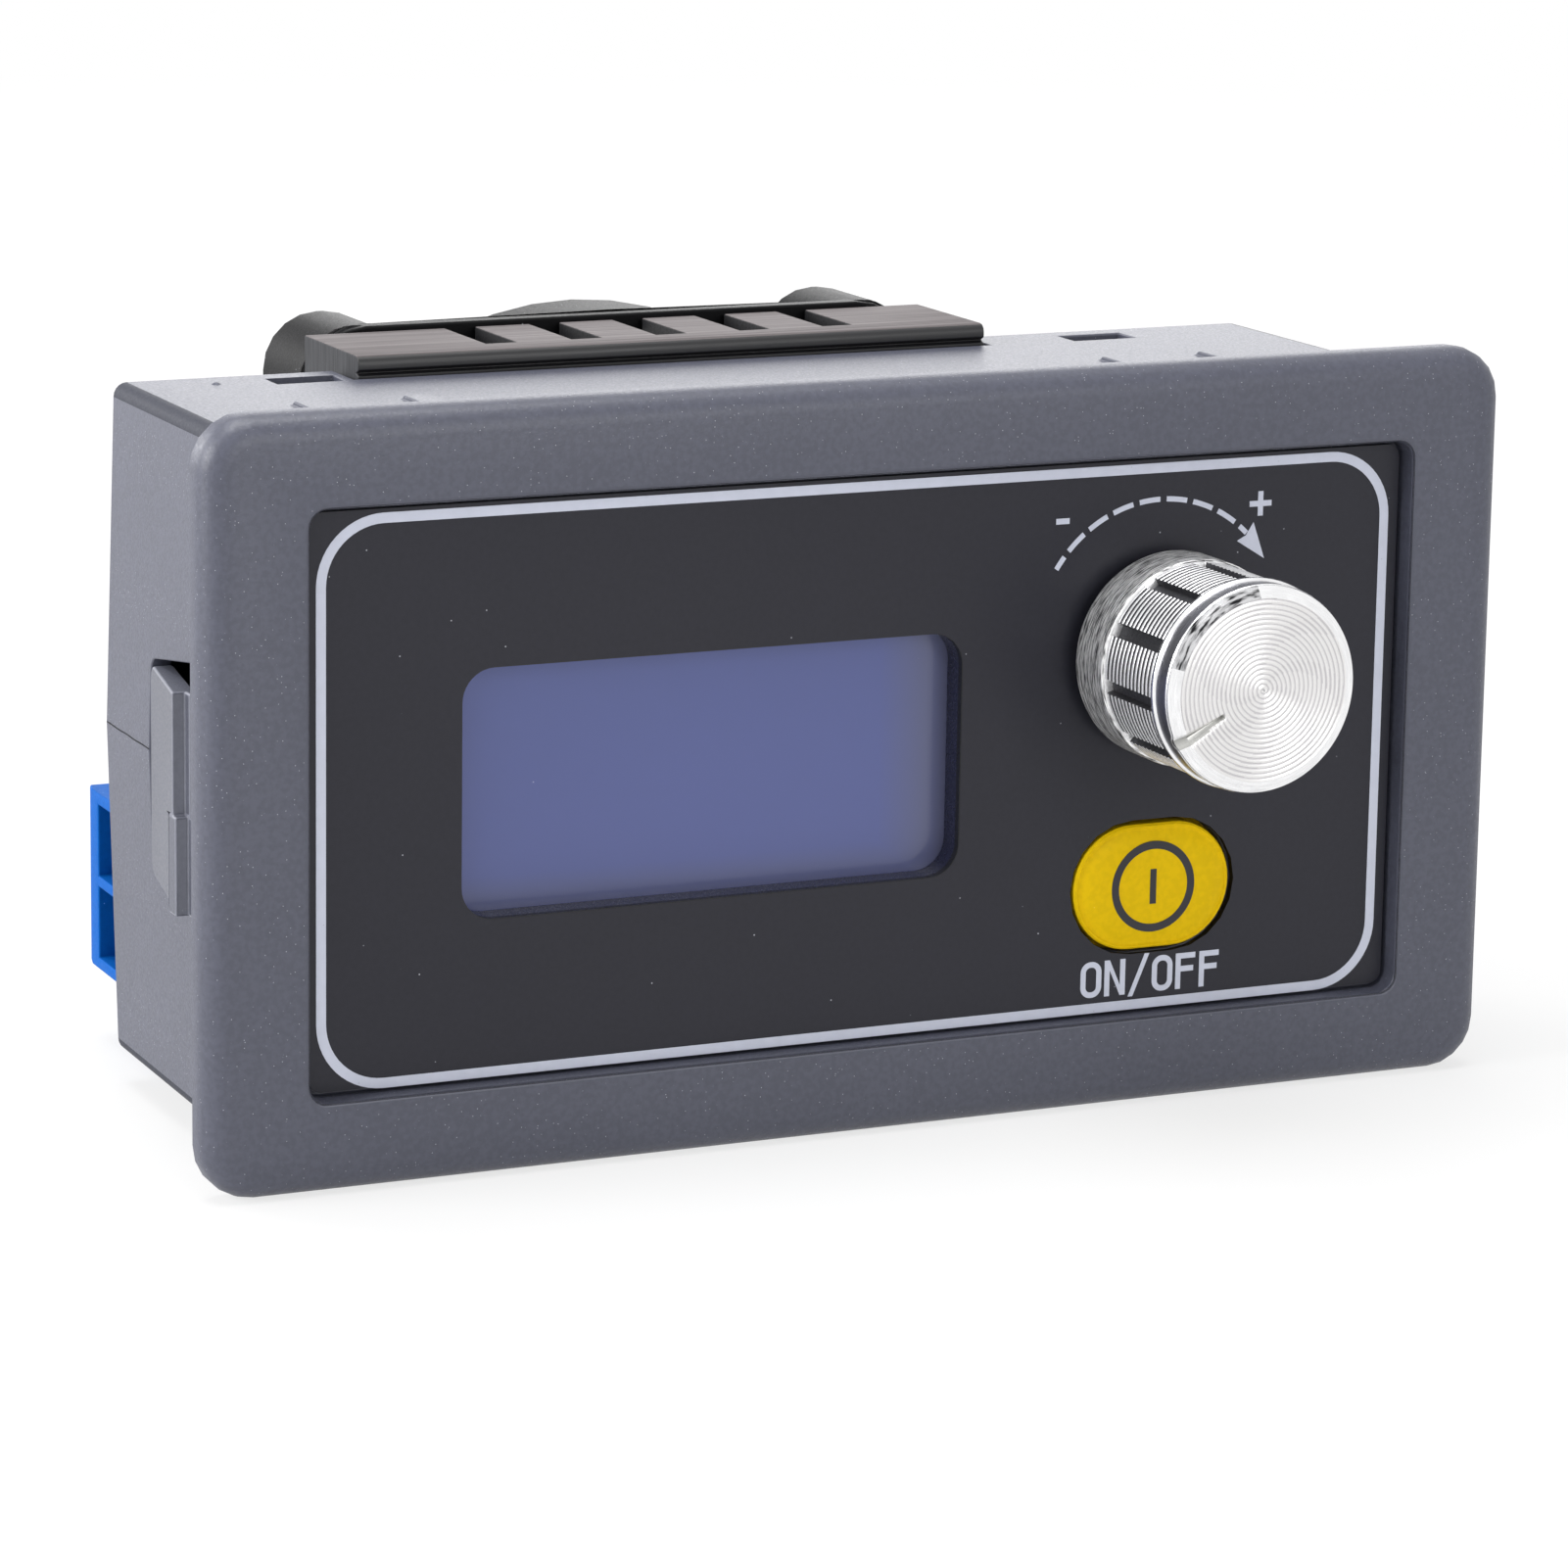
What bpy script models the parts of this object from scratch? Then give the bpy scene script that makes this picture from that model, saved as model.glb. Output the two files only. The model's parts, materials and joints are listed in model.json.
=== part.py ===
"""Panel-mounted DC electronic load: bezel, knob, power key, display, boards, heat sink, fan and terminal.

The model is drawn from the centre of the bezel's front plane: X to the right, Y into the unit, Z up.
An empty carries that frame, so that the finished unit stands on the floor, centred on the origin.
"""

import math

import bmesh
import bpy

MM = 0.001
GAP = 0.3 * MM
MERGE = 0.0001 * MM
ROUND_STEPS = 48
SMALL_STEPS = 20
CORNER_STEPS = 5

# Bezel and the recess for the front film
BEZEL_OVERHANG_X = 2.7 * MM
BEZEL_OVERHANG_Z = 1.85 * MM
BEZEL_DEPTH = 2.4 * MM
BEZEL_CORNER = 3.0 * MM
BEZEL_ROUNDING = 1.5 * MM
RECESS_BORDER = 6.0 * MM
RECESS_HEIGHT = 32.6 * MM
RECESS_CORNER = 1.0 * MM
RECESS_CHAMFER = 0.15 * MM
FILM_SETBACK = 1.15 * MM
FILM_THICKNESS = 0.35 * MM
FRONT_WALL = 0.9 * MM

# Shell behind the bezel
SHELL_DEPTH = 25.5 * MM
SHELL_HEIGHT = 39.3 * MM
SHELL_DRAFT = 0.55 * MM
SHELL_CORNER = 0.8 * MM
SHELL_WALL = 1.2 * MM
RIB_XS = (-28.9 * MM, -22.4 * MM, 21.5 * MM, 27.9 * MM)
RIB_WIDTH = 1.6 * MM
RIB_HEIGHT = 0.3 * MM
RIB_END = 14.2 * MM
SNAP_EDGE = 0.6 * MM
SNAP_INSET = 11.8 * MM
SNAP_WIDTH = 4.1 * MM
SNAP_LENGTH = 2.1 * MM
SNAP_HOOK = 1.3 * MM
SNAP_LEAD = 0.45 * MM
LEDGE_INSET = 6.0 * MM
LEDGE_WIDTH = 1.6 * MM
LEDGE_HEIGHT = 1.7 * MM

# Spring clips that hold the unit in the panel
CLIP_ROOT = 17.3 * MM
CLIP_TIP = 9.3 * MM
CLIP_BOTTOM = -7.0 * MM
CLIP_TOP = 5.0 * MM
CLIP_THICKNESS = 1.2 * MM
CLIP_FLARE = 1.4 * MM
CLIP_STEP = 0.75 * MM
CLIP_TOOTH_RISE = 0.5 * MM
CLIP_TOOTH_SPLIT = -1.9 * MM
CLIP_SLOT_FRONT = 4.2 * MM
CLIP_SLOT_SPREAD = 1.9 * MM
CLIP_SLOT_CORNER = 0.8 * MM

# Display
WINDOW_CENTRE = (-9.5 * MM, -0.15 * MM)
WINDOW_WIDTH = 30.2 * MM
WINDOW_HEIGHT = 14.1 * MM
WINDOW_CORNER = 1.9 * MM
DISPLAY_BORDER_X = 2.9 * MM
DISPLAY_BORDER_Z = 2.95 * MM
GLASS_THICKNESS = 1.2 * MM
DISPLAY_RIM = 1.6 * MM
DISPLAY_RIM_DEPTH = 0.7 * MM

# Power key and its switch
KEY_CENTRE = (18.05 * MM, -8.85 * MM)
KEY_WIDTH = 10.0 * MM
KEY_HEIGHT = 7.3 * MM
KEY_PROUD = 0.3 * MM
KEY_PILLOW = 0.9 * MM
KEY_FLANGE = 1.1 * MM
KEY_FLANGE_THICKNESS = 0.8 * MM
KEY_STEM_WIDTH = 4.4 * MM
KEY_STEM_HEIGHT = 3.4 * MM
KEY_TRAVEL = 0.3 * MM
SWITCH_SIZE = 6.0 * MM
SWITCH_DEPTH = 3.0 * MM
PLUNGER_RADIUS = 1.7 * MM
PLUNGER_PROUD = 0.7 * MM

# Knob and encoder
KNOB_CENTRE = (18.25 * MM, 4.9 * MM)
KNOB_RADIUS = 6.0 * MM
KNOB_LENGTH = 11.0 * MM
KNOB_GAP = 0.7 * MM
KNOB_SKIRT = 3.3 * MM
KNOB_GRIP = 5.5 * MM
KNOB_GRIP_RADIUS = 5.85 * MM
KNOB_RIM_RADIUS = 5.9 * MM
KNOB_CHAMFER = 0.5 * MM
KNOB_SLOTS = 11
KNOB_FIRST_SLOT = 90.0
KNOB_SLOT_WIDTH = 0.75 * MM
KNOB_SLOT_DEPTH = 0.45 * MM
POINTER_ANGLE = 208.0
POINTER_START = 2.75 * MM
POINTER_WIDTH = 0.7 * MM
POINTER_DEPTH = 0.35 * MM
KNOB_COUNTERBORE_DEPTH = 2.9 * MM
KNOB_FACE_WALL = 1.2 * MM
SHAFT_RADIUS = 3.0 * MM
SHAFT_FLAT = 1.5 * MM
BUSHING_RADIUS = 3.55 * MM
BUSHING_PROUD = 2.2 * MM
PUSH_TRAVEL = 0.5 * MM
ENCODER_SIZE = 12.0 * MM
ENCODER_PLATE = 0.5 * MM
ENCODER_LEG_WIDTH = 2.0 * MM
ENCODER_LEG_THICKNESS = 0.4 * MM
ENCODER_FLOOR = 0.8 * MM
ROTOR_RADIUS = 4.9 * MM
ROTOR_THICKNESS = 1.8 * MM

# Boards
BOARD_THICKNESS = 1.6 * MM
CONTROL_BOARD_DEPTH = 8.6 * MM
CONTROL_BOARD_MARGIN_X = 1.25 * MM
CONTROL_BOARD_MARGIN_Z = 0.75 * MM
POWER_BOARD_SETBACK = 5.1 * MM
BOARD_CLEARANCE = 0.45 * MM
BOARD_CORNER = 1.2 * MM
POST_INSET = 3.5 * MM
POST_RADIUS = 2.3 * MM
BOARD_SCREW_RADIUS = 1.0 * MM
BOARD_SCREW_HEAD_RADIUS = 1.9 * MM
BOARD_SCREW_HEAD = 1.3 * MM
BOARD_SCREW_LENGTH = 5.0 * MM
HEADER_OFFSET = 4.75 * MM
HEADER_EDGE = 3.4 * MM
HEADER_WIDTH = 20.3 * MM
HEADER_HEIGHT = 5.0 * MM
HEADER_WAIST = 3.2 * MM
CHIP_INSET = 11.5 * MM
CHIP_LIFT = 5.0 * MM
CHIP_SIZE = 9.0 * MM
CHIP_THICKNESS = 1.4 * MM
CHIP_LEG = 1.0 * MM
CHIP_LEG_THICKNESS = 0.3 * MM
MOSFET_OFFSET = 7.2 * MM
MOSFET_LIFT = 11.5 * MM
MOSFET_WIDTH = 10.0 * MM
MOSFET_HEIGHT = 8.6 * MM
MOSFET_THICKNESS = 4.0 * MM
MOSFET_TAB = 1.6 * MM
MOSFET_TAB_THICKNESS = 1.2 * MM
MOSFET_LEAD_WIDTH = 1.2 * MM
MOSFET_LEAD_LENGTH = 3.6 * MM
SHUNT_OFFSET = 14.75 * MM
SHUNT_DROP = 0.9 * MM
SHUNT_LENGTH = 11.0 * MM
SHUNT_WIDTH = 3.0 * MM
SHUNT_RISE = 3.0 * MM
SHUNT_THICKNESS = 0.6 * MM

# Heat sink, as wide as the fan behind it
COOLER_SIZE = 40.0 * MM
HEAT_SINK_DEPTH = 9.1 * MM
HEAT_SINK_DROP = 0.3 * MM
HEAT_SINK_LIFT = 0.95 * MM
HEAT_SINK_BASE = 2.4 * MM
HEAT_SINK_TOP_FIN = 5.9 * MM
HEAT_SINK_BOTTOM_FIN = 5.0 * MM
HEAT_SINK_FINS = 5
HEAT_SINK_FIN = 2.2 * MM
HEAT_SINK_LIP = 0.5 * MM
HEAT_SINK_GROOVE = 0.35 * MM
HEAT_SINK_GROOVE_DROP = 1.0 * MM
HEAT_SINK_SLOTS = 5
HEAT_SINK_SLOT = 1.9 * MM
HEAT_SINK_SLOT_PITCH = 5.4 * MM
HEAT_SINK_SLOT_OFFSET = 0.6 * MM
HEAT_SINK_SCREW_EDGE = 4.4 * MM
HEAT_SINK_SCREW_RISE = 6.1 * MM
HEAT_SINK_SCREW_LENGTH = 1.6 * MM
M3_RADIUS = 1.5 * MM
M3_HEAD_RADIUS = 2.75 * MM
M3_HEAD = 1.6 * MM

# Fan
FAN_DEPTH = 7.2 * MM
FAN_LIFT = 0.85 * MM
FAN_FLANGE = 1.2 * MM
FAN_CORNER = 4.0 * MM
FAN_DUCT_WALL = 1.0 * MM
FAN_EAR = 7.2 * MM
FAN_EAR_CORNER = 3.4 * MM
FAN_SCREW_EDGE = 4.0 * MM
FAN_SCREW_BITE = 5.0 * MM
FAN_BASE_RADIUS = 10.2 * MM
FAN_BASE = 1.6 * MM
FAN_STRUTS = 4
FAN_STRUT_WIDTH = 2.2 * MM
FAN_TUBE_RADIUS = 2.7 * MM
FAN_SHAFT_RADIUS = 1.0 * MM
HUB_RADIUS = 11.0 * MM
HUB_WALL = 1.0 * MM
HUB_SETBACK = 0.6 * MM
BLADES = 7
BLADE_TIP_GAP = 0.6 * MM
BLADE_THICKNESS = 0.9 * MM
BLADE_SWEEP = 38.0
BLADE_LEAN = 14.0
BLADE_END_GAP = 0.7 * MM
STATOR_POLES = 4
STATOR_RADIUS = 8.4 * MM
STATOR_CORE_RADIUS = 4.6 * MM
STATOR_POLE_WIDTH = 4.0 * MM
STATOR_LENGTH = 3.2 * MM

# Screw terminal
TERMINAL_WAYS = 2
TERMINAL_LENGTH = 9.8 * MM
TERMINAL_CLEARANCE = 2.4 * MM
TERMINAL_LIFT = 1.5 * MM
TERMINAL_PITCH = 5.0 * MM
TERMINAL_HEIGHT = 13.7 * MM
TERMINAL_SIDE = 0.7 * MM
TERMINAL_DIVIDER = 0.65 * MM
TERMINAL_SHOULDER = 1.0 * MM
TERMINAL_SHOULDER_INSET = 0.25 * MM
TERMINAL_FLOOR = 3.0 * MM
TERMINAL_ENTRY_HEIGHT = 8.4 * MM
TERMINAL_BACK_WALL = 1.2 * MM
TERMINAL_SCREW_SHOULDER = 0.5 * MM
TERMINAL_SCREW_HEAD_RADIUS = 1.9 * MM
TERMINAL_SCREW_HEAD = 1.3 * MM
TERMINAL_SCREW_RADIUS = 1.2 * MM
TERMINAL_SCREW_SLOT = 0.5 * MM
TERMINAL_SCREW_X = 4.2 * MM
CAGE_WIDTH = 3.7 * MM
CAGE_DEPTH = 4.6 * MM
CAGE_WALL = 0.6 * MM
CAGE_HEIGHT = 5.0 * MM
CAGE_TRAVEL = 2.0 * MM
PIN_WIDTH = 1.8 * MM
PIN_THICKNESS = 0.6 * MM
PIN_STICKOUT = 0.9 * MM

# Sockets and small parts on the power board
SOCKET_MARGIN = 4.5 * MM
SOCKET_EDGE = 0.9 * MM
JACK_WIDTH = 9.0 * MM
JACK_HEIGHT = 10.8 * MM
JACK_LENGTH = 11.2 * MM
JACK_BORE_RADIUS = 3.1 * MM
JACK_BORE_DEPTH = 9.2 * MM
JACK_PIN_RADIUS = 1.0 * MM
JACK_PIN_SETBACK = 1.0 * MM
USB_WIDTH = 8.0 * MM
USB_HEIGHT = 3.1 * MM
USB_LENGTH = 6.4 * MM
USB_WALL = 0.4 * MM
USB_TONGUE = 0.6 * MM
SERIAL_PINS = 4
FAN_HEADER_PINS = 2
SOCKET_PITCH = 2.0 * MM
SOCKET_END = 2.0 * MM
SOCKET_WIDTH = 4.9 * MM
SOCKET_LENGTH = 6.0 * MM
SOCKET_WALL = 0.7 * MM
SOCKET_FLOOR = 1.4 * MM
SOCKET_PIN = 0.5 * MM
SMALL_PART_OFFSET = 5.75 * MM
SMALL_PART_GAP = 1.0 * MM
CAPACITOR_RADIUS = 3.15 * MM
CAPACITOR_LENGTH = 5.8 * MM
CAPACITOR_BASE = 6.6 * MM
CAPACITOR_BASE_THICKNESS = 1.0 * MM

# Widths and heights worked out from the sizes above
SHELL_SKIN = SHELL_WALL + SHELL_DRAFT
TERMINAL_BAY = SHELL_SKIN + GAP + TERMINAL_LENGTH + TERMINAL_CLEARANCE
SOCKET_BAY = SHELL_SKIN + 2 * SOCKET_MARGIN + JACK_WIDTH
SHELL_HALF_WIDTH = (TERMINAL_BAY + COOLER_SIZE + SOCKET_BAY) / 2
SHELL_HALF_HEIGHT = SHELL_HEIGHT / 2
INNER_HALF_WIDTH = SHELL_HALF_WIDTH - SHELL_SKIN
INNER_HALF_HEIGHT = SHELL_HALF_HEIGHT - SHELL_WALL
BEZEL_WIDTH = 2 * (SHELL_HALF_WIDTH + BEZEL_OVERHANG_X)
BEZEL_HEIGHT = 2 * (SHELL_HALF_HEIGHT + BEZEL_OVERHANG_Z)
RECESS_WIDTH = BEZEL_WIDTH - 2 * RECESS_BORDER
CONTROL_BOARD_WIDTH = 2 * (INNER_HALF_WIDTH - CONTROL_BOARD_MARGIN_X)
CONTROL_BOARD_HEIGHT = 2 * (INNER_HALF_HEIGHT - LEDGE_HEIGHT - CONTROL_BOARD_MARGIN_Z)
POWER_BOARD_WIDTH = 2 * (INNER_HALF_WIDTH - BOARD_CLEARANCE)
POWER_BOARD_HEIGHT = 2 * (INNER_HALF_HEIGHT - BOARD_CLEARANCE)
CHIP_CENTRE = (CHIP_INSET - CONTROL_BOARD_WIDTH / 2, CHIP_LIFT)
DISPLAY_WIDTH = WINDOW_WIDTH + 2 * DISPLAY_BORDER_X
DISPLAY_HEIGHT = WINDOW_HEIGHT + 2 * DISPLAY_BORDER_Z
POST_XS = (POST_INSET - CONTROL_BOARD_WIDTH / 2, CONTROL_BOARD_WIDTH / 2 - POST_INSET)
POST_ZS = (POST_INSET - CONTROL_BOARD_HEIGHT / 2, CONTROL_BOARD_HEIGHT / 2 - POST_INSET)
LEDGE_XS = (LEDGE_INSET - SHELL_HALF_WIDTH, SHELL_HALF_WIDTH - LEDGE_INSET)
COOLER_LEFT = TERMINAL_BAY - SHELL_HALF_WIDTH
COOLER_X = COOLER_LEFT + COOLER_SIZE / 2
SNAP_XS = (COOLER_LEFT - GAP - SNAP_EDGE - SNAP_WIDTH / 2, SHELL_HALF_WIDTH - SNAP_INSET)
FAN_Z = COOLER_SIZE / 2 + FAN_LIFT - SHELL_HALF_HEIGHT
FAN_SCREW_OFFSET = COOLER_SIZE / 2 - FAN_SCREW_EDGE
HEAT_SINK_TOP = FAN_Z + COOLER_SIZE / 2 - HEAT_SINK_DROP
HEAT_SINK_BOTTOM = HEAT_SINK_LIFT - INNER_HALF_HEIGHT
HEADER_CENTRE = (COOLER_X + HEADER_OFFSET, HEADER_EDGE - CONTROL_BOARD_HEIGHT / 2)
HEAT_SINK_SCREW_OFFSET = COOLER_SIZE / 2 - HEAT_SINK_SCREW_EDGE
HEAT_SINK_SCREW_Z = HEADER_CENTRE[1] + HEAT_SINK_SCREW_RISE
MOSFET_XS = (COOLER_X - MOSFET_OFFSET, COOLER_X + MOSFET_OFFSET)
MOSFET_Z = HEAT_SINK_SCREW_Z + MOSFET_LIFT
SHUNT_CENTRE = (COOLER_X - SHUNT_OFFSET, HEADER_CENTRE[1] - SHUNT_DROP)
TERMINAL_X = GAP - INNER_HALF_WIDTH
TERMINAL_TALL = TERMINAL_WAYS * TERMINAL_PITCH - TERMINAL_DIVIDER + 2 * TERMINAL_SIDE
TERMINAL_TOP = TERMINAL_LIFT - INNER_HALF_HEIGHT + TERMINAL_TALL
SMALL_PART_X = TERMINAL_X + SMALL_PART_OFFSET
CAPACITOR_CENTRE = (SMALL_PART_X, TERMINAL_TOP + SMALL_PART_GAP + CAPACITOR_BASE / 2)
SERIAL_TALL = (SERIAL_PINS - 1) * SOCKET_PITCH + 2 * SOCKET_END
FAN_HEADER_TALL = (FAN_HEADER_PINS - 1) * SOCKET_PITCH + 2 * SOCKET_END
FAN_HEADER_BASE = CAPACITOR_CENTRE[1] + CAPACITOR_BASE / 2 + SMALL_PART_GAP
FAN_HEADER_CENTRE = (SMALL_PART_X, FAN_HEADER_BASE + FAN_HEADER_TALL / 2)
SOCKET_X = COOLER_LEFT + COOLER_SIZE + SOCKET_MARGIN + JACK_WIDTH / 2
SOCKET_REACH = INNER_HALF_HEIGHT - SNAP_HOOK - SOCKET_EDGE
JACK_CENTRE = (SOCKET_X, SOCKET_REACH - JACK_HEIGHT / 2)
SERIAL_CENTRE = (SOCKET_X, SERIAL_TALL / 2 - SOCKET_REACH)
USB_CENTRE = (SOCKET_X, (SERIAL_TALL - JACK_HEIGHT) / 2)

# Depths behind the front plane worked out from the sizes above
RECESS_FLOOR = FILM_SETBACK + FILM_THICKNESS + GAP
CAVITY_FRONT = RECESS_FLOOR + FRONT_WALL
GLASS_FRONT = CAVITY_FRONT + GAP
CONTROL_BOARD_REAR = CONTROL_BOARD_DEPTH + BOARD_THICKNESS
POWER_BOARD_DEPTH = SHELL_DEPTH - POWER_BOARD_SETBACK
POWER_BOARD_REAR = POWER_BOARD_DEPTH + BOARD_THICKNESS
HEAT_SINK_FRONT = POWER_BOARD_REAR + GAP
HEAT_SINK_REAR = HEAT_SINK_FRONT + HEAT_SINK_DEPTH
FAN_FRONT = HEAT_SINK_REAR + GAP
FAN_REAR = FAN_FRONT + FAN_DEPTH
KNOB_REAR = FILM_SETBACK - KNOB_GAP
KNOB_FRONT = KNOB_REAR - KNOB_LENGTH
ENCODER_FRONT = CAVITY_FRONT + GAP
ENCODER_BODY_FRONT = ENCODER_FRONT + ENCODER_PLATE + GAP
SEAT_ON_CONTROL = CONTROL_BOARD_DEPTH - GAP
SEAT_ON_POWER = POWER_BOARD_REAR + GAP
SCREW_CLEARANCE = M3_RADIUS + GAP
REAR_END = FAN_REAR + GAP + M3_HEAD


def rounded_rectangle(width, height, radius, centre=(0.0, 0.0), steps=CORNER_STEPS):
    """Outline of a rectangle with round corners, anticlockwise from the right-hand side."""
    points = []
    for quadrant in range(4):
        side_u = 1 if quadrant in (0, 3) else -1
        side_v = 1 if quadrant in (0, 1) else -1
        corner = (centre[0] + side_u * (width / 2 - radius), centre[1] + side_v * (height / 2 - radius))
        points += arc(corner, radius, quadrant * 90.0, quadrant * 90.0 + 90.0, steps)
    return points


def stadium(width, height, centre=(0.0, 0.0), steps=10):
    """Outline with straight long sides and half-round ends."""
    reach = (width - height) / 2
    right = arc((centre[0] + reach, centre[1]), height / 2, -90.0, 90.0, steps)
    left = arc((centre[0] - reach, centre[1]), height / 2, 90.0, 270.0, steps)
    return right + left


def arc(centre, radius, start, stop, steps):
    """Points on an arc, both ends included, with angles in degrees."""
    points = []
    for step in range(steps + 1):
        angle = math.radians(start + (stop - start) * step / steps)
        points.append((centre[0] + radius * math.cos(angle), centre[1] + radius * math.sin(angle)))
    return points


def circle(radius, centre=(0.0, 0.0), steps=SMALL_STEPS):
    """Outline of a full circle."""
    return arc(centre, radius, 0.0, 360.0, steps)[:-1]


def d_outline(radius, flat, centre):
    """Outline of a round shaft or bore with one flat on its upper side."""
    opening = math.degrees(math.acos(flat / radius))
    return arc(centre, radius, 90.0 + opening, 450.0 - opening, SMALL_STEPS)


def rectangle(low, high):
    """Outline of a plain rectangle between two corners."""
    return [low, (high[0], low[1]), high, (low[0], high[1])]


def place(outline, level, axis):
    """Stand an outline up in space, square to an axis and at a level along it."""
    if axis == "X":
        return [(level, u, v) for u, v in outline]
    if axis == "Y":
        return [(u, level, v) for u, v in outline]
    return [(u, v, level) for u, v in outline]


def skin(mesh, rings):
    """Join equal rings of points into one closed body with flat ends."""
    loops = [[mesh.verts.new(point) for point in ring] for ring in rings]
    for near, far in zip(loops, loops[1:]):
        for index, corner in enumerate(near):
            follower = (index + 1) % len(near)
            mesh.faces.new((corner, near[follower], far[follower], far[index]))
    mesh.faces.new(loops[0])
    mesh.faces.new(loops[-1])


def loft(mesh, sections, axis="Y"):
    """Join outlines at their levels into one closed body."""
    skin(mesh, [place(outline, level, axis) for outline, level in sections])


def prism(mesh, outline, near, far, axis="Y"):
    """Carry an outline straight from one level to another."""
    loft(mesh, [(outline, near), (outline, far)], axis)


def box(mesh, low, high):
    """A block between two corners."""
    prism(mesh, rectangle((low[0], low[2]), (high[0], high[2])), low[1], high[1])


def turned(mesh, profile, centre=(0.0, 0.0), steps=ROUND_STEPS, closed=False):
    """Spin a profile of (radius, depth) points about a line along Y."""
    verts = [mesh.verts.new((centre[0] + radius, depth, centre[1])) for radius, depth in profile]
    edges = [mesh.edges.new(pair) for pair in zip(verts, verts[1:])]
    if closed:
        edges.append(mesh.edges.new((verts[-1], verts[0])))
    bmesh.ops.spin(
        mesh,
        geom=verts + edges,
        cent=(centre[0], 0.0, centre[1]),
        axis=(0.0, 1.0, 0.0),
        angle=math.tau,
        steps=steps,
        use_merge=True,
    )
    bmesh.ops.remove_doubles(mesh, verts=mesh.verts, dist=MERGE)


def material(name, colour, roughness, metallic=0.0):
    """A plain surface with the piece's colour, in linear values."""
    made = bpy.data.materials.new(name)
    made.use_nodes = True
    shader = made.node_tree.nodes["Principled BSDF"]
    shader.inputs["Base Color"].default_value = (*colour, 1.0)
    shader.inputs["Roughness"].default_value = roughness
    shader.inputs["Metallic"].default_value = metallic
    return made


def finish(name, mesh, surface, parent, pivot=(0.0, 0.0, 0.0), sharp=32.0):
    """Turn a bmesh into a named object under a parent, with its origin at a pivot."""
    bmesh.ops.recalc_face_normals(mesh, faces=mesh.faces)
    bmesh.ops.translate(mesh, verts=mesh.verts, vec=[-value for value in pivot])
    data = bpy.data.meshes.new(name)
    mesh.to_mesh(data)
    mesh.free()
    data.shade_smooth()
    data.set_sharp_from_angle(angle=math.radians(sharp))
    made = bpy.data.objects.new(name, data)
    if surface is not None:
        data.materials.append(surface)
    bpy.context.scene.collection.objects.link(made)
    made.parent = parent
    made.location = pivot
    return made


def combine(target, operation, mesh):
    """Add, cut or keep a shape with a Boolean whose tool stays hidden."""
    name = f"{target.name}_{operation.lower()}_{len(target.modifiers)}"
    tool = finish(name, mesh, None, target.parent)
    tool.hide_render = True
    tool.display_type = "WIRE"
    modifier = target.modifiers.new(name, "BOOLEAN")
    modifier.operation = operation
    modifier.solver = "EXACT"
    modifier.object = tool


def shell_outline(inset):
    """Cross-section of the shell: sides that taper away from a parting line at mid height."""
    half_width = SHELL_HALF_WIDTH - inset
    half_height = SHELL_HALF_HEIGHT - inset
    radius = max(SHELL_CORNER - inset, 0.3 * MM)
    narrow = half_width - SHELL_DRAFT
    points = [(half_width, 0.0)]
    points += arc((narrow - radius, half_height - radius), radius, 0.0, 90.0, CORNER_STEPS)
    points += arc((radius - narrow, half_height - radius), radius, 90.0, 180.0, CORNER_STEPS)
    points.append((-half_width, 0.0))
    points += arc((radius - narrow, radius - half_height), radius, 180.0, 270.0, CORNER_STEPS)
    points += arc((narrow - radius, radius - half_height), radius, 270.0, 360.0, CORNER_STEPS)
    return points


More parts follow.
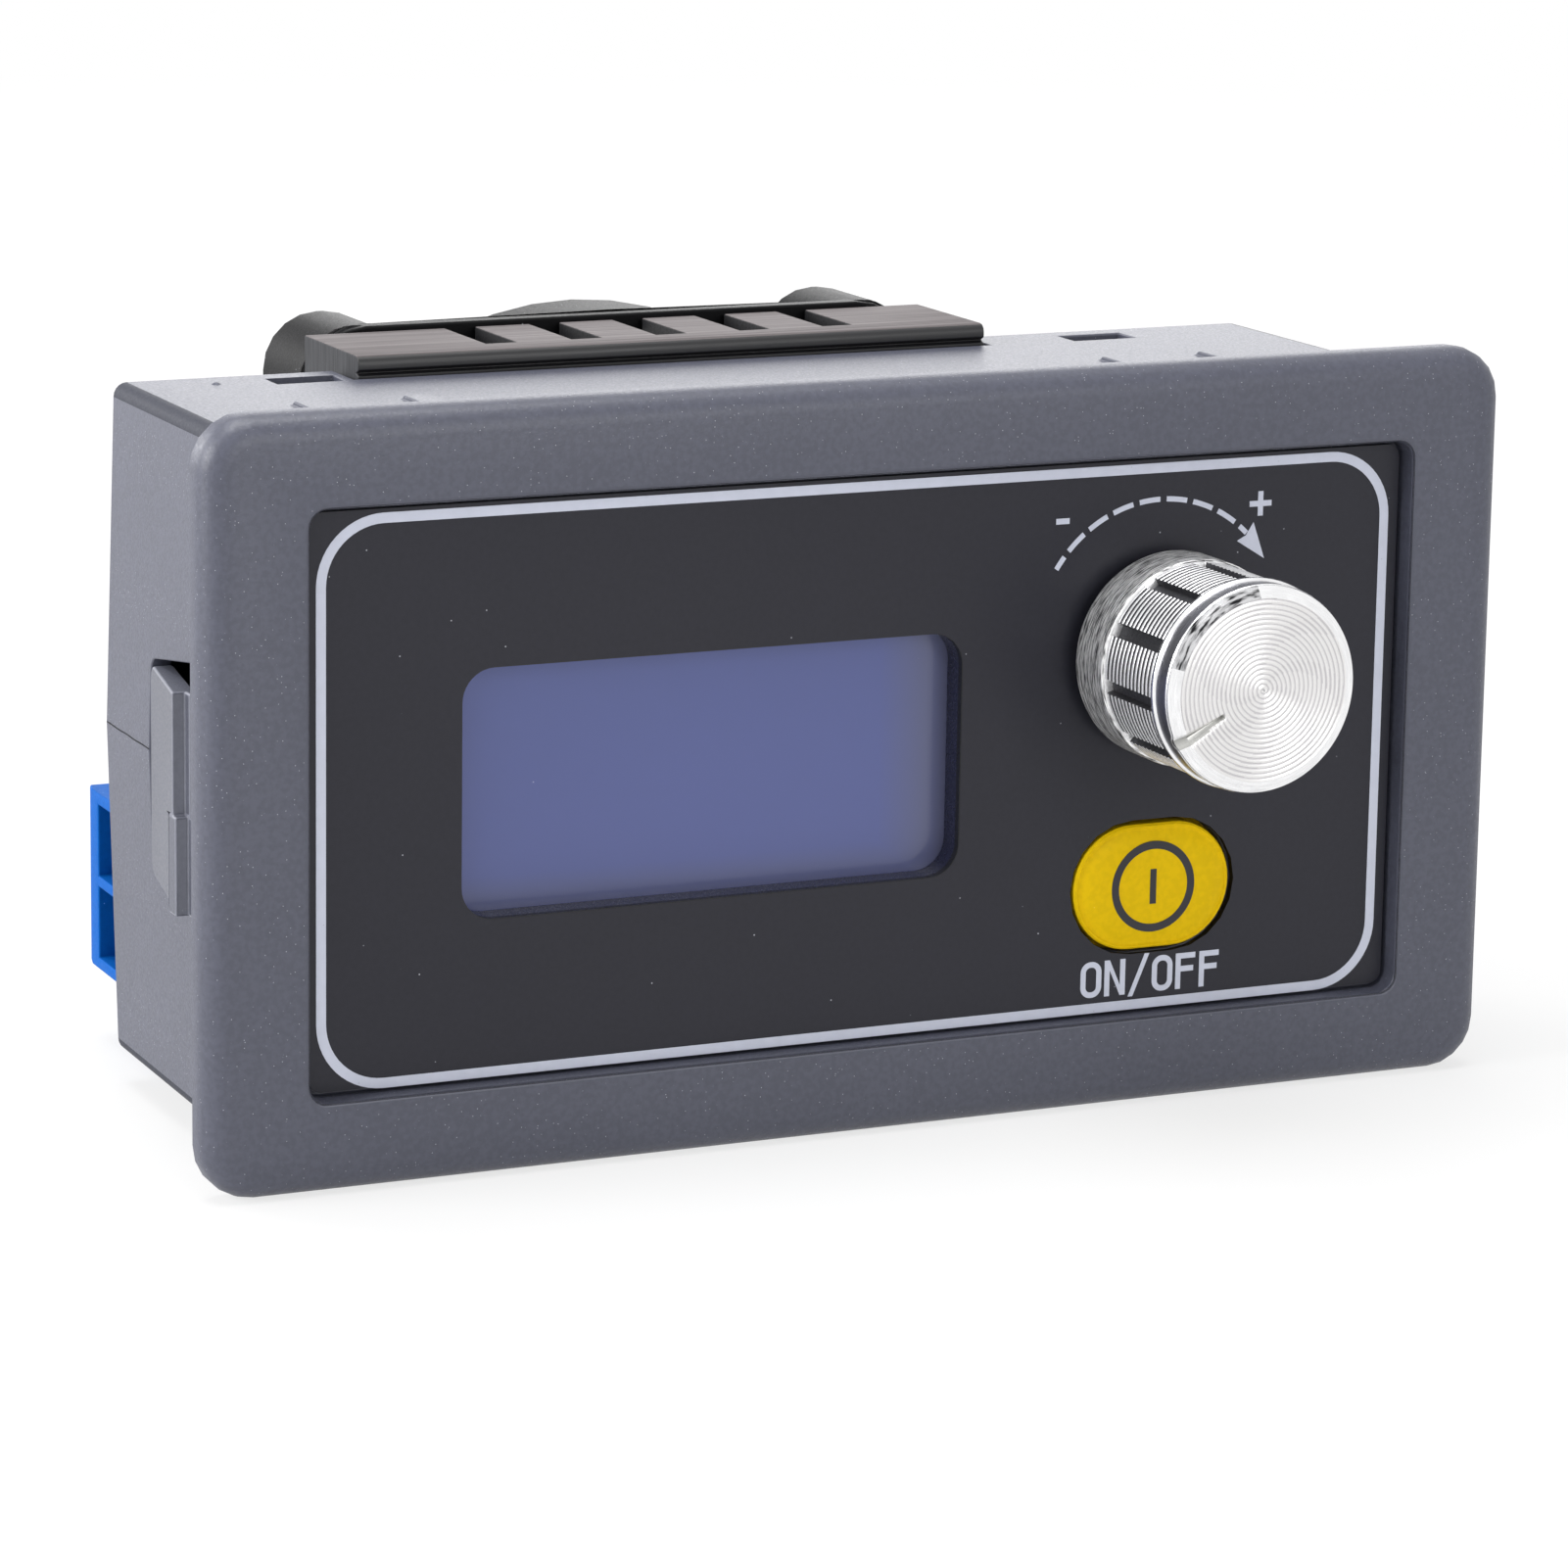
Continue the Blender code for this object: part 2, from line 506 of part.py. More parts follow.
def build_front_housing(parent):
    """Bezel, front wall and open shell in one moulding."""
    mesh = bmesh.new()
    sections = [(rounded_rectangle(BEZEL_WIDTH, BEZEL_HEIGHT, BEZEL_CORNER), BEZEL_DEPTH)]
    for inset, setback in arc((BEZEL_ROUNDING, BEZEL_ROUNDING), BEZEL_ROUNDING, 180.0, 270.0, 4):
        outline = rounded_rectangle(
            BEZEL_WIDTH - 2 * inset, BEZEL_HEIGHT - 2 * inset, BEZEL_CORNER - inset
        )
        sections.append((outline, setback))
    loft(mesh, sections)
    housing = finish(
        "front_housing", mesh, material("grey_abs", (0.085, 0.088, 0.1), 0.55), parent, sharp=40.0
    )

    mesh = bmesh.new()
    prism(mesh, shell_outline(0.0), BEZEL_DEPTH / 2, SHELL_DEPTH)
    combine(housing, "UNION", mesh)

    mesh = bmesh.new()
    for x in RIB_XS:
        outline = [(BEZEL_DEPTH / 2, SHELL_HALF_HEIGHT - SHELL_WALL / 2)]
        outline.append((RIB_END, SHELL_HALF_HEIGHT - SHELL_WALL / 2))
        outline.append((RIB_END, SHELL_HALF_HEIGHT))
        outline.append((RIB_END - RIB_HEIGHT, SHELL_HALF_HEIGHT + RIB_HEIGHT))
        outline.append((BEZEL_DEPTH / 2, SHELL_HALF_HEIGHT + RIB_HEIGHT))
        prism(mesh, outline, x - RIB_WIDTH / 2, x + RIB_WIDTH / 2, "X")
    combine(housing, "UNION", mesh)

    mesh = bmesh.new()
    prism(mesh, shell_outline(SHELL_WALL), CAVITY_FRONT, SHELL_DEPTH + 1 * MM)
    grown = [
        rounded_rectangle(
            RECESS_WIDTH + 2 * grow, RECESS_HEIGHT + 2 * grow, RECESS_CORNER + grow
        )
        for grow in (2 * RECESS_CHAMFER, 0.0, 0.0)
    ]
    loft(mesh, list(zip(grown, (-RECESS_CHAMFER, RECESS_CHAMFER, RECESS_FLOOR))))
    combine(housing, "DIFFERENCE", mesh)

    mesh = bmesh.new()
    for x in POST_XS:
        for z in POST_ZS:
            prism(mesh, circle(POST_RADIUS, (x, z)), CAVITY_FRONT - FRONT_WALL / 2, SEAT_ON_CONTROL)
    inner_top = INNER_HALF_HEIGHT
    for side in (-1, 1):
        for x in LEDGE_XS:
            low, high = sorted((side * (inner_top - LEDGE_HEIGHT), side * (inner_top + SHELL_WALL / 2)))
            box(
                mesh,
                (x - LEDGE_WIDTH / 2, CAVITY_FRONT - FRONT_WALL / 2, low),
                (x + LEDGE_WIDTH / 2, POWER_BOARD_DEPTH - GAP, high),
            )
    combine(housing, "UNION", mesh)

    mesh = bmesh.new()
    snap_front = SEAT_ON_POWER - SNAP_LEAD
    snap_rear = snap_front + SNAP_LENGTH
    for side in (-1, 1):
        for x in SNAP_XS:
            low, high = sorted((side * (inner_top - GAP), side * (SHELL_HALF_HEIGHT + 1 * MM)))
            box(mesh, (x - SNAP_WIDTH / 2, snap_front, low), (x + SNAP_WIDTH / 2, snap_rear, high))
    left = COOLER_X - COOLER_SIZE / 2 - GAP
    right = COOLER_X + COOLER_SIZE / 2 + GAP
    box(
        mesh,
        (left, HEAT_SINK_FRONT - GAP, inner_top - SHELL_WALL / 2),
        (right, SHELL_DEPTH + 1 * MM, SHELL_HALF_HEIGHT + 1 * MM),
    )
    combine(housing, "DIFFERENCE", mesh)

    mesh = bmesh.new()
    for side in (-1, 1):
        for x in SNAP_XS:
            tongue = [
                (snap_rear + GAP, side * (SHELL_HALF_HEIGHT - GAP)),
                (SEAT_ON_POWER, side * (inner_top - GAP)),
                (SEAT_ON_POWER, side * (inner_top - SNAP_HOOK)),
                (snap_rear + GAP, side * (inner_top + GAP)),
            ]
            prism(mesh, tongue, x - SNAP_WIDTH / 2 + GAP, x + SNAP_WIDTH / 2 - GAP, "X")
    combine(housing, "UNION", mesh)

    mesh = bmesh.new()
    window = rounded_rectangle(WINDOW_WIDTH, WINDOW_HEIGHT, WINDOW_CORNER, WINDOW_CENTRE)
    prism(mesh, window, RECESS_FLOOR - GAP, CAVITY_FRONT + GAP)
    key = stadium(KEY_WIDTH + 2 * GAP, KEY_HEIGHT + 2 * GAP, KEY_CENTRE)
    prism(mesh, key, RECESS_FLOOR - GAP, CAVITY_FRONT + GAP)
    bushing = circle(BUSHING_RADIUS + GAP, KNOB_CENTRE, ROUND_STEPS // 2)
    prism(mesh, bushing, RECESS_FLOOR - GAP, CAVITY_FRONT + GAP)
    for x in POST_XS:
        for z in POST_ZS:
            hole = circle(BOARD_SCREW_RADIUS + GAP, (x, z))
            prism(mesh, hole, CAVITY_FRONT + GAP, SEAT_ON_CONTROL + GAP)
    for side in (-1, 1):
        low, high = sorted((side * (SHELL_HALF_WIDTH - SHELL_WALL - 1 * MM), side * (SHELL_HALF_WIDTH + 1 * MM)))
        prism(mesh, clip_slot_outline(), low, high, "X")
    combine(housing, "DIFFERENCE", mesh)
    return housing


def clip_slot_outline():
    """Side-wall slot round a clip: tight at the root, spreading towards the bezel."""
    rear = CLIP_ROOT + GAP
    top = CLIP_TOP + GAP
    bottom = CLIP_BOTTOM - GAP
    radius = CLIP_SLOT_CORNER
    points = [(CLIP_SLOT_FRONT, bottom - CLIP_SLOT_SPREAD)]
    points += arc((rear - radius, bottom + radius), radius, 270.0, 360.0, CORNER_STEPS)
    points += arc((rear - radius, top - radius), radius, 0.0, 90.0, CORNER_STEPS)
    points.append((CLIP_SLOT_FRONT, top + CLIP_SLOT_SPREAD))
    return points


def build_clip(name, side, surface, parent):
    """Spring arm that flares out from its root and ends in stepped teeth behind the panel."""
    wall_in = SHELL_HALF_WIDTH - CLIP_THICKNESS
    tip_out = SHELL_HALF_WIDTH + CLIP_FLARE
    outline = [
        (side * SHELL_HALF_WIDTH, CLIP_ROOT),
        (side * tip_out, CLIP_TIP),
        (side * (tip_out - CLIP_STEP), CLIP_TIP),
        (side * (tip_out - CLIP_STEP), CLIP_TIP - CLIP_STEP),
        (side * (tip_out - 2 * CLIP_STEP), CLIP_TIP - CLIP_STEP),
        (side * (tip_out - 2 * CLIP_STEP), CLIP_TIP + CLIP_THICKNESS),
        (side * wall_in, CLIP_ROOT),
    ]
    mesh = bmesh.new()
    prism(mesh, outline, CLIP_BOTTOM, CLIP_TOP, "Z")
    pivot = (side * (SHELL_HALF_WIDTH - CLIP_THICKNESS / 2), CLIP_ROOT, 0.0)
    clip = finish(name, mesh, surface, parent, pivot)

    mesh = bmesh.new()
    teeth = [
        (side * tip_out, CLIP_TIP + CLIP_STEP),
        (side * tip_out, CLIP_TIP - CLIP_TOOTH_RISE),
        (side * (tip_out - CLIP_STEP), CLIP_TIP - CLIP_TOOTH_RISE),
        (side * (tip_out - CLIP_STEP), CLIP_TIP - CLIP_TOOTH_RISE - CLIP_STEP),
        (side * (tip_out - 2 * CLIP_STEP), CLIP_TIP - CLIP_TOOTH_RISE - CLIP_STEP),
        (side * (tip_out - 2 * CLIP_STEP), CLIP_TIP + CLIP_STEP),
    ]
    prism(mesh, teeth, CLIP_BOTTOM - CLIP_TOOTH_RISE, CLIP_TOOTH_SPLIT, "Z")
    combine(clip, "UNION", mesh)

    mesh = bmesh.new()
    corner = CLIP_SLOT_CORNER + GAP
    for level, sign in ((CLIP_BOTTOM, -1), (CLIP_TOP, 1)):
        inner = level - sign * corner
        outer = level + sign * MM
        notch = [(CLIP_ROOT + MM, inner), (CLIP_ROOT + MM, outer), (CLIP_ROOT - corner, outer)]
        start = 90.0 if sign > 0 else 270.0
        notch += arc((CLIP_ROOT - corner, inner), corner, start, start - sign * 90.0, CORNER_STEPS)
        low, high = sorted((side * (wall_in - MM), side * (tip_out + MM)))
        prism(mesh, notch, low, high, "X")
    combine(clip, "DIFFERENCE", mesh)
    return clip


def build_overlay(parent):
    """Thin printed film in the recess, cut out for the display, key and shaft."""
    mesh = bmesh.new()
    outline = rounded_rectangle(RECESS_WIDTH - 2 * GAP, RECESS_HEIGHT - 2 * GAP, RECESS_CORNER - GAP)
    prism(mesh, outline, FILM_SETBACK, FILM_SETBACK + FILM_THICKNESS)
    film = finish("front_overlay", mesh, material("black_film", (0.018, 0.018, 0.021), 0.5), parent)
    mesh = bmesh.new()
    near = FILM_SETBACK - GAP
    far = FILM_SETBACK + FILM_THICKNESS + GAP
    window = rounded_rectangle(WINDOW_WIDTH, WINDOW_HEIGHT, WINDOW_CORNER, WINDOW_CENTRE)
    prism(mesh, window, near, far)
    prism(mesh, stadium(KEY_WIDTH + 2 * GAP, KEY_HEIGHT + 2 * GAP, KEY_CENTRE), near, far)
    prism(mesh, circle(BUSHING_RADIUS + GAP, KNOB_CENTRE, ROUND_STEPS // 2), near, far)
    combine(film, "DIFFERENCE", mesh)
    return film


def build_display(parent):
    """Glass of the display and the moulded frame that carries it on the board."""
    mesh = bmesh.new()
    outline = rounded_rectangle(
        DISPLAY_WIDTH - 2 * DISPLAY_RIM, DISPLAY_HEIGHT - 2 * DISPLAY_RIM, WINDOW_CORNER / 2, WINDOW_CENTRE, 2
    )
    prism(mesh, outline, GLASS_FRONT, GLASS_FRONT + GLASS_THICKNESS)
    finish("lcd_glass", mesh, material("display_glass", (0.1, 0.13, 0.3), 0.25), parent)

    mesh = bmesh.new()
    frame_front = GLASS_FRONT + GLASS_THICKNESS - DISPLAY_RIM_DEPTH
    prism(
        mesh,
        rounded_rectangle(DISPLAY_WIDTH, DISPLAY_HEIGHT, WINDOW_CORNER / 2, WINDOW_CENTRE, 2),
        frame_front,
        SEAT_ON_CONTROL,
    )
    frame = finish("lcd_frame", mesh, material("white_frame", (0.6, 0.6, 0.58), 0.5), parent)
    mesh = bmesh.new()
    pocket = rounded_rectangle(
        DISPLAY_WIDTH - 2 * DISPLAY_RIM + 2 * GAP,
        DISPLAY_HEIGHT - 2 * DISPLAY_RIM + 2 * GAP,
        WINDOW_CORNER / 2,
        WINDOW_CENTRE,
        2,
    )
    prism(mesh, pocket, frame_front - GAP, GLASS_FRONT + GLASS_THICKNESS + GAP)
    combine(frame, "DIFFERENCE", mesh)


def build_power_key(parent):
    """Pillow-shaped key with a flange behind the front wall and a stem on the switch."""
    front = FILM_SETBACK - KEY_PROUD
    flange_front = CAVITY_FRONT + GAP
    flange_rear = flange_front + KEY_FLANGE_THICKNESS
    stem_end = SEAT_ON_CONTROL - SWITCH_DEPTH - PLUNGER_PROUD - GAP
    mesh = bmesh.new()
    loft(
        mesh,
        [
            (stadium(KEY_WIDTH - 2 * KEY_PILLOW, KEY_HEIGHT - 2 * KEY_PILLOW, KEY_CENTRE), front),
            (stadium(KEY_WIDTH - KEY_PILLOW, KEY_HEIGHT - KEY_PILLOW, KEY_CENTRE), front + KEY_PROUD / 4),
            (stadium(KEY_WIDTH, KEY_HEIGHT, KEY_CENTRE), FILM_SETBACK),
            (stadium(KEY_WIDTH, KEY_HEIGHT, KEY_CENTRE), flange_front),
            (stadium(KEY_WIDTH + 2 * KEY_FLANGE, KEY_HEIGHT + 2 * KEY_FLANGE, KEY_CENTRE), flange_front),
            (stadium(KEY_WIDTH + 2 * KEY_FLANGE, KEY_HEIGHT + 2 * KEY_FLANGE, KEY_CENTRE), flange_rear),
            (stadium(KEY_STEM_WIDTH, KEY_STEM_HEIGHT, KEY_CENTRE), flange_rear),
            (stadium(KEY_STEM_WIDTH, KEY_STEM_HEIGHT, KEY_CENTRE), stem_end),
        ],
    )
    pivot = (KEY_CENTRE[0], front, KEY_CENTRE[1])
    finish("power_button", mesh, material("yellow_key", (0.78, 0.52, 0.01), 0.35), parent, pivot)

    body_front = SEAT_ON_CONTROL - SWITCH_DEPTH
    mesh = bmesh.new()
    prism(mesh, rounded_rectangle(SWITCH_SIZE, SWITCH_SIZE, 0.6 * MM, KEY_CENTRE, 2), body_front, SEAT_ON_CONTROL)
    switch = finish("tact_switch", mesh, material("switch_black", (0.02, 0.02, 0.02), 0.5), parent)
    mesh = bmesh.new()
    well = body_front + PLUNGER_PROUD + KEY_TRAVEL + GAP
    prism(mesh, circle(PLUNGER_RADIUS + GAP, KEY_CENTRE), body_front - GAP, well + GAP)
    combine(switch, "DIFFERENCE", mesh)

    mesh = bmesh.new()
    prism(mesh, circle(PLUNGER_RADIUS, KEY_CENTRE), body_front - PLUNGER_PROUD, well - KEY_TRAVEL)
    pivot = (KEY_CENTRE[0], body_front, KEY_CENTRE[1])
    finish("tact_plunger", mesh, material("plunger_white", (0.7, 0.7, 0.68), 0.45), parent, pivot)


def build_knob(parent):
    """Turned aluminium knob: rough skirt, slotted grip, polished rim and a pointer cut in the face."""
    skirt_end = KNOB_REAR - KNOB_SKIRT
    grip_end = skirt_end - KNOB_GRIP
    bore_end = KNOB_FRONT + KNOB_FACE_WALL
    edge = 0.3 * MM
    profile = [
        (0.0, KNOB_FRONT),
        (KNOB_RIM_RADIUS - KNOB_CHAMFER, KNOB_FRONT),
        (KNOB_RIM_RADIUS, KNOB_FRONT + KNOB_CHAMFER),
        (KNOB_RADIUS, grip_end - edge),
        (KNOB_GRIP_RADIUS, grip_end),
        (KNOB_GRIP_RADIUS, skirt_end),
        (KNOB_RADIUS, skirt_end + edge),
        (KNOB_RADIUS, KNOB_REAR - edge),
        (KNOB_RADIUS - edge, KNOB_REAR),
        (0.0, KNOB_REAR),
    ]
    mesh = bmesh.new()
    turned(mesh, profile, KNOB_CENTRE)
    pivot = (KNOB_CENTRE[0], KNOB_REAR, KNOB_CENTRE[1])
    knob = finish("knob", mesh, material("turned_aluminium", (0.72, 0.72, 0.73), 0.25, 1.0), parent, pivot)

    mesh = bmesh.new()
    prism(mesh, circle(BUSHING_RADIUS + GAP, KNOB_CENTRE), KNOB_REAR - KNOB_COUNTERBORE_DEPTH, KNOB_REAR + MM)
    combine(knob, "DIFFERENCE", mesh)
    mesh = bmesh.new()
    prism(mesh, d_outline(SHAFT_RADIUS + GAP, SHAFT_FLAT + GAP, KNOB_CENTRE), bore_end, KNOB_REAR - MM)
    combine(knob, "DIFFERENCE", mesh)

    mesh = bmesh.new()
    for index in range(KNOB_SLOTS):
        turn = math.radians(KNOB_FIRST_SLOT) + math.tau * index / KNOB_SLOTS
        along = (math.cos(turn), math.sin(turn))
        cut_bar(mesh, along, KNOB_GRIP_RADIUS - KNOB_SLOT_DEPTH, KNOB_RADIUS + MM, KNOB_SLOT_WIDTH, grip_end, skirt_end)
    turn = math.radians(POINTER_ANGLE)
    along = (math.cos(turn), math.sin(turn))
    cut_bar(
        mesh, along, POINTER_START, KNOB_RADIUS + MM, POINTER_WIDTH, KNOB_FRONT - MM, KNOB_FRONT + POINTER_DEPTH
    )
    combine(knob, "DIFFERENCE", mesh)


def cut_bar(mesh, along, inner, outer, width, near, far):
    """A bar that points out from the knob's axis in a given direction."""
    across = (-along[1], along[0])
    corners = []
    for reach, side in ((inner, -1), (outer, -1), (outer, 1), (inner, 1)):
        corners.append(
            (
                KNOB_CENTRE[0] + along[0] * reach + across[0] * side * width / 2,
                KNOB_CENTRE[1] + along[1] * reach + across[1] * side * width / 2,
            )
        )
    prism(mesh, corners, near, far)


def build_encoder(parent):
    """Rotary encoder: metal frame with bushing, plastic body, code disc and flatted shaft."""
    metal = material("plated_steel", (0.55, 0.55, 0.53), 0.3, 1.0)
    shaft_front = KNOB_FRONT + KNOB_FACE_WALL + GAP
    cavity_floor = SEAT_ON_CONTROL - ENCODER_FLOOR
    shaft_rear = cavity_floor - GAP - PUSH_TRAVEL
    pivot = (KNOB_CENTRE[0], KNOB_REAR, KNOB_CENTRE[1])

    mesh = bmesh.new()
    prism(mesh, d_outline(SHAFT_RADIUS, SHAFT_FLAT, KNOB_CENTRE), shaft_front, shaft_rear)
    finish("encoder_shaft", mesh, metal, parent, pivot)

    mesh = bmesh.new()
    disc_front = ENCODER_BODY_FRONT + GAP
    prism(mesh, circle(ROTOR_RADIUS, KNOB_CENTRE, 32), disc_front, disc_front + ROTOR_THICKNESS)
    disc = finish("encoder_rotor", mesh, material("code_disc", (0.75, 0.73, 0.68), 0.5), parent, pivot)
    mesh = bmesh.new()
    bore = d_outline(SHAFT_RADIUS + GAP, SHAFT_FLAT + GAP, KNOB_CENTRE)
    prism(mesh, bore, disc_front - GAP, disc_front + ROTOR_THICKNESS + GAP)
    combine(disc, "DIFFERENCE", mesh)

    mesh = bmesh.new()
    turned(
        mesh,
        [
            (SHAFT_RADIUS + GAP, KNOB_REAR - BUSHING_PROUD),
            (BUSHING_RADIUS, KNOB_REAR - BUSHING_PROUD),
            (BUSHING_RADIUS, ENCODER_FRONT),
            (ENCODER_SIZE / 2, ENCODER_FRONT),
            (ENCODER_SIZE / 2, ENCODER_FRONT + ENCODER_PLATE),
            (SHAFT_RADIUS + GAP, ENCODER_FRONT + ENCODER_PLATE),
        ],
        KNOB_CENTRE,
        32,
        closed=True,
    )
    frame = finish("encoder_frame", mesh, metal, parent)
    mesh = bmesh.new()
    leg_in = ENCODER_SIZE / 2 + GAP
    leg_out = leg_in + ENCODER_LEG_THICKNESS
    for side in (-1, 1):
        strap = [
            (side * (ENCODER_SIZE / 2 - MM), ENCODER_FRONT + ENCODER_PLATE / 5),
            (side * leg_out, ENCODER_FRONT + ENCODER_PLATE / 5),
            (side * leg_out, SEAT_ON_CONTROL),
            (side * leg_in, SEAT_ON_CONTROL),
            (side * leg_in, ENCODER_FRONT + ENCODER_PLATE * 4 / 5),
            (side * (ENCODER_SIZE / 2 - MM), ENCODER_FRONT + ENCODER_PLATE * 4 / 5),
        ]
        outline = [(KNOB_CENTRE[0] + u, v) for u, v in strap]
        prism(mesh, outline, KNOB_CENTRE[1] - ENCODER_LEG_WIDTH / 2, KNOB_CENTRE[1] + ENCODER_LEG_WIDTH / 2, "Z")
    combine(frame, "UNION", mesh)

    mesh = bmesh.new()
    prism(
        mesh,
        rounded_rectangle(ENCODER_SIZE, ENCODER_SIZE, 1.0 * MM, KNOB_CENTRE, 2),
        ENCODER_BODY_FRONT,
        SEAT_ON_CONTROL,
    )
    body = finish("encoder_body", mesh, material("encoder_plastic", (0.03, 0.09, 0.05), 0.5), parent)
    mesh = bmesh.new()
    prism(mesh, circle(ROTOR_RADIUS + GAP, KNOB_CENTRE, 32), ENCODER_BODY_FRONT - GAP, cavity_floor)
    combine(body, "DIFFERENCE", mesh)


def build_control_board(parent):
    """Board behind the front panel with its screws, controller and the header to the power board."""
    mesh = bmesh.new()
    prism(
        mesh,
        rounded_rectangle(CONTROL_BOARD_WIDTH, CONTROL_BOARD_HEIGHT, BOARD_CORNER),
        CONTROL_BOARD_DEPTH,
        CONTROL_BOARD_REAR,
    )
    board = finish("control_board", mesh, material("black_board", (0.012, 0.03, 0.018), 0.4), parent)
    mesh = bmesh.new()
    for x in POST_XS:
        for z in POST_ZS:
            prism(
                mesh,
                circle(BOARD_SCREW_RADIUS + GAP, (x, z)),
                CONTROL_BOARD_DEPTH - GAP,
                CONTROL_BOARD_REAR + GAP,
            )
    combine(board, "DIFFERENCE", mesh)

    steel = material("zinc_screw", (0.45, 0.45, 0.44), 0.3, 1.0)
    head_front = CONTROL_BOARD_REAR + GAP
    number = 1
    for x in POST_XS:
        for z in POST_ZS:
            mesh = bmesh.new()
            screw_shape(
                mesh,
                (x, z),
                head_front,
                BOARD_SCREW_HEAD_RADIUS,
                BOARD_SCREW_HEAD,
                BOARD_SCREW_RADIUS,
                head_front - BOARD_SCREW_LENGTH,
            )
            finish(f"board_screw_{number}", mesh, steel, parent)
            number += 1

    mesh = bmesh.new()
    low = (CONTROL_BOARD_REAR + GAP, HEADER_CENTRE[1])
    high = POWER_BOARD_DEPTH - GAP
    middle = (low[0] + high) / 2
    wide = HEADER_HEIGHT / 2
    narrow = HEADER_WAIST / 2
    outline = [
        (low[0], low[1] - narrow),
        (middle, low[1] - narrow),
        (middle, low[1] - wide),
        (high, low[1] - wide),
        (high, low[1] + wide),
        (middle, low[1] + wide),
        (middle, low[1] + narrow),
        (low[0], low[1] + narrow),
    ]
    prism(mesh, outline, HEADER_CENTRE[0] - HEADER_WIDTH / 2, HEADER_CENTRE[0] + HEADER_WIDTH / 2, "X")
    finish("board_header", mesh, material("header_plastic", (0.015, 0.015, 0.015), 0.5), parent)

    mesh = bmesh.new()
    seat = CONTROL_BOARD_REAR + GAP
    span = CHIP_SIZE / 2 + CHIP_LEG
    square = rounded_rectangle(CHIP_SIZE, CHIP_SIZE, 0.4 * MM, CHIP_CENTRE, 1)
    prism(mesh, square, seat, seat + CHIP_THICKNESS)
    chip = finish("controller_chip", mesh, material("chip_epoxy", (0.02, 0.02, 0.022), 0.6), parent)
    mesh = bmesh.new()
    box(
        mesh,
        (CHIP_CENTRE[0] - span, seat, CHIP_CENTRE[1] - CHIP_SIZE / 2 + CHIP_LEG / 2),
        (CHIP_CENTRE[0] + span, seat + CHIP_LEG_THICKNESS, CHIP_CENTRE[1] + CHIP_SIZE / 2 - CHIP_LEG / 2),
    )
    combine(chip, "UNION", mesh)


def screw_shape(mesh, centre, seat, head_radius, head_length, shank_radius, end):
    """Pan-head screw along Y: its head stands behind the seat and its shank runs forward to its end."""
    profile = [
        (0.0, seat + head_length),
        (head_radius * 0.7, seat + head_length),
        (head_radius, seat + head_length * 0.6),
        (head_radius, seat),
        (shank_radius, seat),
        (shank_radius, end),
        (0.0, end),
    ]
    turned(mesh, profile, centre, SMALL_STEPS)


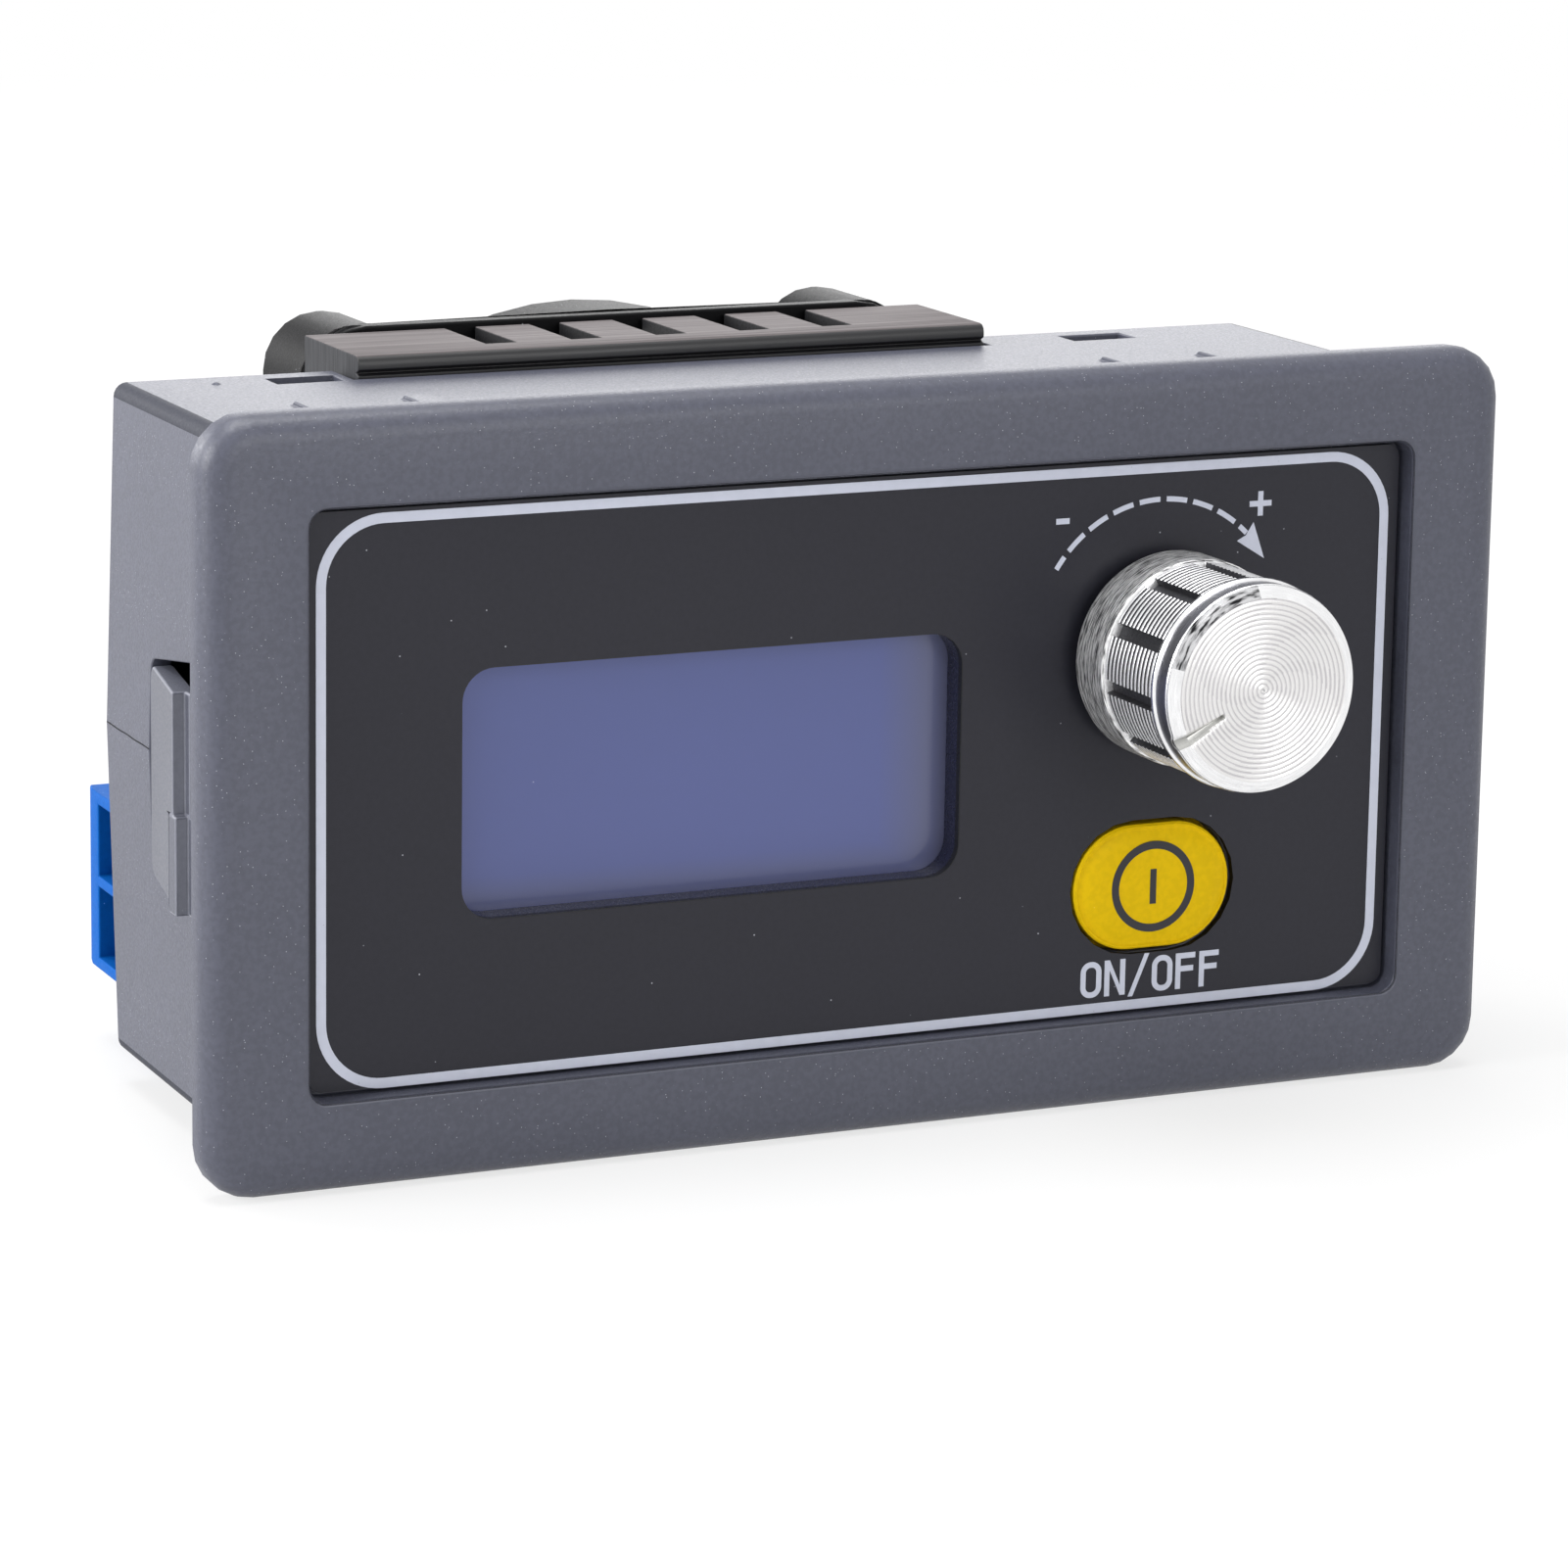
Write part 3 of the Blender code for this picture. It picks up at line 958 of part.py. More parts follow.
def build_power_board(parent):
    """Rear board held by the snap hooks, with the power parts on its hidden front side."""
    mesh = bmesh.new()
    outline = rounded_rectangle(POWER_BOARD_WIDTH, POWER_BOARD_HEIGHT, BOARD_CORNER)
    prism(mesh, outline, POWER_BOARD_DEPTH, POWER_BOARD_REAR)
    board = finish("power_board", mesh, material("green_black_board", (0.014, 0.03, 0.02), 0.4), parent)
    mesh = bmesh.new()
    near = POWER_BOARD_DEPTH - GAP
    far = POWER_BOARD_REAR + GAP
    for side in (-1, 1):
        hole = (COOLER_X + side * HEAT_SINK_SCREW_OFFSET, HEAT_SINK_SCREW_Z)
        prism(mesh, circle(SCREW_CLEARANCE, hole), near, far)
    for way in range(TERMINAL_WAYS):
        x, z = terminal_leg(way)
        half = (PIN_THICKNESS / 2 + GAP, PIN_WIDTH / 2 + GAP)
        box(mesh, (x - half[0], near, z - half[1]), (x + half[0], far, z + half[1]))
    combine(board, "DIFFERENCE", mesh)

    black = material("transistor_epoxy", (0.02, 0.02, 0.022), 0.55)
    seat = POWER_BOARD_DEPTH - GAP
    for number, x in enumerate(MOSFET_XS, start=1):
        mesh = bmesh.new()
        taper = 0.5 * MM
        loft(
            mesh,
            [
                (rounded_rectangle(MOSFET_WIDTH, MOSFET_HEIGHT, taper, (x, MOSFET_Z), 1), seat),
                (
                    rounded_rectangle(
                        MOSFET_WIDTH - 2 * taper, MOSFET_HEIGHT - 2 * taper, taper, (x, MOSFET_Z), 1
                    ),
                    seat - MOSFET_THICKNESS,
                ),
            ],
        )
        body = finish(f"mosfet_{number}", mesh, black, parent)
        mesh = bmesh.new()
        edge = MOSFET_HEIGHT / 2
        box(
            mesh,
            (x - MOSFET_WIDTH / 2 + taper, seat - MOSFET_TAB_THICKNESS, MOSFET_Z + edge - 2 * taper),
            (x + MOSFET_WIDTH / 2 - taper, seat - 0.1 * MM, MOSFET_Z + edge + MOSFET_TAB),
        )
        for side in (-1, 1):
            lead = x + side * MOSFET_WIDTH / 4
            outline = [
                (seat - MOSFET_THICKNESS / 2, MOSFET_Z - edge + 2 * taper),
                (seat - MOSFET_THICKNESS / 2, MOSFET_Z - edge - MOSFET_LEAD_LENGTH / 3),
                (seat - MOSFET_TAB_THICKNESS / 2, MOSFET_Z - edge - MOSFET_LEAD_LENGTH / 2),
                (seat - MOSFET_TAB_THICKNESS / 2, MOSFET_Z - edge - MOSFET_LEAD_LENGTH),
                (seat - 0.1 * MM, MOSFET_Z - edge - MOSFET_LEAD_LENGTH),
                (seat - 0.1 * MM, MOSFET_Z - edge - MOSFET_LEAD_LENGTH / 2 + taper),
                (seat - MOSFET_THICKNESS / 2 + taper, MOSFET_Z - edge - MOSFET_LEAD_LENGTH / 3 + taper),
                (seat - MOSFET_THICKNESS / 2 + taper, MOSFET_Z - edge + 2 * taper),
            ]
            prism(mesh, outline, lead - MOSFET_LEAD_WIDTH / 2, lead + MOSFET_LEAD_WIDTH / 2, "X")
        combine(body, "UNION", mesh)

    mesh = bmesh.new()
    reach = SHUNT_LENGTH / 2
    x, z = SHUNT_CENTRE
    foot = 2.0 * MM
    upper = seat - SHUNT_RISE
    outline = [
        (x - reach, seat),
        (x - reach, seat - SHUNT_THICKNESS),
        (x - reach + foot - SHUNT_THICKNESS, seat - SHUNT_THICKNESS),
        (x - reach + foot, upper),
        (x + reach - foot, upper),
        (x + reach - foot + SHUNT_THICKNESS, seat - SHUNT_THICKNESS),
        (x + reach, seat - SHUNT_THICKNESS),
        (x + reach, seat),
        (x + reach - foot, seat),
        (x + reach - foot - SHUNT_THICKNESS, upper + SHUNT_THICKNESS),
        (x - reach + foot + SHUNT_THICKNESS, upper + SHUNT_THICKNESS),
        (x - reach + foot, seat),
    ]
    prism(mesh, outline, z - SHUNT_WIDTH / 2, z + SHUNT_WIDTH / 2, "Z")
    finish("shunt", mesh, material("copper_alloy", (0.55, 0.33, 0.2), 0.35, 1.0), parent)


def heat_sink_profile():
    """Extruded section seen along X: base, thick end fins, inner fins and a grooved front lip."""
    front = HEAT_SINK_FRONT
    root = HEAT_SINK_FRONT + HEAT_SINK_BASE
    rear = HEAT_SINK_REAR
    top = HEAT_SINK_TOP
    groove = top - HEAT_SINK_GROOVE_DROP
    points = [(front, HEAT_SINK_BOTTOM), (rear, HEAT_SINK_BOTTOM)]
    low = HEAT_SINK_BOTTOM + HEAT_SINK_BOTTOM_FIN
    high = top - HEAT_SINK_TOP_FIN
    gap = (high - low - HEAT_SINK_FINS * HEAT_SINK_FIN) / (HEAT_SINK_FINS + 1)
    level = low
    for _ in range(HEAT_SINK_FINS):
        points += [(rear, level), (root, level), (root, level + gap), (rear, level + gap)]
        level += gap + HEAT_SINK_FIN
    points += [(rear, level), (root, level), (root, level + gap), (rear, level + gap)]
    points.append((rear, top))
    points += arc((front + HEAT_SINK_LIP, top - HEAT_SINK_LIP), HEAT_SINK_LIP, 90.0, 180.0, 3)
    points += [
        (front, groove + HEAT_SINK_GROOVE / 2),
        (front + HEAT_SINK_GROOVE, groove),
        (front, groove - HEAT_SINK_GROOVE / 2),
    ]
    return points


def build_heat_sink(parent):
    """Black anodised extrusion, cross-cut from the rear, screwed to the power board."""
    left = COOLER_X - COOLER_SIZE / 2
    right = COOLER_X + COOLER_SIZE / 2
    mesh = bmesh.new()
    prism(mesh, heat_sink_profile(), left, right, "X")
    sink = finish("heat_sink", mesh, material("black_anodised", (0.03, 0.03, 0.032), 0.35, 0.9), parent)
    mesh = bmesh.new()
    first = COOLER_X + HEAT_SINK_SLOT_OFFSET - (HEAT_SINK_SLOTS - 1) / 2 * HEAT_SINK_SLOT_PITCH
    for slot in range(HEAT_SINK_SLOTS):
        x = first + slot * HEAT_SINK_SLOT_PITCH
        box(
            mesh,
            (x - HEAT_SINK_SLOT / 2, HEAT_SINK_FRONT + HEAT_SINK_BASE, HEAT_SINK_BOTTOM - MM),
            (x + HEAT_SINK_SLOT / 2, HEAT_SINK_REAR + MM, HEAT_SINK_TOP + MM),
        )
    combine(sink, "DIFFERENCE", mesh)
    board_side = bmesh.new()
    fan_side = bmesh.new()
    for side in (-1, 1):
        hole = circle(SCREW_CLEARANCE, (COOLER_X + side * HEAT_SINK_SCREW_OFFSET, HEAT_SINK_SCREW_Z))
        prism(board_side, hole, HEAT_SINK_FRONT - GAP, HEAT_SINK_FRONT + HEAT_SINK_SCREW_LENGTH + GAP)
        for up in (-1, 1):
            hole = circle(SCREW_CLEARANCE, (COOLER_X + side * FAN_SCREW_OFFSET, FAN_Z + up * FAN_SCREW_OFFSET))
            prism(fan_side, hole, HEAT_SINK_REAR - FAN_SCREW_BITE - GAP, HEAT_SINK_REAR + GAP)
    combine(sink, "DIFFERENCE", board_side)
    combine(sink, "DIFFERENCE", fan_side)

    steel = material("black_screw", (0.06, 0.06, 0.06), 0.35, 1.0)
    for number, side in enumerate((-1, 1), start=1):
        mesh = bmesh.new()
        centre = (COOLER_X + side * HEAT_SINK_SCREW_OFFSET, HEAT_SINK_SCREW_Z)
        head = POWER_BOARD_DEPTH - GAP
        profile = [
            (0.0, head - M3_HEAD),
            (M3_HEAD_RADIUS * 0.7, head - M3_HEAD),
            (M3_HEAD_RADIUS, head - M3_HEAD * 0.6),
            (M3_HEAD_RADIUS, head),
            (M3_RADIUS, head),
            (M3_RADIUS, HEAT_SINK_FRONT + HEAT_SINK_SCREW_LENGTH),
            (0.0, HEAT_SINK_FRONT + HEAT_SINK_SCREW_LENGTH),
        ]
        turned(mesh, profile, centre, SMALL_STEPS)
        finish(f"heat_sink_screw_{number}", mesh, steel, parent)


def build_fan(parent):
    """Axial fan: flanged frame with ears and struts, wound stator and seven-bladed rotor."""
    centre = (COOLER_X, FAN_Z)
    plastic = material("fan_plastic", (0.02, 0.02, 0.021), 0.45)
    duct = COOLER_SIZE / 2 - FAN_DUCT_WALL
    inside = FAN_FLANGE / 2
    mesh = bmesh.new()
    prism(
        mesh, rounded_rectangle(COOLER_SIZE, COOLER_SIZE, FAN_CORNER, centre), FAN_FRONT, FAN_FRONT + FAN_FLANGE
    )
    frame = finish("fan_frame", mesh, plastic, parent)
    mesh = bmesh.new()
    prism(mesh, circle(COOLER_SIZE / 2 - 0.05 * MM, centre, ROUND_STEPS), FAN_FRONT + inside, FAN_REAR)
    combine(frame, "UNION", mesh)
    mesh = bmesh.new()
    holes = bmesh.new()
    offset = COOLER_SIZE / 2 - FAN_EAR / 2
    for side in (-1, 1):
        for up in (-1, 1):
            ear = (centre[0] + side * offset, centre[1] + up * offset)
            outline = rounded_rectangle(FAN_EAR, FAN_EAR, FAN_EAR_CORNER, ear)
            prism(mesh, outline, FAN_FRONT + inside, FAN_REAR)
            hole = (centre[0] + side * FAN_SCREW_OFFSET, centre[1] + up * FAN_SCREW_OFFSET)
            prism(holes, circle(SCREW_CLEARANCE, hole), FAN_FRONT - MM, FAN_REAR + MM)
    combine(frame, "UNION", mesh)
    prism(holes, circle(duct, centre, ROUND_STEPS), FAN_FRONT - MM, FAN_REAR + MM)
    combine(frame, "DIFFERENCE", holes)

    hub_rear = FAN_REAR - HUB_SETBACK
    tube_end = hub_rear - HUB_WALL - GAP
    mesh = bmesh.new()
    turned(
        mesh,
        [
            (0.0, FAN_FRONT),
            (FAN_BASE_RADIUS, FAN_FRONT),
            (FAN_BASE_RADIUS, FAN_FRONT + FAN_BASE),
            (FAN_TUBE_RADIUS, FAN_FRONT + FAN_BASE),
            (FAN_TUBE_RADIUS, tube_end),
            (FAN_SHAFT_RADIUS + GAP, tube_end),
            (FAN_SHAFT_RADIUS + GAP, FAN_FRONT + FAN_BASE / 2),
            (0.0, FAN_FRONT + FAN_BASE / 2),
        ],
        centre,
        32,
    )
    combine(frame, "UNION", mesh)
    mesh = bmesh.new()
    for strut in range(FAN_STRUTS):
        turn = math.tau * (strut + 0.5) / FAN_STRUTS
        along = (math.cos(turn), math.sin(turn))
        across = (-along[1], along[0])
        corners = []
        inner = FAN_BASE_RADIUS - MM
        for reach, side in ((inner, -1), (duct + FAN_DUCT_WALL / 2, -1), (duct + FAN_DUCT_WALL / 2, 1), (inner, 1)):
            half = side * FAN_STRUT_WIDTH / 2
            corners.append(
                (centre[0] + along[0] * reach + across[0] * half, centre[1] + along[1] * reach + across[1] * half)
            )
        prism(mesh, corners, FAN_FRONT + FAN_BASE / 8, FAN_FRONT + FAN_BASE * 3 / 4)
    combine(frame, "UNION", mesh)

    mesh = bmesh.new()
    coil_front = FAN_FRONT + FAN_BASE + GAP
    turned(
        mesh,
        [
            (FAN_TUBE_RADIUS + GAP, coil_front),
            (STATOR_CORE_RADIUS, coil_front),
            (STATOR_CORE_RADIUS, coil_front + STATOR_LENGTH),
            (FAN_TUBE_RADIUS + GAP, coil_front + STATOR_LENGTH),
        ],
        centre,
        24,
        closed=True,
    )
    stator = finish("fan_stator", mesh, material("copper_winding", (0.5, 0.2, 0.08), 0.4, 0.8), parent)
    mesh = bmesh.new()
    start = FAN_TUBE_RADIUS + GAP + (STATOR_CORE_RADIUS - FAN_TUBE_RADIUS - GAP) / 2
    for pole in range(STATOR_POLES):
        turn = math.tau * pole / STATOR_POLES
        along = (math.cos(turn), math.sin(turn))
        across = (-along[1], along[0])
        corners = []
        for reach, half in (
            (start, -STATOR_POLE_WIDTH / 2),
            (STATOR_RADIUS - MM, -STATOR_POLE_WIDTH / 2),
            (STATOR_RADIUS, -STATOR_POLE_WIDTH / 4),
            (STATOR_RADIUS, STATOR_POLE_WIDTH / 4),
            (STATOR_RADIUS - MM, STATOR_POLE_WIDTH / 2),
            (start, STATOR_POLE_WIDTH / 2),
        ):
            corners.append(
                (centre[0] + along[0] * reach + across[0] * half, centre[1] + along[1] * reach + across[1] * half)
            )
        prism(mesh, corners, coil_front + STATOR_LENGTH / 8, coil_front + STATOR_LENGTH * 7 / 8)
    combine(stator, "UNION", mesh)

    mesh = bmesh.new()
    rim_front = FAN_FRONT + FAN_BASE + GAP
    shaft_front = FAN_FRONT + FAN_BASE / 2 + GAP
    turned(
        mesh,
        [
            (0.0, hub_rear),
            (HUB_RADIUS - 0.8 * MM, hub_rear),
            (HUB_RADIUS, hub_rear - 0.8 * MM),
            (HUB_RADIUS, rim_front),
            (HUB_RADIUS - HUB_WALL, rim_front),
            (HUB_RADIUS - HUB_WALL, hub_rear - HUB_WALL),
            (FAN_SHAFT_RADIUS, hub_rear - HUB_WALL),
            (FAN_SHAFT_RADIUS, shaft_front),
            (0.0, shaft_front),
        ],
        centre,
    )
    pivot = (centre[0], FAN_REAR, centre[1])
    rotor = finish("fan_rotor", mesh, plastic, parent, pivot)
    mesh = bmesh.new()
    for blade in range(BLADES):
        blade_shape(mesh, centre, math.tau * blade / BLADES, duct - BLADE_TIP_GAP, rim_front, hub_rear)
    combine(rotor, "UNION", mesh)

    steel = material("fan_screw_steel", (0.5, 0.5, 0.49), 0.3, 1.0)
    number = 1
    for side in (-1, 1):
        for up in (-1, 1):
            mesh = bmesh.new()
            at = (centre[0] + side * FAN_SCREW_OFFSET, centre[1] + up * FAN_SCREW_OFFSET)
            end = HEAT_SINK_REAR - FAN_SCREW_BITE
            screw_shape(mesh, at, FAN_REAR + GAP, M3_HEAD_RADIUS, M3_HEAD, M3_RADIUS, end)
            finish(f"fan_screw_{number}", mesh, steel, parent)
            number += 1


def blade_shape(mesh, centre, turn, tip, front, rear):
    """Curved blade: each section is wrapped round the axis, leans with radius and thins to the tip."""
    near = front + BLADE_END_GAP
    far = rear - BLADE_END_GAP
    rings = []
    for step in range(4):
        share = step / 3
        root = HUB_RADIUS - HUB_WALL / 2
        radius = root + (tip - root) * share
        lean = math.radians(BLADE_LEAN) * share
        sweep = math.radians(BLADE_SWEEP) * (1.0 - 0.25 * share)
        thickness = BLADE_THICKNESS * (1.0 - 0.35 * share)
        upper = []
        lower = []
        for chord in range(5):
            place_on_chord = chord / 4
            camber = 0.12 * math.sin(math.pi * place_on_chord)
            angle = turn + lean + sweep * (place_on_chord - 0.5 + camber)
            depth = near + (far - near) * place_on_chord
            half_angle = thickness / 2 / radius
            for side, chain in ((1, upper), (-1, lower)):
                around = angle + side * half_angle
                chain.append(
                    (centre[0] + radius * math.cos(around), depth, centre[1] + radius * math.sin(around))
                )
        rings.append(upper + lower[::-1])
    skin(mesh, rings)


def terminal_cell(way):
    """Lower and upper edge of one wire entry, counted from the top."""
    high = TERMINAL_TOP - TERMINAL_SIDE - way * TERMINAL_PITCH
    low = high - (TERMINAL_PITCH - TERMINAL_DIVIDER)
    return low, high


def terminal_leg(way):
    """Place of one contact's solder leg."""
    low, high = terminal_cell(way)
    x = TERMINAL_X + TERMINAL_LENGTH - TERMINAL_BACK_WALL - GAP - PIN_THICKNESS / 2
    return x, (low + high) / 2


def build_terminal(parent):
    """Rising-cage screw terminal: block, contacts, cages and captive screws."""
    base = SEAT_ON_POWER
    rear = base + TERMINAL_HEIGHT
    bottom = terminal_cell(TERMINAL_WAYS - 1)[0] - TERMINAL_SIDE
    outline = [
        (TERMINAL_X, base),
        (TERMINAL_X + TERMINAL_LENGTH, base),
        (TERMINAL_X + TERMINAL_LENGTH, rear),
        (TERMINAL_X + TERMINAL_SHOULDER_INSET, rear),
        (TERMINAL_X, rear - TERMINAL_SHOULDER),
    ]
    mesh = bmesh.new()
    prism(mesh, outline, bottom, TERMINAL_TOP, "Z")
    block = finish("terminal_block", mesh, material("blue_nylon", (0.02, 0.2, 0.72), 0.35), parent)

    entry_rear = base + TERMINAL_FLOOR + TERMINAL_ENTRY_HEIGHT
    inner_end = TERMINAL_X + TERMINAL_LENGTH - TERMINAL_BACK_WALL
    screw_seat = entry_rear + TERMINAL_SCREW_SHOULDER
    screw_x = TERMINAL_X + TERMINAL_SCREW_X
    mesh = bmesh.new()
    necks = bmesh.new()
    for way in range(TERMINAL_WAYS):
        low, high = terminal_cell(way)
        middle = (low + high) / 2
        box(mesh, (TERMINAL_X - MM, base + TERMINAL_FLOOR, low), (inner_end, entry_rear, high))
        leg_x, leg_z = terminal_leg(way)
        half = (PIN_THICKNESS / 2 + GAP, PIN_WIDTH / 2 + GAP)
        box(
            necks,
            (leg_x - half[0], base - MM, leg_z - half[1]),
            (leg_x + half[0], base + TERMINAL_FLOOR + MM, leg_z + half[1]),
        )
        profile = [
            (0.0, entry_rear - MM),
            (TERMINAL_SCREW_RADIUS + GAP, entry_rear - MM),
            (TERMINAL_SCREW_RADIUS + GAP, screw_seat),
            (TERMINAL_SCREW_HEAD_RADIUS + GAP, screw_seat),
            (TERMINAL_SCREW_HEAD_RADIUS + GAP, rear + MM),
            (0.0, rear + MM),
        ]
        turned(necks, profile, (screw_x, middle), 24)
    combine(block, "DIFFERENCE", mesh)
    combine(block, "DIFFERENCE", necks)

    tin = material("tinned_contact", (0.6, 0.58, 0.55), 0.3, 1.0)
    brass = material("nickel_cage", (0.6, 0.55, 0.42), 0.3, 1.0)
    steel = material("terminal_screw_steel", (0.5, 0.5, 0.5), 0.3, 1.0)
    cage_front = base + TERMINAL_FLOOR + GAP
    cage_rear = cage_front + CAGE_HEIGHT
    pin_front = cage_front + CAGE_WALL + CAGE_TRAVEL + GAP
    pin_rear = pin_front + PIN_THICKNESS
    for way in range(TERMINAL_WAYS):
        low, high = terminal_cell(way)
        middle = (low + high) / 2
        number = way + 1
        cage_low = screw_x - CAGE_DEPTH / 2
        cage_high = screw_x + CAGE_DEPTH / 2

        mesh = bmesh.new()
        leg_x = terminal_leg(way)[0]
        leg_end = POWER_BOARD_DEPTH - PIN_STICKOUT
        section = [
            (cage_low, pin_front),
            (leg_x - PIN_THICKNESS / 2, pin_front),
            (leg_x - PIN_THICKNESS / 2, leg_end),
            (leg_x + PIN_THICKNESS / 2, leg_end),
            (leg_x + PIN_THICKNESS / 2, pin_rear),
            (cage_low, pin_rear),
        ]
        prism(mesh, section, middle - PIN_WIDTH / 2, middle + PIN_WIDTH / 2, "Z")
        finish(f"terminal_pin_{number}", mesh, tin, parent)

        mesh = bmesh.new()
        outer = rectangle((cage_front, middle - CAGE_WIDTH / 2), (cage_rear, middle + CAGE_WIDTH / 2))
        prism(mesh, outer, cage_low, cage_high, "X")
        pivot = (screw_x, cage_front, middle)
        cage = finish(f"terminal_cage_{number}", mesh, brass, parent, pivot)
        mesh = bmesh.new()
        inner = rectangle(
            (cage_front + CAGE_WALL, middle - CAGE_WIDTH / 2 + CAGE_WALL),
            (cage_rear - CAGE_WALL, middle + CAGE_WIDTH / 2 - CAGE_WALL),
        )
        prism(mesh, inner, cage_low - MM, cage_high + MM, "X")
        combine(cage, "DIFFERENCE", mesh)
        mesh = bmesh.new()
        hole = circle(TERMINAL_SCREW_RADIUS + GAP, (screw_x, middle))
        prism(mesh, hole, cage_rear - CAGE_WALL - GAP, cage_rear + MM)
        combine(cage, "DIFFERENCE", mesh)

        mesh = bmesh.new()
        head = screw_seat + GAP
        screw_shape(
            mesh,
            (screw_x, middle),
            head,
            TERMINAL_SCREW_HEAD_RADIUS,
            TERMINAL_SCREW_HEAD,
            TERMINAL_SCREW_RADIUS,
            pin_rear + GAP,
        )
        pivot = (screw_x, head, middle)
        screw = finish(f"terminal_screw_{number}", mesh, steel, parent, pivot)
        mesh = bmesh.new()
        half = TERMINAL_SCREW_HEAD_RADIUS + MM
        box(
            mesh,
            (screw_x - half, head + TERMINAL_SCREW_HEAD / 2, middle - TERMINAL_SCREW_SLOT / 2),
            (screw_x + half, head + TERMINAL_SCREW_HEAD + MM, middle + TERMINAL_SCREW_SLOT / 2),
        )
        combine(screw, "DIFFERENCE", mesh)


def build_jack(parent):
    """Upright supply socket with a round top, its bore and centre pin."""
    rear = SEAT_ON_POWER + JACK_LENGTH
    x, z = JACK_CENTRE
    half = JACK_WIDTH / 2
    arch = z + JACK_HEIGHT / 2 - half
    outline = [(x - half, z - JACK_HEIGHT / 2), (x + half, z - JACK_HEIGHT / 2)]
    outline += arc((x, arch), half, 0.0, 180.0, 12)
    mesh = bmesh.new()
    prism(mesh, outline, SEAT_ON_POWER, rear)
    jack = finish("dc_jack", mesh, material("jack_plastic", (0.018, 0.018, 0.018), 0.45), parent)
    mesh = bmesh.new()
    bore = circle(JACK_BORE_RADIUS, (x, arch), 24)
    prism(mesh, bore, rear - JACK_BORE_DEPTH, rear + MM)
    combine(jack, "DIFFERENCE", mesh)

    mesh = bmesh.new()
    floor = rear - JACK_BORE_DEPTH + GAP
    tip = rear - JACK_PIN_SETBACK
    profile = [
        (0.0, floor),
        (JACK_PIN_RADIUS * 1.6, floor),
        (JACK_PIN_RADIUS * 1.6, floor + 0.8 * MM),
        (JACK_PIN_RADIUS, floor + 0.8 * MM),
        (JACK_PIN_RADIUS, tip - 0.5 * MM),
        (JACK_PIN_RADIUS * 0.6, tip),
        (0.0, tip),
    ]
    turned(mesh, profile, (x, arch), 16)
    finish("dc_jack_pin", mesh, material("jack_pin_steel", (0.6, 0.6, 0.58), 0.25, 1.0), parent)


def build_usb(parent):
    """Upright USB socket: rounded metal shell with its tongue."""
    rear = SEAT_ON_POWER + USB_LENGTH
    floor = SEAT_ON_POWER + USB_LENGTH / 4
    mesh = bmesh.new()
    prism(mesh, rounded_rectangle(USB_WIDTH, USB_HEIGHT, 0.9 * MM, USB_CENTRE, 3), SEAT_ON_POWER, rear)
    socket = finish("usb_socket", mesh, material("usb_steel", (0.6, 0.6, 0.6), 0.25, 1.0), parent)
    mesh = bmesh.new()
    inner = rounded_rectangle(
        USB_WIDTH - 2 * USB_WALL, USB_HEIGHT - 2 * USB_WALL, 0.6 * MM, USB_CENTRE, 3
    )
    prism(mesh, inner, floor, rear + MM)
    combine(socket, "DIFFERENCE", mesh)
    mesh = bmesh.new()
    half = USB_WIDTH / 2 - 3 * USB_WALL
    box(
        mesh,
        (USB_CENTRE[0] - half, floor - USB_WALL, USB_CENTRE[1] - USB_TONGUE / 2),
        (USB_CENTRE[0] + half, rear - 2 * USB_WALL, USB_CENTRE[1] + USB_TONGUE / 2),
    )
    combine(socket, "UNION", mesh)


def build_pin_header(name, centre, pins, surface, parent):
    """White shrouded header with a column of square pins and a latch gap in its wall."""
    tall = (pins - 1) * SOCKET_PITCH + 2 * SOCKET_END
    rear = SEAT_ON_POWER + SOCKET_LENGTH
    mesh = bmesh.new()
    low = (centre[0] - SOCKET_WIDTH / 2, centre[1] - tall / 2)
    high = (centre[0] + SOCKET_WIDTH / 2, centre[1] + tall / 2)
    prism(mesh, rectangle(low, high), SEAT_ON_POWER, rear)
    header = finish(name, mesh, surface, parent)
    mesh = bmesh.new()
    floor = SEAT_ON_POWER + SOCKET_FLOOR
    box(
        mesh,
        (low[0] + SOCKET_WALL, floor, low[1] + SOCKET_WALL),
        (high[0] - SOCKET_WALL, rear + MM, high[1] - SOCKET_WALL),
    )
    combine(header, "DIFFERENCE", mesh)
    mesh = bmesh.new()
    gap = SOCKET_PITCH * 0.8
    box(
        mesh,
        (high[0] - 2 * SOCKET_WALL, floor + SOCKET_FLOOR, centre[1] - gap / 2),
        (high[0] + MM, rear + MM, centre[1] + gap / 2),
    )
    combine(header, "DIFFERENCE", mesh)
    mesh = bmesh.new()
    for pin in range(pins):
        z = centre[1] + (pin - (pins - 1) / 2) * SOCKET_PITCH
        box(
            mesh,
            (centre[0] - SOCKET_PIN / 2, floor - SOCKET_FLOOR / 2, z - SOCKET_PIN / 2),
            (centre[0] + SOCKET_PIN / 2, rear - SOCKET_WALL, z + SOCKET_PIN / 2),
        )
    combine(header, "UNION", mesh)


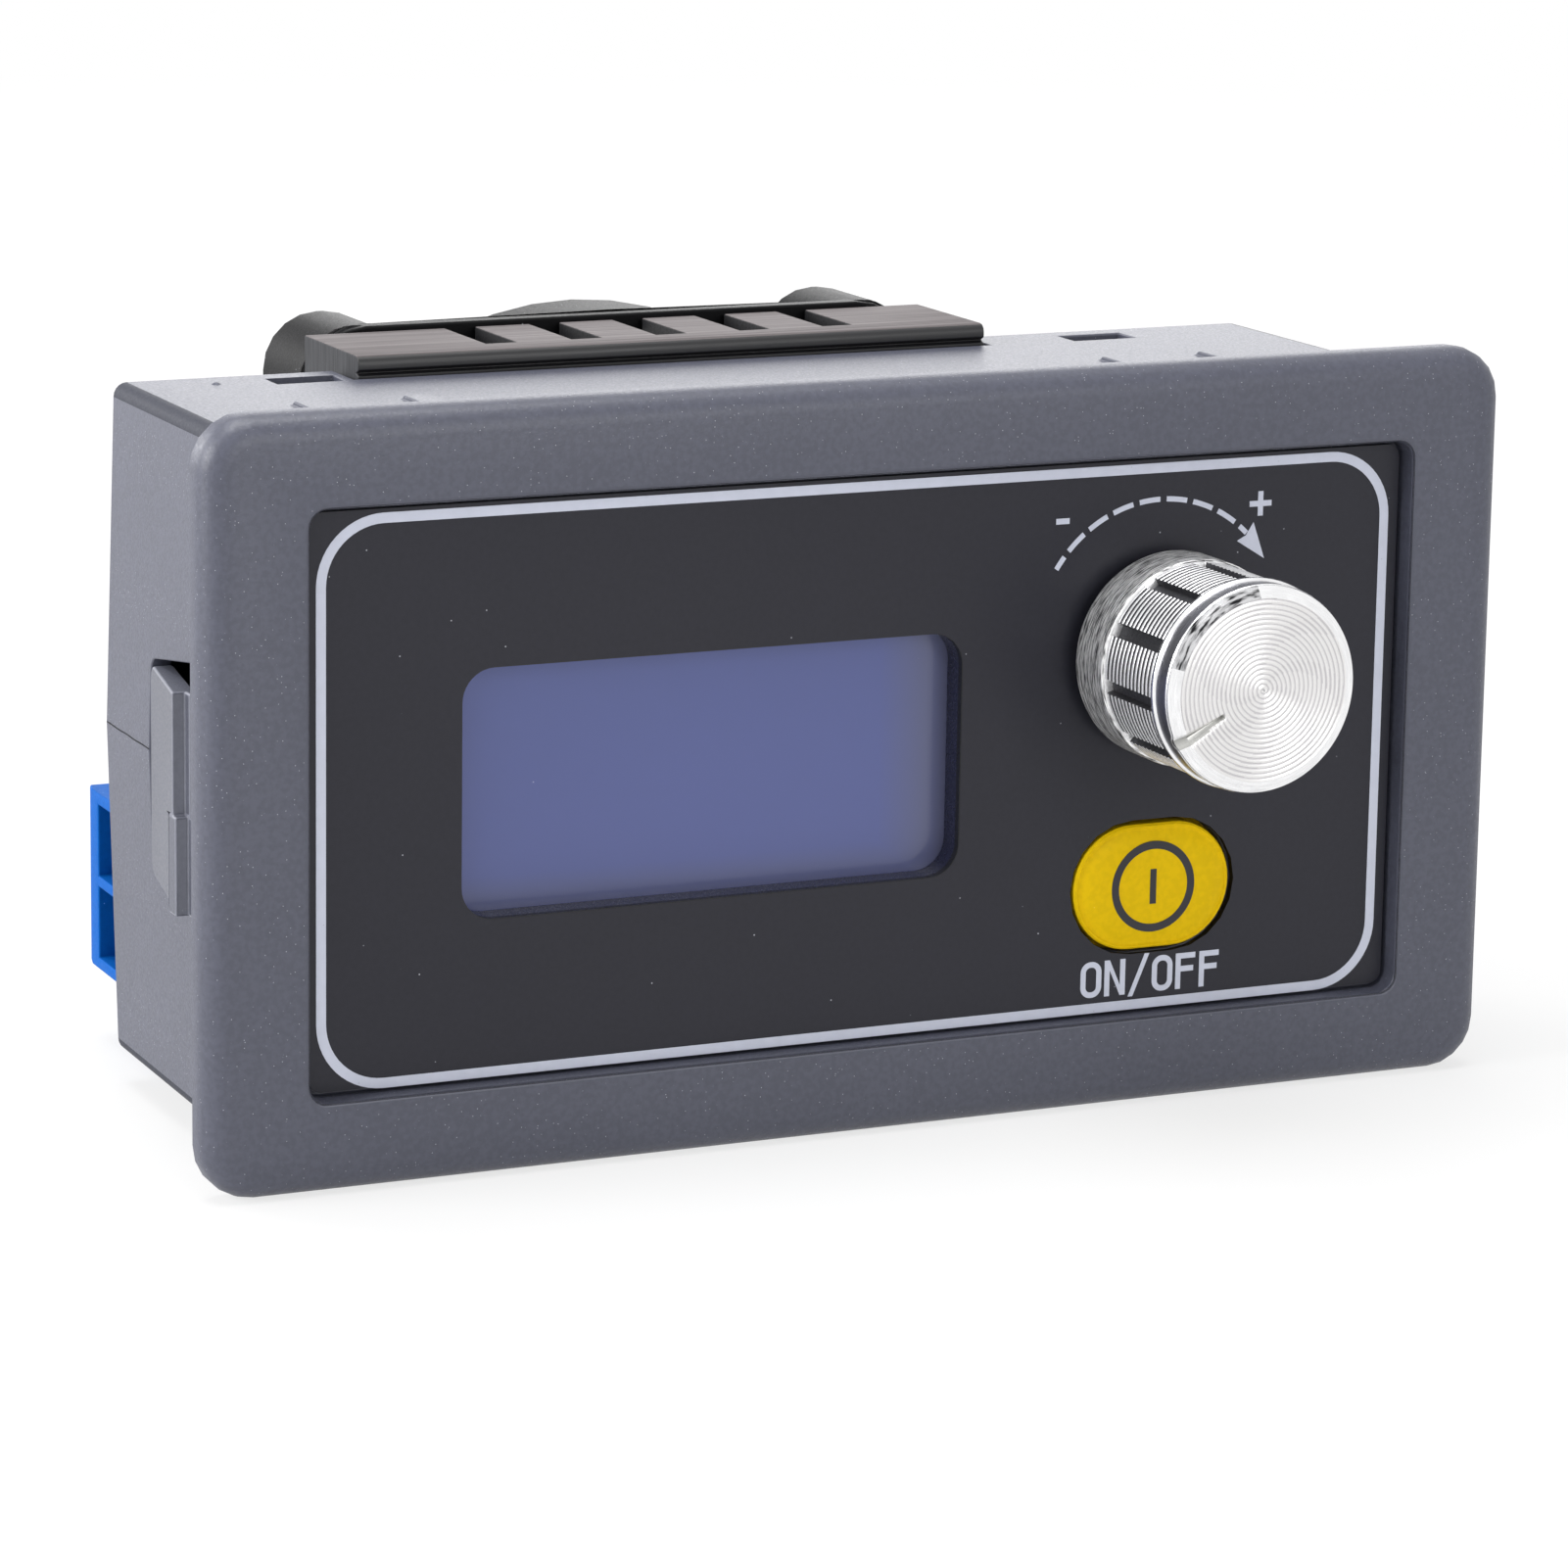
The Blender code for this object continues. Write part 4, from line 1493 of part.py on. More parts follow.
def build_capacitor(parent):
    """Can capacitor on its square base, with the crimped waist of such cans."""
    seat = SEAT_ON_POWER
    end = seat + CAPACITOR_LENGTH
    waist = seat + CAPACITOR_BASE_THICKNESS + 0.9 * MM
    rim = 0.35 * MM
    mesh = bmesh.new()
    turned(
        mesh,
        [
            (0.0, seat + CAPACITOR_BASE_THICKNESS / 2),
            (CAPACITOR_RADIUS, seat + CAPACITOR_BASE_THICKNESS / 2),
            (CAPACITOR_RADIUS, waist - rim),
            (CAPACITOR_RADIUS - rim, waist),
            (CAPACITOR_RADIUS, waist + rim),
            (CAPACITOR_RADIUS, end - rim),
            (CAPACITOR_RADIUS - rim, end),
            (0.0, end),
        ],
        CAPACITOR_CENTRE,
        24,
    )
    can = finish("bulk_capacitor", mesh, material("capacitor_can", (0.65, 0.65, 0.66), 0.3, 1.0), parent)
    mesh = bmesh.new()
    half = CAPACITOR_BASE / 2
    cut = 1.2 * MM
    x, z = CAPACITOR_CENTRE
    outline = [
        (x - half, z - half + cut),
        (x - half + cut, z - half),
        (x + half, z - half),
        (x + half, z + half),
        (x - half + cut, z + half),
        (x - half, z + half - cut),
    ]
    prism(mesh, outline, seat, seat + CAPACITOR_BASE_THICKNESS)
    combine(can, "UNION", mesh)


def main():
    """Clear the scene and build every piece under one empty at the bezel's front plane."""
    for existing in list(bpy.data.objects):
        bpy.data.objects.remove(existing)
    origin = bpy.data.objects.new("unit_origin", None)
    bpy.context.scene.collection.objects.link(origin)
    front_plane = -(REAR_END + KNOB_FRONT) / 2
    origin.location = (0.0, front_plane, BEZEL_HEIGHT / 2)

    build_front_housing(origin)
    clip_plastic = material("clip_abs", (0.13, 0.13, 0.145), 0.5)
    build_clip("clip_left", -1, clip_plastic, origin)
    build_clip("clip_right", 1, clip_plastic, origin)
    build_overlay(origin)
    build_display(origin)
    build_power_key(origin)
    build_knob(origin)
    build_encoder(origin)
    build_control_board(origin)
    build_power_board(origin)
    build_heat_sink(origin)
    build_fan(origin)
    build_terminal(origin)
    build_jack(origin)
    build_usb(origin)
    white = material("socket_nylon", (0.7, 0.69, 0.64), 0.4)
    build_pin_header("serial_header", SERIAL_CENTRE, SERIAL_PINS, white, origin)
    build_pin_header("fan_header", FAN_HEADER_CENTRE, FAN_HEADER_PINS, white, origin)
    build_capacitor(origin)


main()
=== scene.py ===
"""Looks of a panel-mounted DC electronic load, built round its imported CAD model.

Sizes are in millimetres on the front drawing: X to the right, Y into the unit and Z up, from the centre of
the bezel's front plane. Each sub-assembly is a class with its sizes as fields, each finish is a small class,
and every new piece is a surface worked out with numpy.
"""

import json
import logging
from dataclasses import dataclass, field
from enum import Enum
from typing import Callable, Optional, Sequence, Union

import bmesh
import bpy
import numpy as np
from mathutils import Matrix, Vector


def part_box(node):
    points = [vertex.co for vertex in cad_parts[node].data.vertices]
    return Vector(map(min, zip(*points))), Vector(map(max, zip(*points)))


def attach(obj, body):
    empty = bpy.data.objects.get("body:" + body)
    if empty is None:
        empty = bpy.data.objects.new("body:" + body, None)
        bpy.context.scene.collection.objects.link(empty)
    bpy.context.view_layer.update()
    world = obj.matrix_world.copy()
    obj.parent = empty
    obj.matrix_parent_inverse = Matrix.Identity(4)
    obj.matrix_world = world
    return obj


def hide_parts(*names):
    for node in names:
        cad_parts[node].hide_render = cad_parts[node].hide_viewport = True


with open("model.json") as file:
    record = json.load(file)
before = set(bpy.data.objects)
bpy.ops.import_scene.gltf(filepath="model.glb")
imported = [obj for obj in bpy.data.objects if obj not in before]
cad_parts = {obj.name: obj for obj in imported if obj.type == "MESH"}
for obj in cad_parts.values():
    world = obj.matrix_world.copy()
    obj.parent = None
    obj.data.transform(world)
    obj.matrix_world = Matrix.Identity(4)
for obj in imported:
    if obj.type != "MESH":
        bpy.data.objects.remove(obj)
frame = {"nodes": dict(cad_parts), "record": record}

LOG = logging.getLogger("scene")
MM = 0.001
Pair = tuple[float, float]
Triple = tuple[float, float, float]
Socket = bpy.types.NodeSocket
Value = Union[float, tuple, Socket]

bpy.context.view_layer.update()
HOUSING_LOW, HOUSING_HIGH = (np.array(corner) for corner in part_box("front_housing"))
ORIGIN = np.array([
    (HOUSING_LOW[0] + HOUSING_HIGH[0]) / 2,
    HOUSING_LOW[1],
    (HOUSING_LOW[2] + HOUSING_HIGH[2]) / 2,
])


def to_world(points: np.ndarray) -> np.ndarray:
    """World metres of points given in drawing millimetres."""
    return ORIGIN + np.asarray(points, dtype=float) * MM


def node_box(node: str) -> tuple[np.ndarray, np.ndarray]:
    """Lowest and highest corner of a CAD node in drawing millimetres."""
    low, high = (np.array(corner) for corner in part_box(node))
    return (low - ORIGIN) / MM, (high - ORIGIN) / MM


def front_of(node: str) -> float:
    """Depth of a CAD node's front in drawing millimetres."""
    return float(node_box(node)[0][1])


def rear_of(node: str) -> float:
    """Depth of a CAD node's rear in drawing millimetres."""
    return float(node_box(node)[1][1])


def middle_of(node: str) -> Pair:
    """X and Z of a CAD node's middle in drawing millimetres."""
    low, high = node_box(node)
    return ((low[0] + high[0]) / 2, (low[2] + high[2]) / 2)


def linear(code: str) -> tuple[float, float, float, float]:
    """Linear colour of an sRGB hex code.

    Args:
        code: Six hex digits after a hash sign.

    Returns:
        Red, green, blue and an alpha of one.
    """
    parts = np.array([int(code[place : place + 2], 16) for place in (1, 3, 5)]) / 255.0
    curved = np.where(parts <= 0.04045, parts / 12.92, ((parts + 0.055) / 1.055) ** 2.4)
    return (float(curved[0]), float(curved[1]), float(curved[2]), 1.0)


def shade(code: str, factor: float) -> tuple[float, ...]:
    """Linear colour of an sRGB hex code times a factor, at most one."""
    return tuple(np.minimum(np.array(linear(code)[:3]) * factor, 1.0)) + (1.0,)


def new_tree(owner: Union[bpy.types.Material, bpy.types.World]) -> bpy.types.NodeTree:
    """Empty node tree of a material or a world."""
    owner.use_nodes = True
    owner.node_tree.nodes.clear()
    return owner.node_tree


def new_object(name: str, data: bpy.types.ID) -> bpy.types.Object:
    """Object in the scene, at the origin."""
    made = bpy.data.objects.new(name, data)
    bpy.context.scene.collection.objects.link(made)
    return made


def add_node(
    tree: bpy.types.NodeTree,
    kind: str,
    inputs: Optional[dict[Union[int, str], Value]] = None,
    **settings: object,
) -> bpy.types.Node:
    """Add a shader node with its settings, input values and links.

    Args:
        tree: Node tree that gets the node.
        kind: Blender's name of the node type.
        inputs: Value or source socket of each input, by its name or number.
        settings: Properties of the node.

    Returns:
        The new node.
    """
    node = tree.nodes.new(kind)
    for name, value in settings.items():
        setattr(node, name, value)
    for key, value in (inputs or {}).items():
        socket = node.inputs[key]
        if isinstance(value, Socket):
            tree.links.new(value, socket)
        else:
            socket.default_value = value
    return node


class Space(Enum):
    """Coordinates that a pattern is laid in."""

    OBJECT = "Object"
    SURFACE = "UV"


@dataclass(frozen=True)
class Pattern:
    """Builds the repeated pieces of a material's node tree."""

    tree: bpy.types.NodeTree
    space: Space = Space.OBJECT

    def coordinates(self, stretch: Triple = (1.0, 1.0, 1.0)) -> Socket:
        """Pattern coordinates, stretched by a factor on each axis.

        Args:
            stretch: Factor by which a spot grows along each axis.

        Returns:
            Socket of the coordinates.
        """
        source = add_node(self.tree, "ShaderNodeTexCoord").outputs[self.space.value]
        factors = tuple(1.0 / length for length in stretch)
        return add_node(self.tree, "ShaderNodeMapping", {"Vector": source, "Scale": factors}).outputs[0]

    def noise(
        self, spot: float, detail: float = 2.0, stretch: Triple = (1.0, 1.0, 1.0), roughness: float = 0.5
    ) -> Socket:
        """Cloudy noise from nought to one.

        Args:
            spot: Width of a spot in millimetres.
            detail: Number of finer layers.
            stretch: Factor by which a spot grows along each axis.
            roughness: Share of the finer layers.

        Returns:
            Socket of the noise.
        """
        unit = MM if self.space is Space.OBJECT else 1.0
        inputs = {
            "Vector": self.coordinates(stretch),
            "Scale": 1.0 / (spot * unit),
            "Detail": detail,
            "Roughness": roughness,
        }
        return add_node(self.tree, "ShaderNodeTexNoise", inputs).outputs[0]

    def specks(self, spacing: float, radius: float, share: float) -> Socket:
        """Round specks: points nearer than a radius to the centre of a chosen share of irregular cells.

        Args:
            spacing: Width of a cell in millimetres.
            radius: Radius of a speck in millimetres.
            share: Share of the cells that hold a speck.

        Returns:
            Socket that is one on a speck.
        """
        inputs = {"Vector": self.coordinates(), "Scale": 1.0 / (spacing * MM)}
        cells = add_node(self.tree, "ShaderNodeTexVoronoi", inputs)
        chance = add_node(self.tree, "ShaderNodeSeparateColor", {"Color": cells.outputs["Color"]}).outputs[0]
        near = self.between(cells.outputs["Distance"], radius / spacing, 0.6 * radius / spacing)
        chosen = self.between(chance, 1.0 - share, 1.0 - 0.8 * share)
        return self.math("MULTIPLY", near, chosen)

    def between(
        self, value: Socket, low: float, high: float, start: float = 0.0, stop: float = 1.0
    ) -> Socket:
        """A value carried in a straight line from one range to another, and held at its ends."""
        inputs = {0: value, 1: low, 2: high, 3: start, 4: stop}
        return add_node(self.tree, "ShaderNodeMapRange", inputs).outputs[0]

    def math(self, operation: str, first: Value, second: Value = 0.0) -> Socket:
        """Result of one sum on two values."""
        return add_node(self.tree, "ShaderNodeMath", {0: first, 1: second}, operation=operation).outputs[0]

    def blend(self, share: Value, first: Value, second: Value) -> Socket:
        """Colour that goes from the first to the second with the share."""
        # A Mix node has sockets of one name for each data type, so the colours go by number
        inputs = {0: share, 6: first, 7: second}
        return add_node(self.tree, "ShaderNodeMix", inputs, data_type="RGBA").outputs[2]

    def bump(self, height: Socket, depth: float) -> Socket:
        """Normal of a relief whose full height is the depth in millimetres."""
        inputs = {"Height": height, "Distance": depth * MM, "Strength": 1.0}
        return add_node(self.tree, "ShaderNodeBump", inputs).outputs[0]

    def drive(self, shader: bpy.types.Node, sources: dict[str, Socket]) -> None:
        """Link sources to the shader's inputs of their names."""
        for name, source in sources.items():
            self.tree.links.new(source, shader.inputs[name])


@dataclass(frozen=True)
class Finish:
    """What every finish has: a name for the real material, a colour and the gloss of its surface."""

    name: str
    colour: str
    roughness: float = 0.5
    metallic: float = 0.0
    space: Space = Space.OBJECT
    sheen_level: float = field(default=0.5, kw_only=True)

    def material(self) -> bpy.types.Material:
        """Material of this finish, made the first time it is asked for.

        Returns:
            The material.
        """
        title = f"{self.name}_surface"
        known = bpy.data.materials.get(title)
        if known is not None:
            return known
        material = bpy.data.materials.new(title)
        tree = new_tree(material)
        shader = add_node(tree, "ShaderNodeBsdfPrincipled", {"Metallic": self.metallic})
        shader.inputs["Base Color"].default_value = linear(self.colour)
        shader.inputs["Roughness"].default_value = self.roughness
        shader.inputs["Specular IOR Level"].default_value = self.sheen_level
        add_node(tree, "ShaderNodeOutputMaterial", {"Surface": shader.outputs[0]})
        self.detail(Pattern(tree, self.space), shader)
        return material

    def detail(self, pattern: Pattern, shader: bpy.types.Node) -> None:
        """Lay this finish's own detail on the plain shader."""


@dataclass(frozen=True)
class MouldedPlastic(Finish):
    """Moulded plastic: an eroded mould's fine grain, tone that drifts over the part, and dust specks."""

    grain: float = 0.16
    grain_depth: float = 0.01
    drift: float = 0.08
    drift_spot: float = 9.0
    mottle: float = 0.05
    mottle_spot: float = 0.35
    speck_colour: str = "#a5a7ae"
    speck_spacing: float = 0.55
    speck_radius: float = 0.045
    speck_share: float = 0.3
    gloss_swing: float = 0.07

    def detail(self, pattern: Pattern, shader: bpy.types.Node) -> None:
        """Drifting tone with a finer mottle, dust and grain.

        Args:
            pattern: Builder of the pattern's nodes.
            shader: Shader that takes them.
        """
        darker = shade(self.colour, 1.0 - self.drift)
        lighter = shade(self.colour, 1.0 + self.drift)
        cloud = pattern.between(pattern.noise(self.mottle_spot, 2.0), 0.35, 0.65, -1.0, 1.0)
        mottled = pattern.math("MULTIPLY", cloud, self.mottle / max(2.0 * self.drift, 0.01))
        share = pattern.math("ADD", pattern.noise(self.drift_spot, 4.0), mottled)
        tone = pattern.blend(share, darker, lighter)
        dust = pattern.specks(self.speck_spacing, self.speck_radius, self.speck_share)
        colour = pattern.blend(dust, tone, linear(self.speck_colour))
        grain = pattern.noise(self.grain, 3.0)
        ends = (self.roughness - self.gloss_swing, self.roughness + self.gloss_swing)
        gloss = pattern.between(grain, 0.3, 0.7, *ends)
        relief = pattern.bump(grain, self.grain_depth)
        pattern.drive(shader, {"Base Color": colour, "Roughness": gloss, "Normal": relief})


@dataclass(frozen=True)
class PrintedInk(Finish):
    """Screen-printed ink: an opaque layer with a faint orange-peel surface and pinholes."""

    cloud_spot: float = 0.7
    hole_spacing: float = 0.5
    hole_radius: float = 0.035
    peel_spot: float = 0.25
    peel_depth: float = 0.004

    def detail(self, pattern: Pattern, shader: bpy.types.Node) -> None:
        """Uneven tone, pinholes and peel.

        Args:
            pattern: Builder of the pattern's nodes.
            shader: Shader that takes them.
        """
        cloud = pattern.noise(self.cloud_spot, 3.0)
        tone = pattern.blend(cloud, shade(self.colour, 0.93), shade(self.colour, 1.06))
        holes = pattern.specks(self.hole_spacing, self.hole_radius, 0.2)
        colour = pattern.blend(holes, tone, shade(self.colour, 0.6))
        peel = pattern.bump(pattern.noise(self.peel_spot), self.peel_depth)
        pattern.drive(shader, {"Base Color": colour, "Normal": peel})


@dataclass(frozen=True)
class DisplayCell(Finish):
    """Unlit blue display: a slow gradient over the cell that greys towards its lower right."""

    left: float = -24.6
    right: float = 5.6
    bottom: float = -7.2
    top: float = 6.9
    far_colour: str = "#4d568e"
    edge_colour: str = "#555874"
    dust_colour: str = "#b9bdd2"
    coat: Pair = (0.35, 0.08)

    def detail(self, pattern: Pattern, shader: bpy.types.Node) -> None:
        """Gradient from left to right and a grey band at the right and lower edges.

        Args:
            pattern: Builder of the pattern's nodes.
            shader: Shader that takes them.
        """
        split = add_node(pattern.tree, "ShaderNodeSeparateXYZ", {0: pattern.coordinates()})
        ends = to_world([[self.left, 0.0, self.bottom], [self.right, 0.0, self.top]])
        across = pattern.between(split.outputs[0], ends[0, 0], ends[1, 0])
        down = pattern.between(split.outputs[2], ends[1, 2], ends[0, 2])
        cloud = pattern.between(pattern.noise(6.0, 3.0), 0.35, 0.65, -0.05, 0.05)
        slope = pattern.math("ADD", pattern.math("MULTIPLY", pattern.math("ADD", across, down), 0.5), cloud)
        body = pattern.blend(slope, linear(self.colour), linear(self.far_colour))
        right_band = pattern.between(across, 0.86, 0.99)
        low_band = pattern.between(down, 0.86, 1.0, 0.0, 0.6)
        band = pattern.math("MAXIMUM", right_band, low_band)
        tinted = pattern.blend(band, body, linear(self.edge_colour))
        dust = pattern.specks(1.3, 0.04, 0.25)
        colour = pattern.blend(dust, tinted, linear(self.dust_colour))
        pattern.drive(shader, {"Base Color": colour, "Normal": pattern.bump(pattern.noise(0.3), 0.002)})
        shader.inputs["Coat Weight"].default_value = self.coat[0]
        shader.inputs["Coat Roughness"].default_value = self.coat[1]


@dataclass(frozen=True)
class WorkedMetal(Finish):
    """Bare metal with tool marks: fine lines drawn out along one direction, light and dark."""

    dark: str = "#5a5a5c"
    spot: float = 0.5
    stretch: Triple = (1.0, 1.0, 1.0)
    low: float = 0.35
    high: float = 0.65
    mark_depth: float = 0.004

    def detail(self, pattern: Pattern, shader: bpy.types.Node) -> None:
        """Drawn-out lines in tone, gloss and relief, over a slow change of tone.

        Args:
            pattern: Builder of the pattern's nodes.
            shader: Shader that takes them.
        """
        lines = pattern.noise(self.spot, 5.0, self.stretch, 0.65)
        fleck = pattern.noise(self.spot * 0.4, 2.0, self.stretch)
        mixed = pattern.math("MULTIPLY", pattern.math("ADD", lines, fleck), 0.5)
        share = pattern.between(mixed, self.low, self.high)
        colour = pattern.blend(share, linear(self.dark), linear(self.colour))
        rough = pattern.between(share, 0.0, 1.0, self.roughness + 0.12, max(self.roughness - 0.05, 0.02))
        relief = pattern.bump(mixed, self.mark_depth)
        pattern.drive(shader, {"Base Color": colour, "Roughness": rough, "Normal": relief})


@dataclass(frozen=True)
class SolderMask(Finish):
    """Lacquered laminate: glossy mask that shows the copper fields under it as a lighter tone."""

    field_colour: str = "#0d2a1c"
    field_width: float = 4.5
    coat: Pair = (0.5, 0.12)

    def detail(self, pattern: Pattern, shader: bpy.types.Node) -> None:
        """Copper fields with straight borders under the lacquer, and its slight waves.

        Args:
            pattern: Builder of the pattern's nodes.
            shader: Shader that takes them.
        """
        inputs = {"Vector": pattern.coordinates(), "Scale": 1.0 / (self.field_width * MM), "Randomness": 0.7}
        cells = add_node(pattern.tree, "ShaderNodeTexVoronoi", inputs, distance="CHEBYCHEV")
        fields = pattern.between(cells.outputs["Distance"], 0.42, 0.44)
        colour = pattern.blend(fields, linear(self.field_colour), linear(self.colour))
        pattern.drive(shader, {"Base Color": colour, "Normal": pattern.bump(pattern.noise(0.5), 0.006)})
        shader.inputs["Coat Weight"].default_value = self.coat[0]
        shader.inputs["Coat Roughness"].default_value = self.coat[1]


@dataclass(frozen=True)
class WoundWire(Finish):
    """Enamelled wire laid turn beside turn, as ridges about the winding's axis."""

    pitch: float = 0.22

    def detail(self, pattern: Pattern, shader: bpy.types.Node) -> None:
        """Ridges as bands across the winding, with painted shade in the dips between the turns.

        Args:
            pattern: Builder of the pattern's nodes.
            shader: Shader that takes them.
        """
        inputs = {"Vector": pattern.coordinates(), "Scale": 0.05 / (self.pitch * MM), "Distortion": 0.6}
        turns = add_node(pattern.tree, "ShaderNodeTexWave", inputs, wave_type="BANDS", bands_direction="Y")
        # Painted shade: the colour falls to 0.35 of the enamel's in the dips between the turns
        tone = pattern.blend(turns.outputs[1], shade(self.colour, 0.35), shade(self.colour, 1.0))
        pattern.drive(shader, {"Base Color": tone, "Normal": pattern.bump(turns.outputs[1], 0.06)})


# Finishes, each with what it gives the eye
GREY_ABS = MouldedPlastic(
    "grey_abs", "#4b4d5a", 0.42, speck_colour="#b4b6be",
    speck_spacing=0.24, speck_radius=0.029, speck_share=0.4, mottle=0.1, grain_depth=0.014,
)  # matte mid grey with light specks
GREY_CORNER_PAINTED_REFLECTION = MouldedPlastic(
    "grey_abs_corner_painted_dark_reflection", "#2f313b", 0.6, grain_depth=0.004, speck_share=0.1, sheen_level=0.25,
)  # painted darker reflection on the shell's long rounded corners
GREY_EDGE = MouldedPlastic("grey_abs_edge", "#494b58", 0.38, grain_depth=0.004)  # rubbed, glossier corners
PARTING_PAINTED_SHADE = MouldedPlastic(
    "grey_abs_parting_painted_shade", "#16171c", 0.6, grain_depth=0.004, sheen_level=0.1, speck_share=0.05,
)  # painted shade: dark line along the ridge where the mould meets
CLIP_ABS = MouldedPlastic("clip_abs", "#4f515c", 0.45, drift=0.12)  # a shade lighter, from another mould
CLIP_FRONT_PAINTED_LIGHT = MouldedPlastic("clip_abs_front_painted_light", "#8b8d97", 0.5, drift=0.15)  # painted light on the faces along the depth, against the flange's shade
CLIP_EDGE_PAINTED_HIGHLIGHT = MouldedPlastic("clip_abs_edge_painted_highlight", "#72747f", 0.4, drift=0.1)  # painted highlight on the thin bevelled edges of the arm
BLACK_FILM = MouldedPlastic(
    "black_film", "#24242c", 0.4, grain=0.09, grain_depth=0.003, drift=0.05, speck_colour="#b0b1ba",
    speck_spacing=1.0, speck_radius=0.05, speck_share=0.3, sheen_level=0.28,
)  # satin near-black print with single dust specks
FILM_EDGE = MouldedPlastic("film_cut_edge", "#0b0b0d", 0.5, speck_spacing=2.2, speck_radius=0.06)  # black rim
LAVENDER_INK = PrintedInk("lavender_ink", "#c5c9d8", 0.5)  # pale bluish line work
CHARCOAL_INK = PrintedInk("charcoal_ink", "#333236", 0.5, sheen_level=0.25)  # the mark on the key
NAVY_LINING = MouldedPlastic("navy_lining", "#1b1d33", 0.3, grain_depth=0.002, speck_share=0.05)  # navy side
DISPLAY_CELL = DisplayCell("display_cell", "#4a548a", 0.25)  # slate blue that greys to the lower right
WHITE_FRAME = MouldedPlastic("white_frame", "#d9d8d2", 0.5)  # display carrier
YELLOW_KEY = MouldedPlastic(
    "yellow_key", "#dbb60a", 0.42, grain=0.1, grain_depth=0.002, drift=0.035, drift_spot=3.0,
    speck_colour="#f6e27a", speck_spacing=0.9, speck_radius=0.03, speck_share=0.3, sheen_level=0.06,
)  # warm satin yellow
SWITCH_BLACK = MouldedPlastic("switch_black", "#1b1b1c", 0.5)  # dull black switch body
PLUNGER_WHITE = MouldedPlastic("plunger_white", "#dcdad2", 0.4)  # ivory plunger
KNOB_FACE = WorkedMetal(
    "knob_face_cut", "#f0efef", 0.28, 1.0, Space.SURFACE, "#cfcdcb", 0.05, (60.0, 0.3, 1.0), 0.3, 0.6, 0.0,
)  # near white, cut in one spiral
KNOB_CUT_PAINTED_SHADE = WorkedMetal(
    "knob_face_groove_painted_shade", "#cfcdcf", 0.35, 1.0, Space.SURFACE, "#aeacae", 0.08, (30.0, 0.4, 1.0), 0.3, 0.6, 0.0,
)  # painted shade: greyer floor of the spiral cut
KNOB_BAND_PAINTED_REFLECTION = WorkedMetal(
    "knob_polished_band_painted_dark_reflection", "#c9c9cd", 0.3, 1.0, Space.SURFACE, "#8a8a90", 0.12, (30.0, 1.0, 1.0), 0.4, 0.6,
    0.001,
)  # greyer polished band with faint drawn lines: painted darker reflection
KNOB_GRIP = WorkedMetal(
    "knob_turned_grip", "#f2f2f3", 0.3, 0.5, Space.SURFACE, "#b9b9bc", 0.08, (8.0, 0.6, 1.0), 0.3, 0.6, 0.002,
)  # bright crests of the rings
KNOB_GROOVE_PAINTED_SHADE = WorkedMetal(
    "knob_turned_groove_painted_shade", "#4a4a4f", 0.6, 0.0, Space.SURFACE, "#29292c", 0.1, (9.0, 1.0, 1.0), 0.3, 0.7,
    0.002, sheen_level=0.12,
)  # painted shade in the grooves between the rings
KNOB_SKIRT = WorkedMetal(
    "knob_rough_skirt", "#ffffff", 0.36, 0.7, Space.SURFACE, "#3b3b3f", 0.24, (9.0, 0.9, 1.0), 0.42, 0.55,
    0.07,
)  # coarse turning marks, streaked
KNOB_RIM = WorkedMetal(
    "knob_bright_rim", "#fafafb", 0.26, 1.0, Space.SURFACE, "#dededf", 0.2, (12.0, 1.0, 1.0), 0.3, 0.6, 0.001,
)  # bright bevel and beads
KNOB_RIM_PAINTED_REFLECTION = WorkedMetal(
    "knob_rim_painted_dark_reflection", "#d0d0d2", 0.3, 0.8, Space.SURFACE, "#1a1a1d", 0.5, (5.0, 0.8, 1.0), 0.42, 0.54, 0.01,
)  # painted dark reflection, flecked, on the upper left of the bevel
KNOB_POINTER_PAINTED_SHADE = WorkedMetal(
    "knob_pointer_cut_painted_shade", "#c9c9c6", 0.4, 1.0, Space.SURFACE, "#979794", 0.06, (1.0, 1.0, 1.0), 0.3, 0.7, 0.002,
)  # painted shade: greyer floor of the pointer
KNOB_SLOT = WorkedMetal(
    "knob_slot_floor", "#5c5c60", 0.5, 0.8, Space.SURFACE, "#38383b", 0.1, (1.0, 4.0, 1.0), 0.3, 0.7, 0.004,
)  # dark milled slots
PLATED_STEEL = WorkedMetal("plated_steel", "#bdbdba", 0.3, 1.0, spot=0.4, dark="#96958f")  # satin nickel
ZINC_STEEL = WorkedMetal("zinc_steel", "#b4b6b4", 0.35, 1.0, spot=0.3, dark="#85878a")  # bluish zinc
BLACK_STEEL = WorkedMetal("black_steel", "#3a3a3c", 0.4, 1.0, spot=0.3, dark="#222224")  # black screws
BRASS_NICKEL = WorkedMetal("nickel_cage", "#c9c2a6", 0.3, 1.0, spot=0.4, dark="#9a917a")  # yellowish nickel
TINNED = WorkedMetal("tinned_contact", "#c4c3bd", 0.38, 1.0, spot=0.25, dark="#8e8c86")  # dull tin
SOLDER = WorkedMetal("solder", "#d2d2d0", 0.25, 1.0, spot=0.5, dark="#a3a3a1")  # bright solder
COPPER_STRIP = WorkedMetal("copper_alloy", "#b98a63", 0.35, 1.0, spot=0.4, dark="#8a6245")  # bare strip
CODE_DISC = MouldedPlastic("code_disc", "#d6d0c4", 0.5)  # encoder's disc
ENCODER_GREEN = MouldedPlastic("encoder_plastic", "#1d4a33", 0.45)  # green encoder body
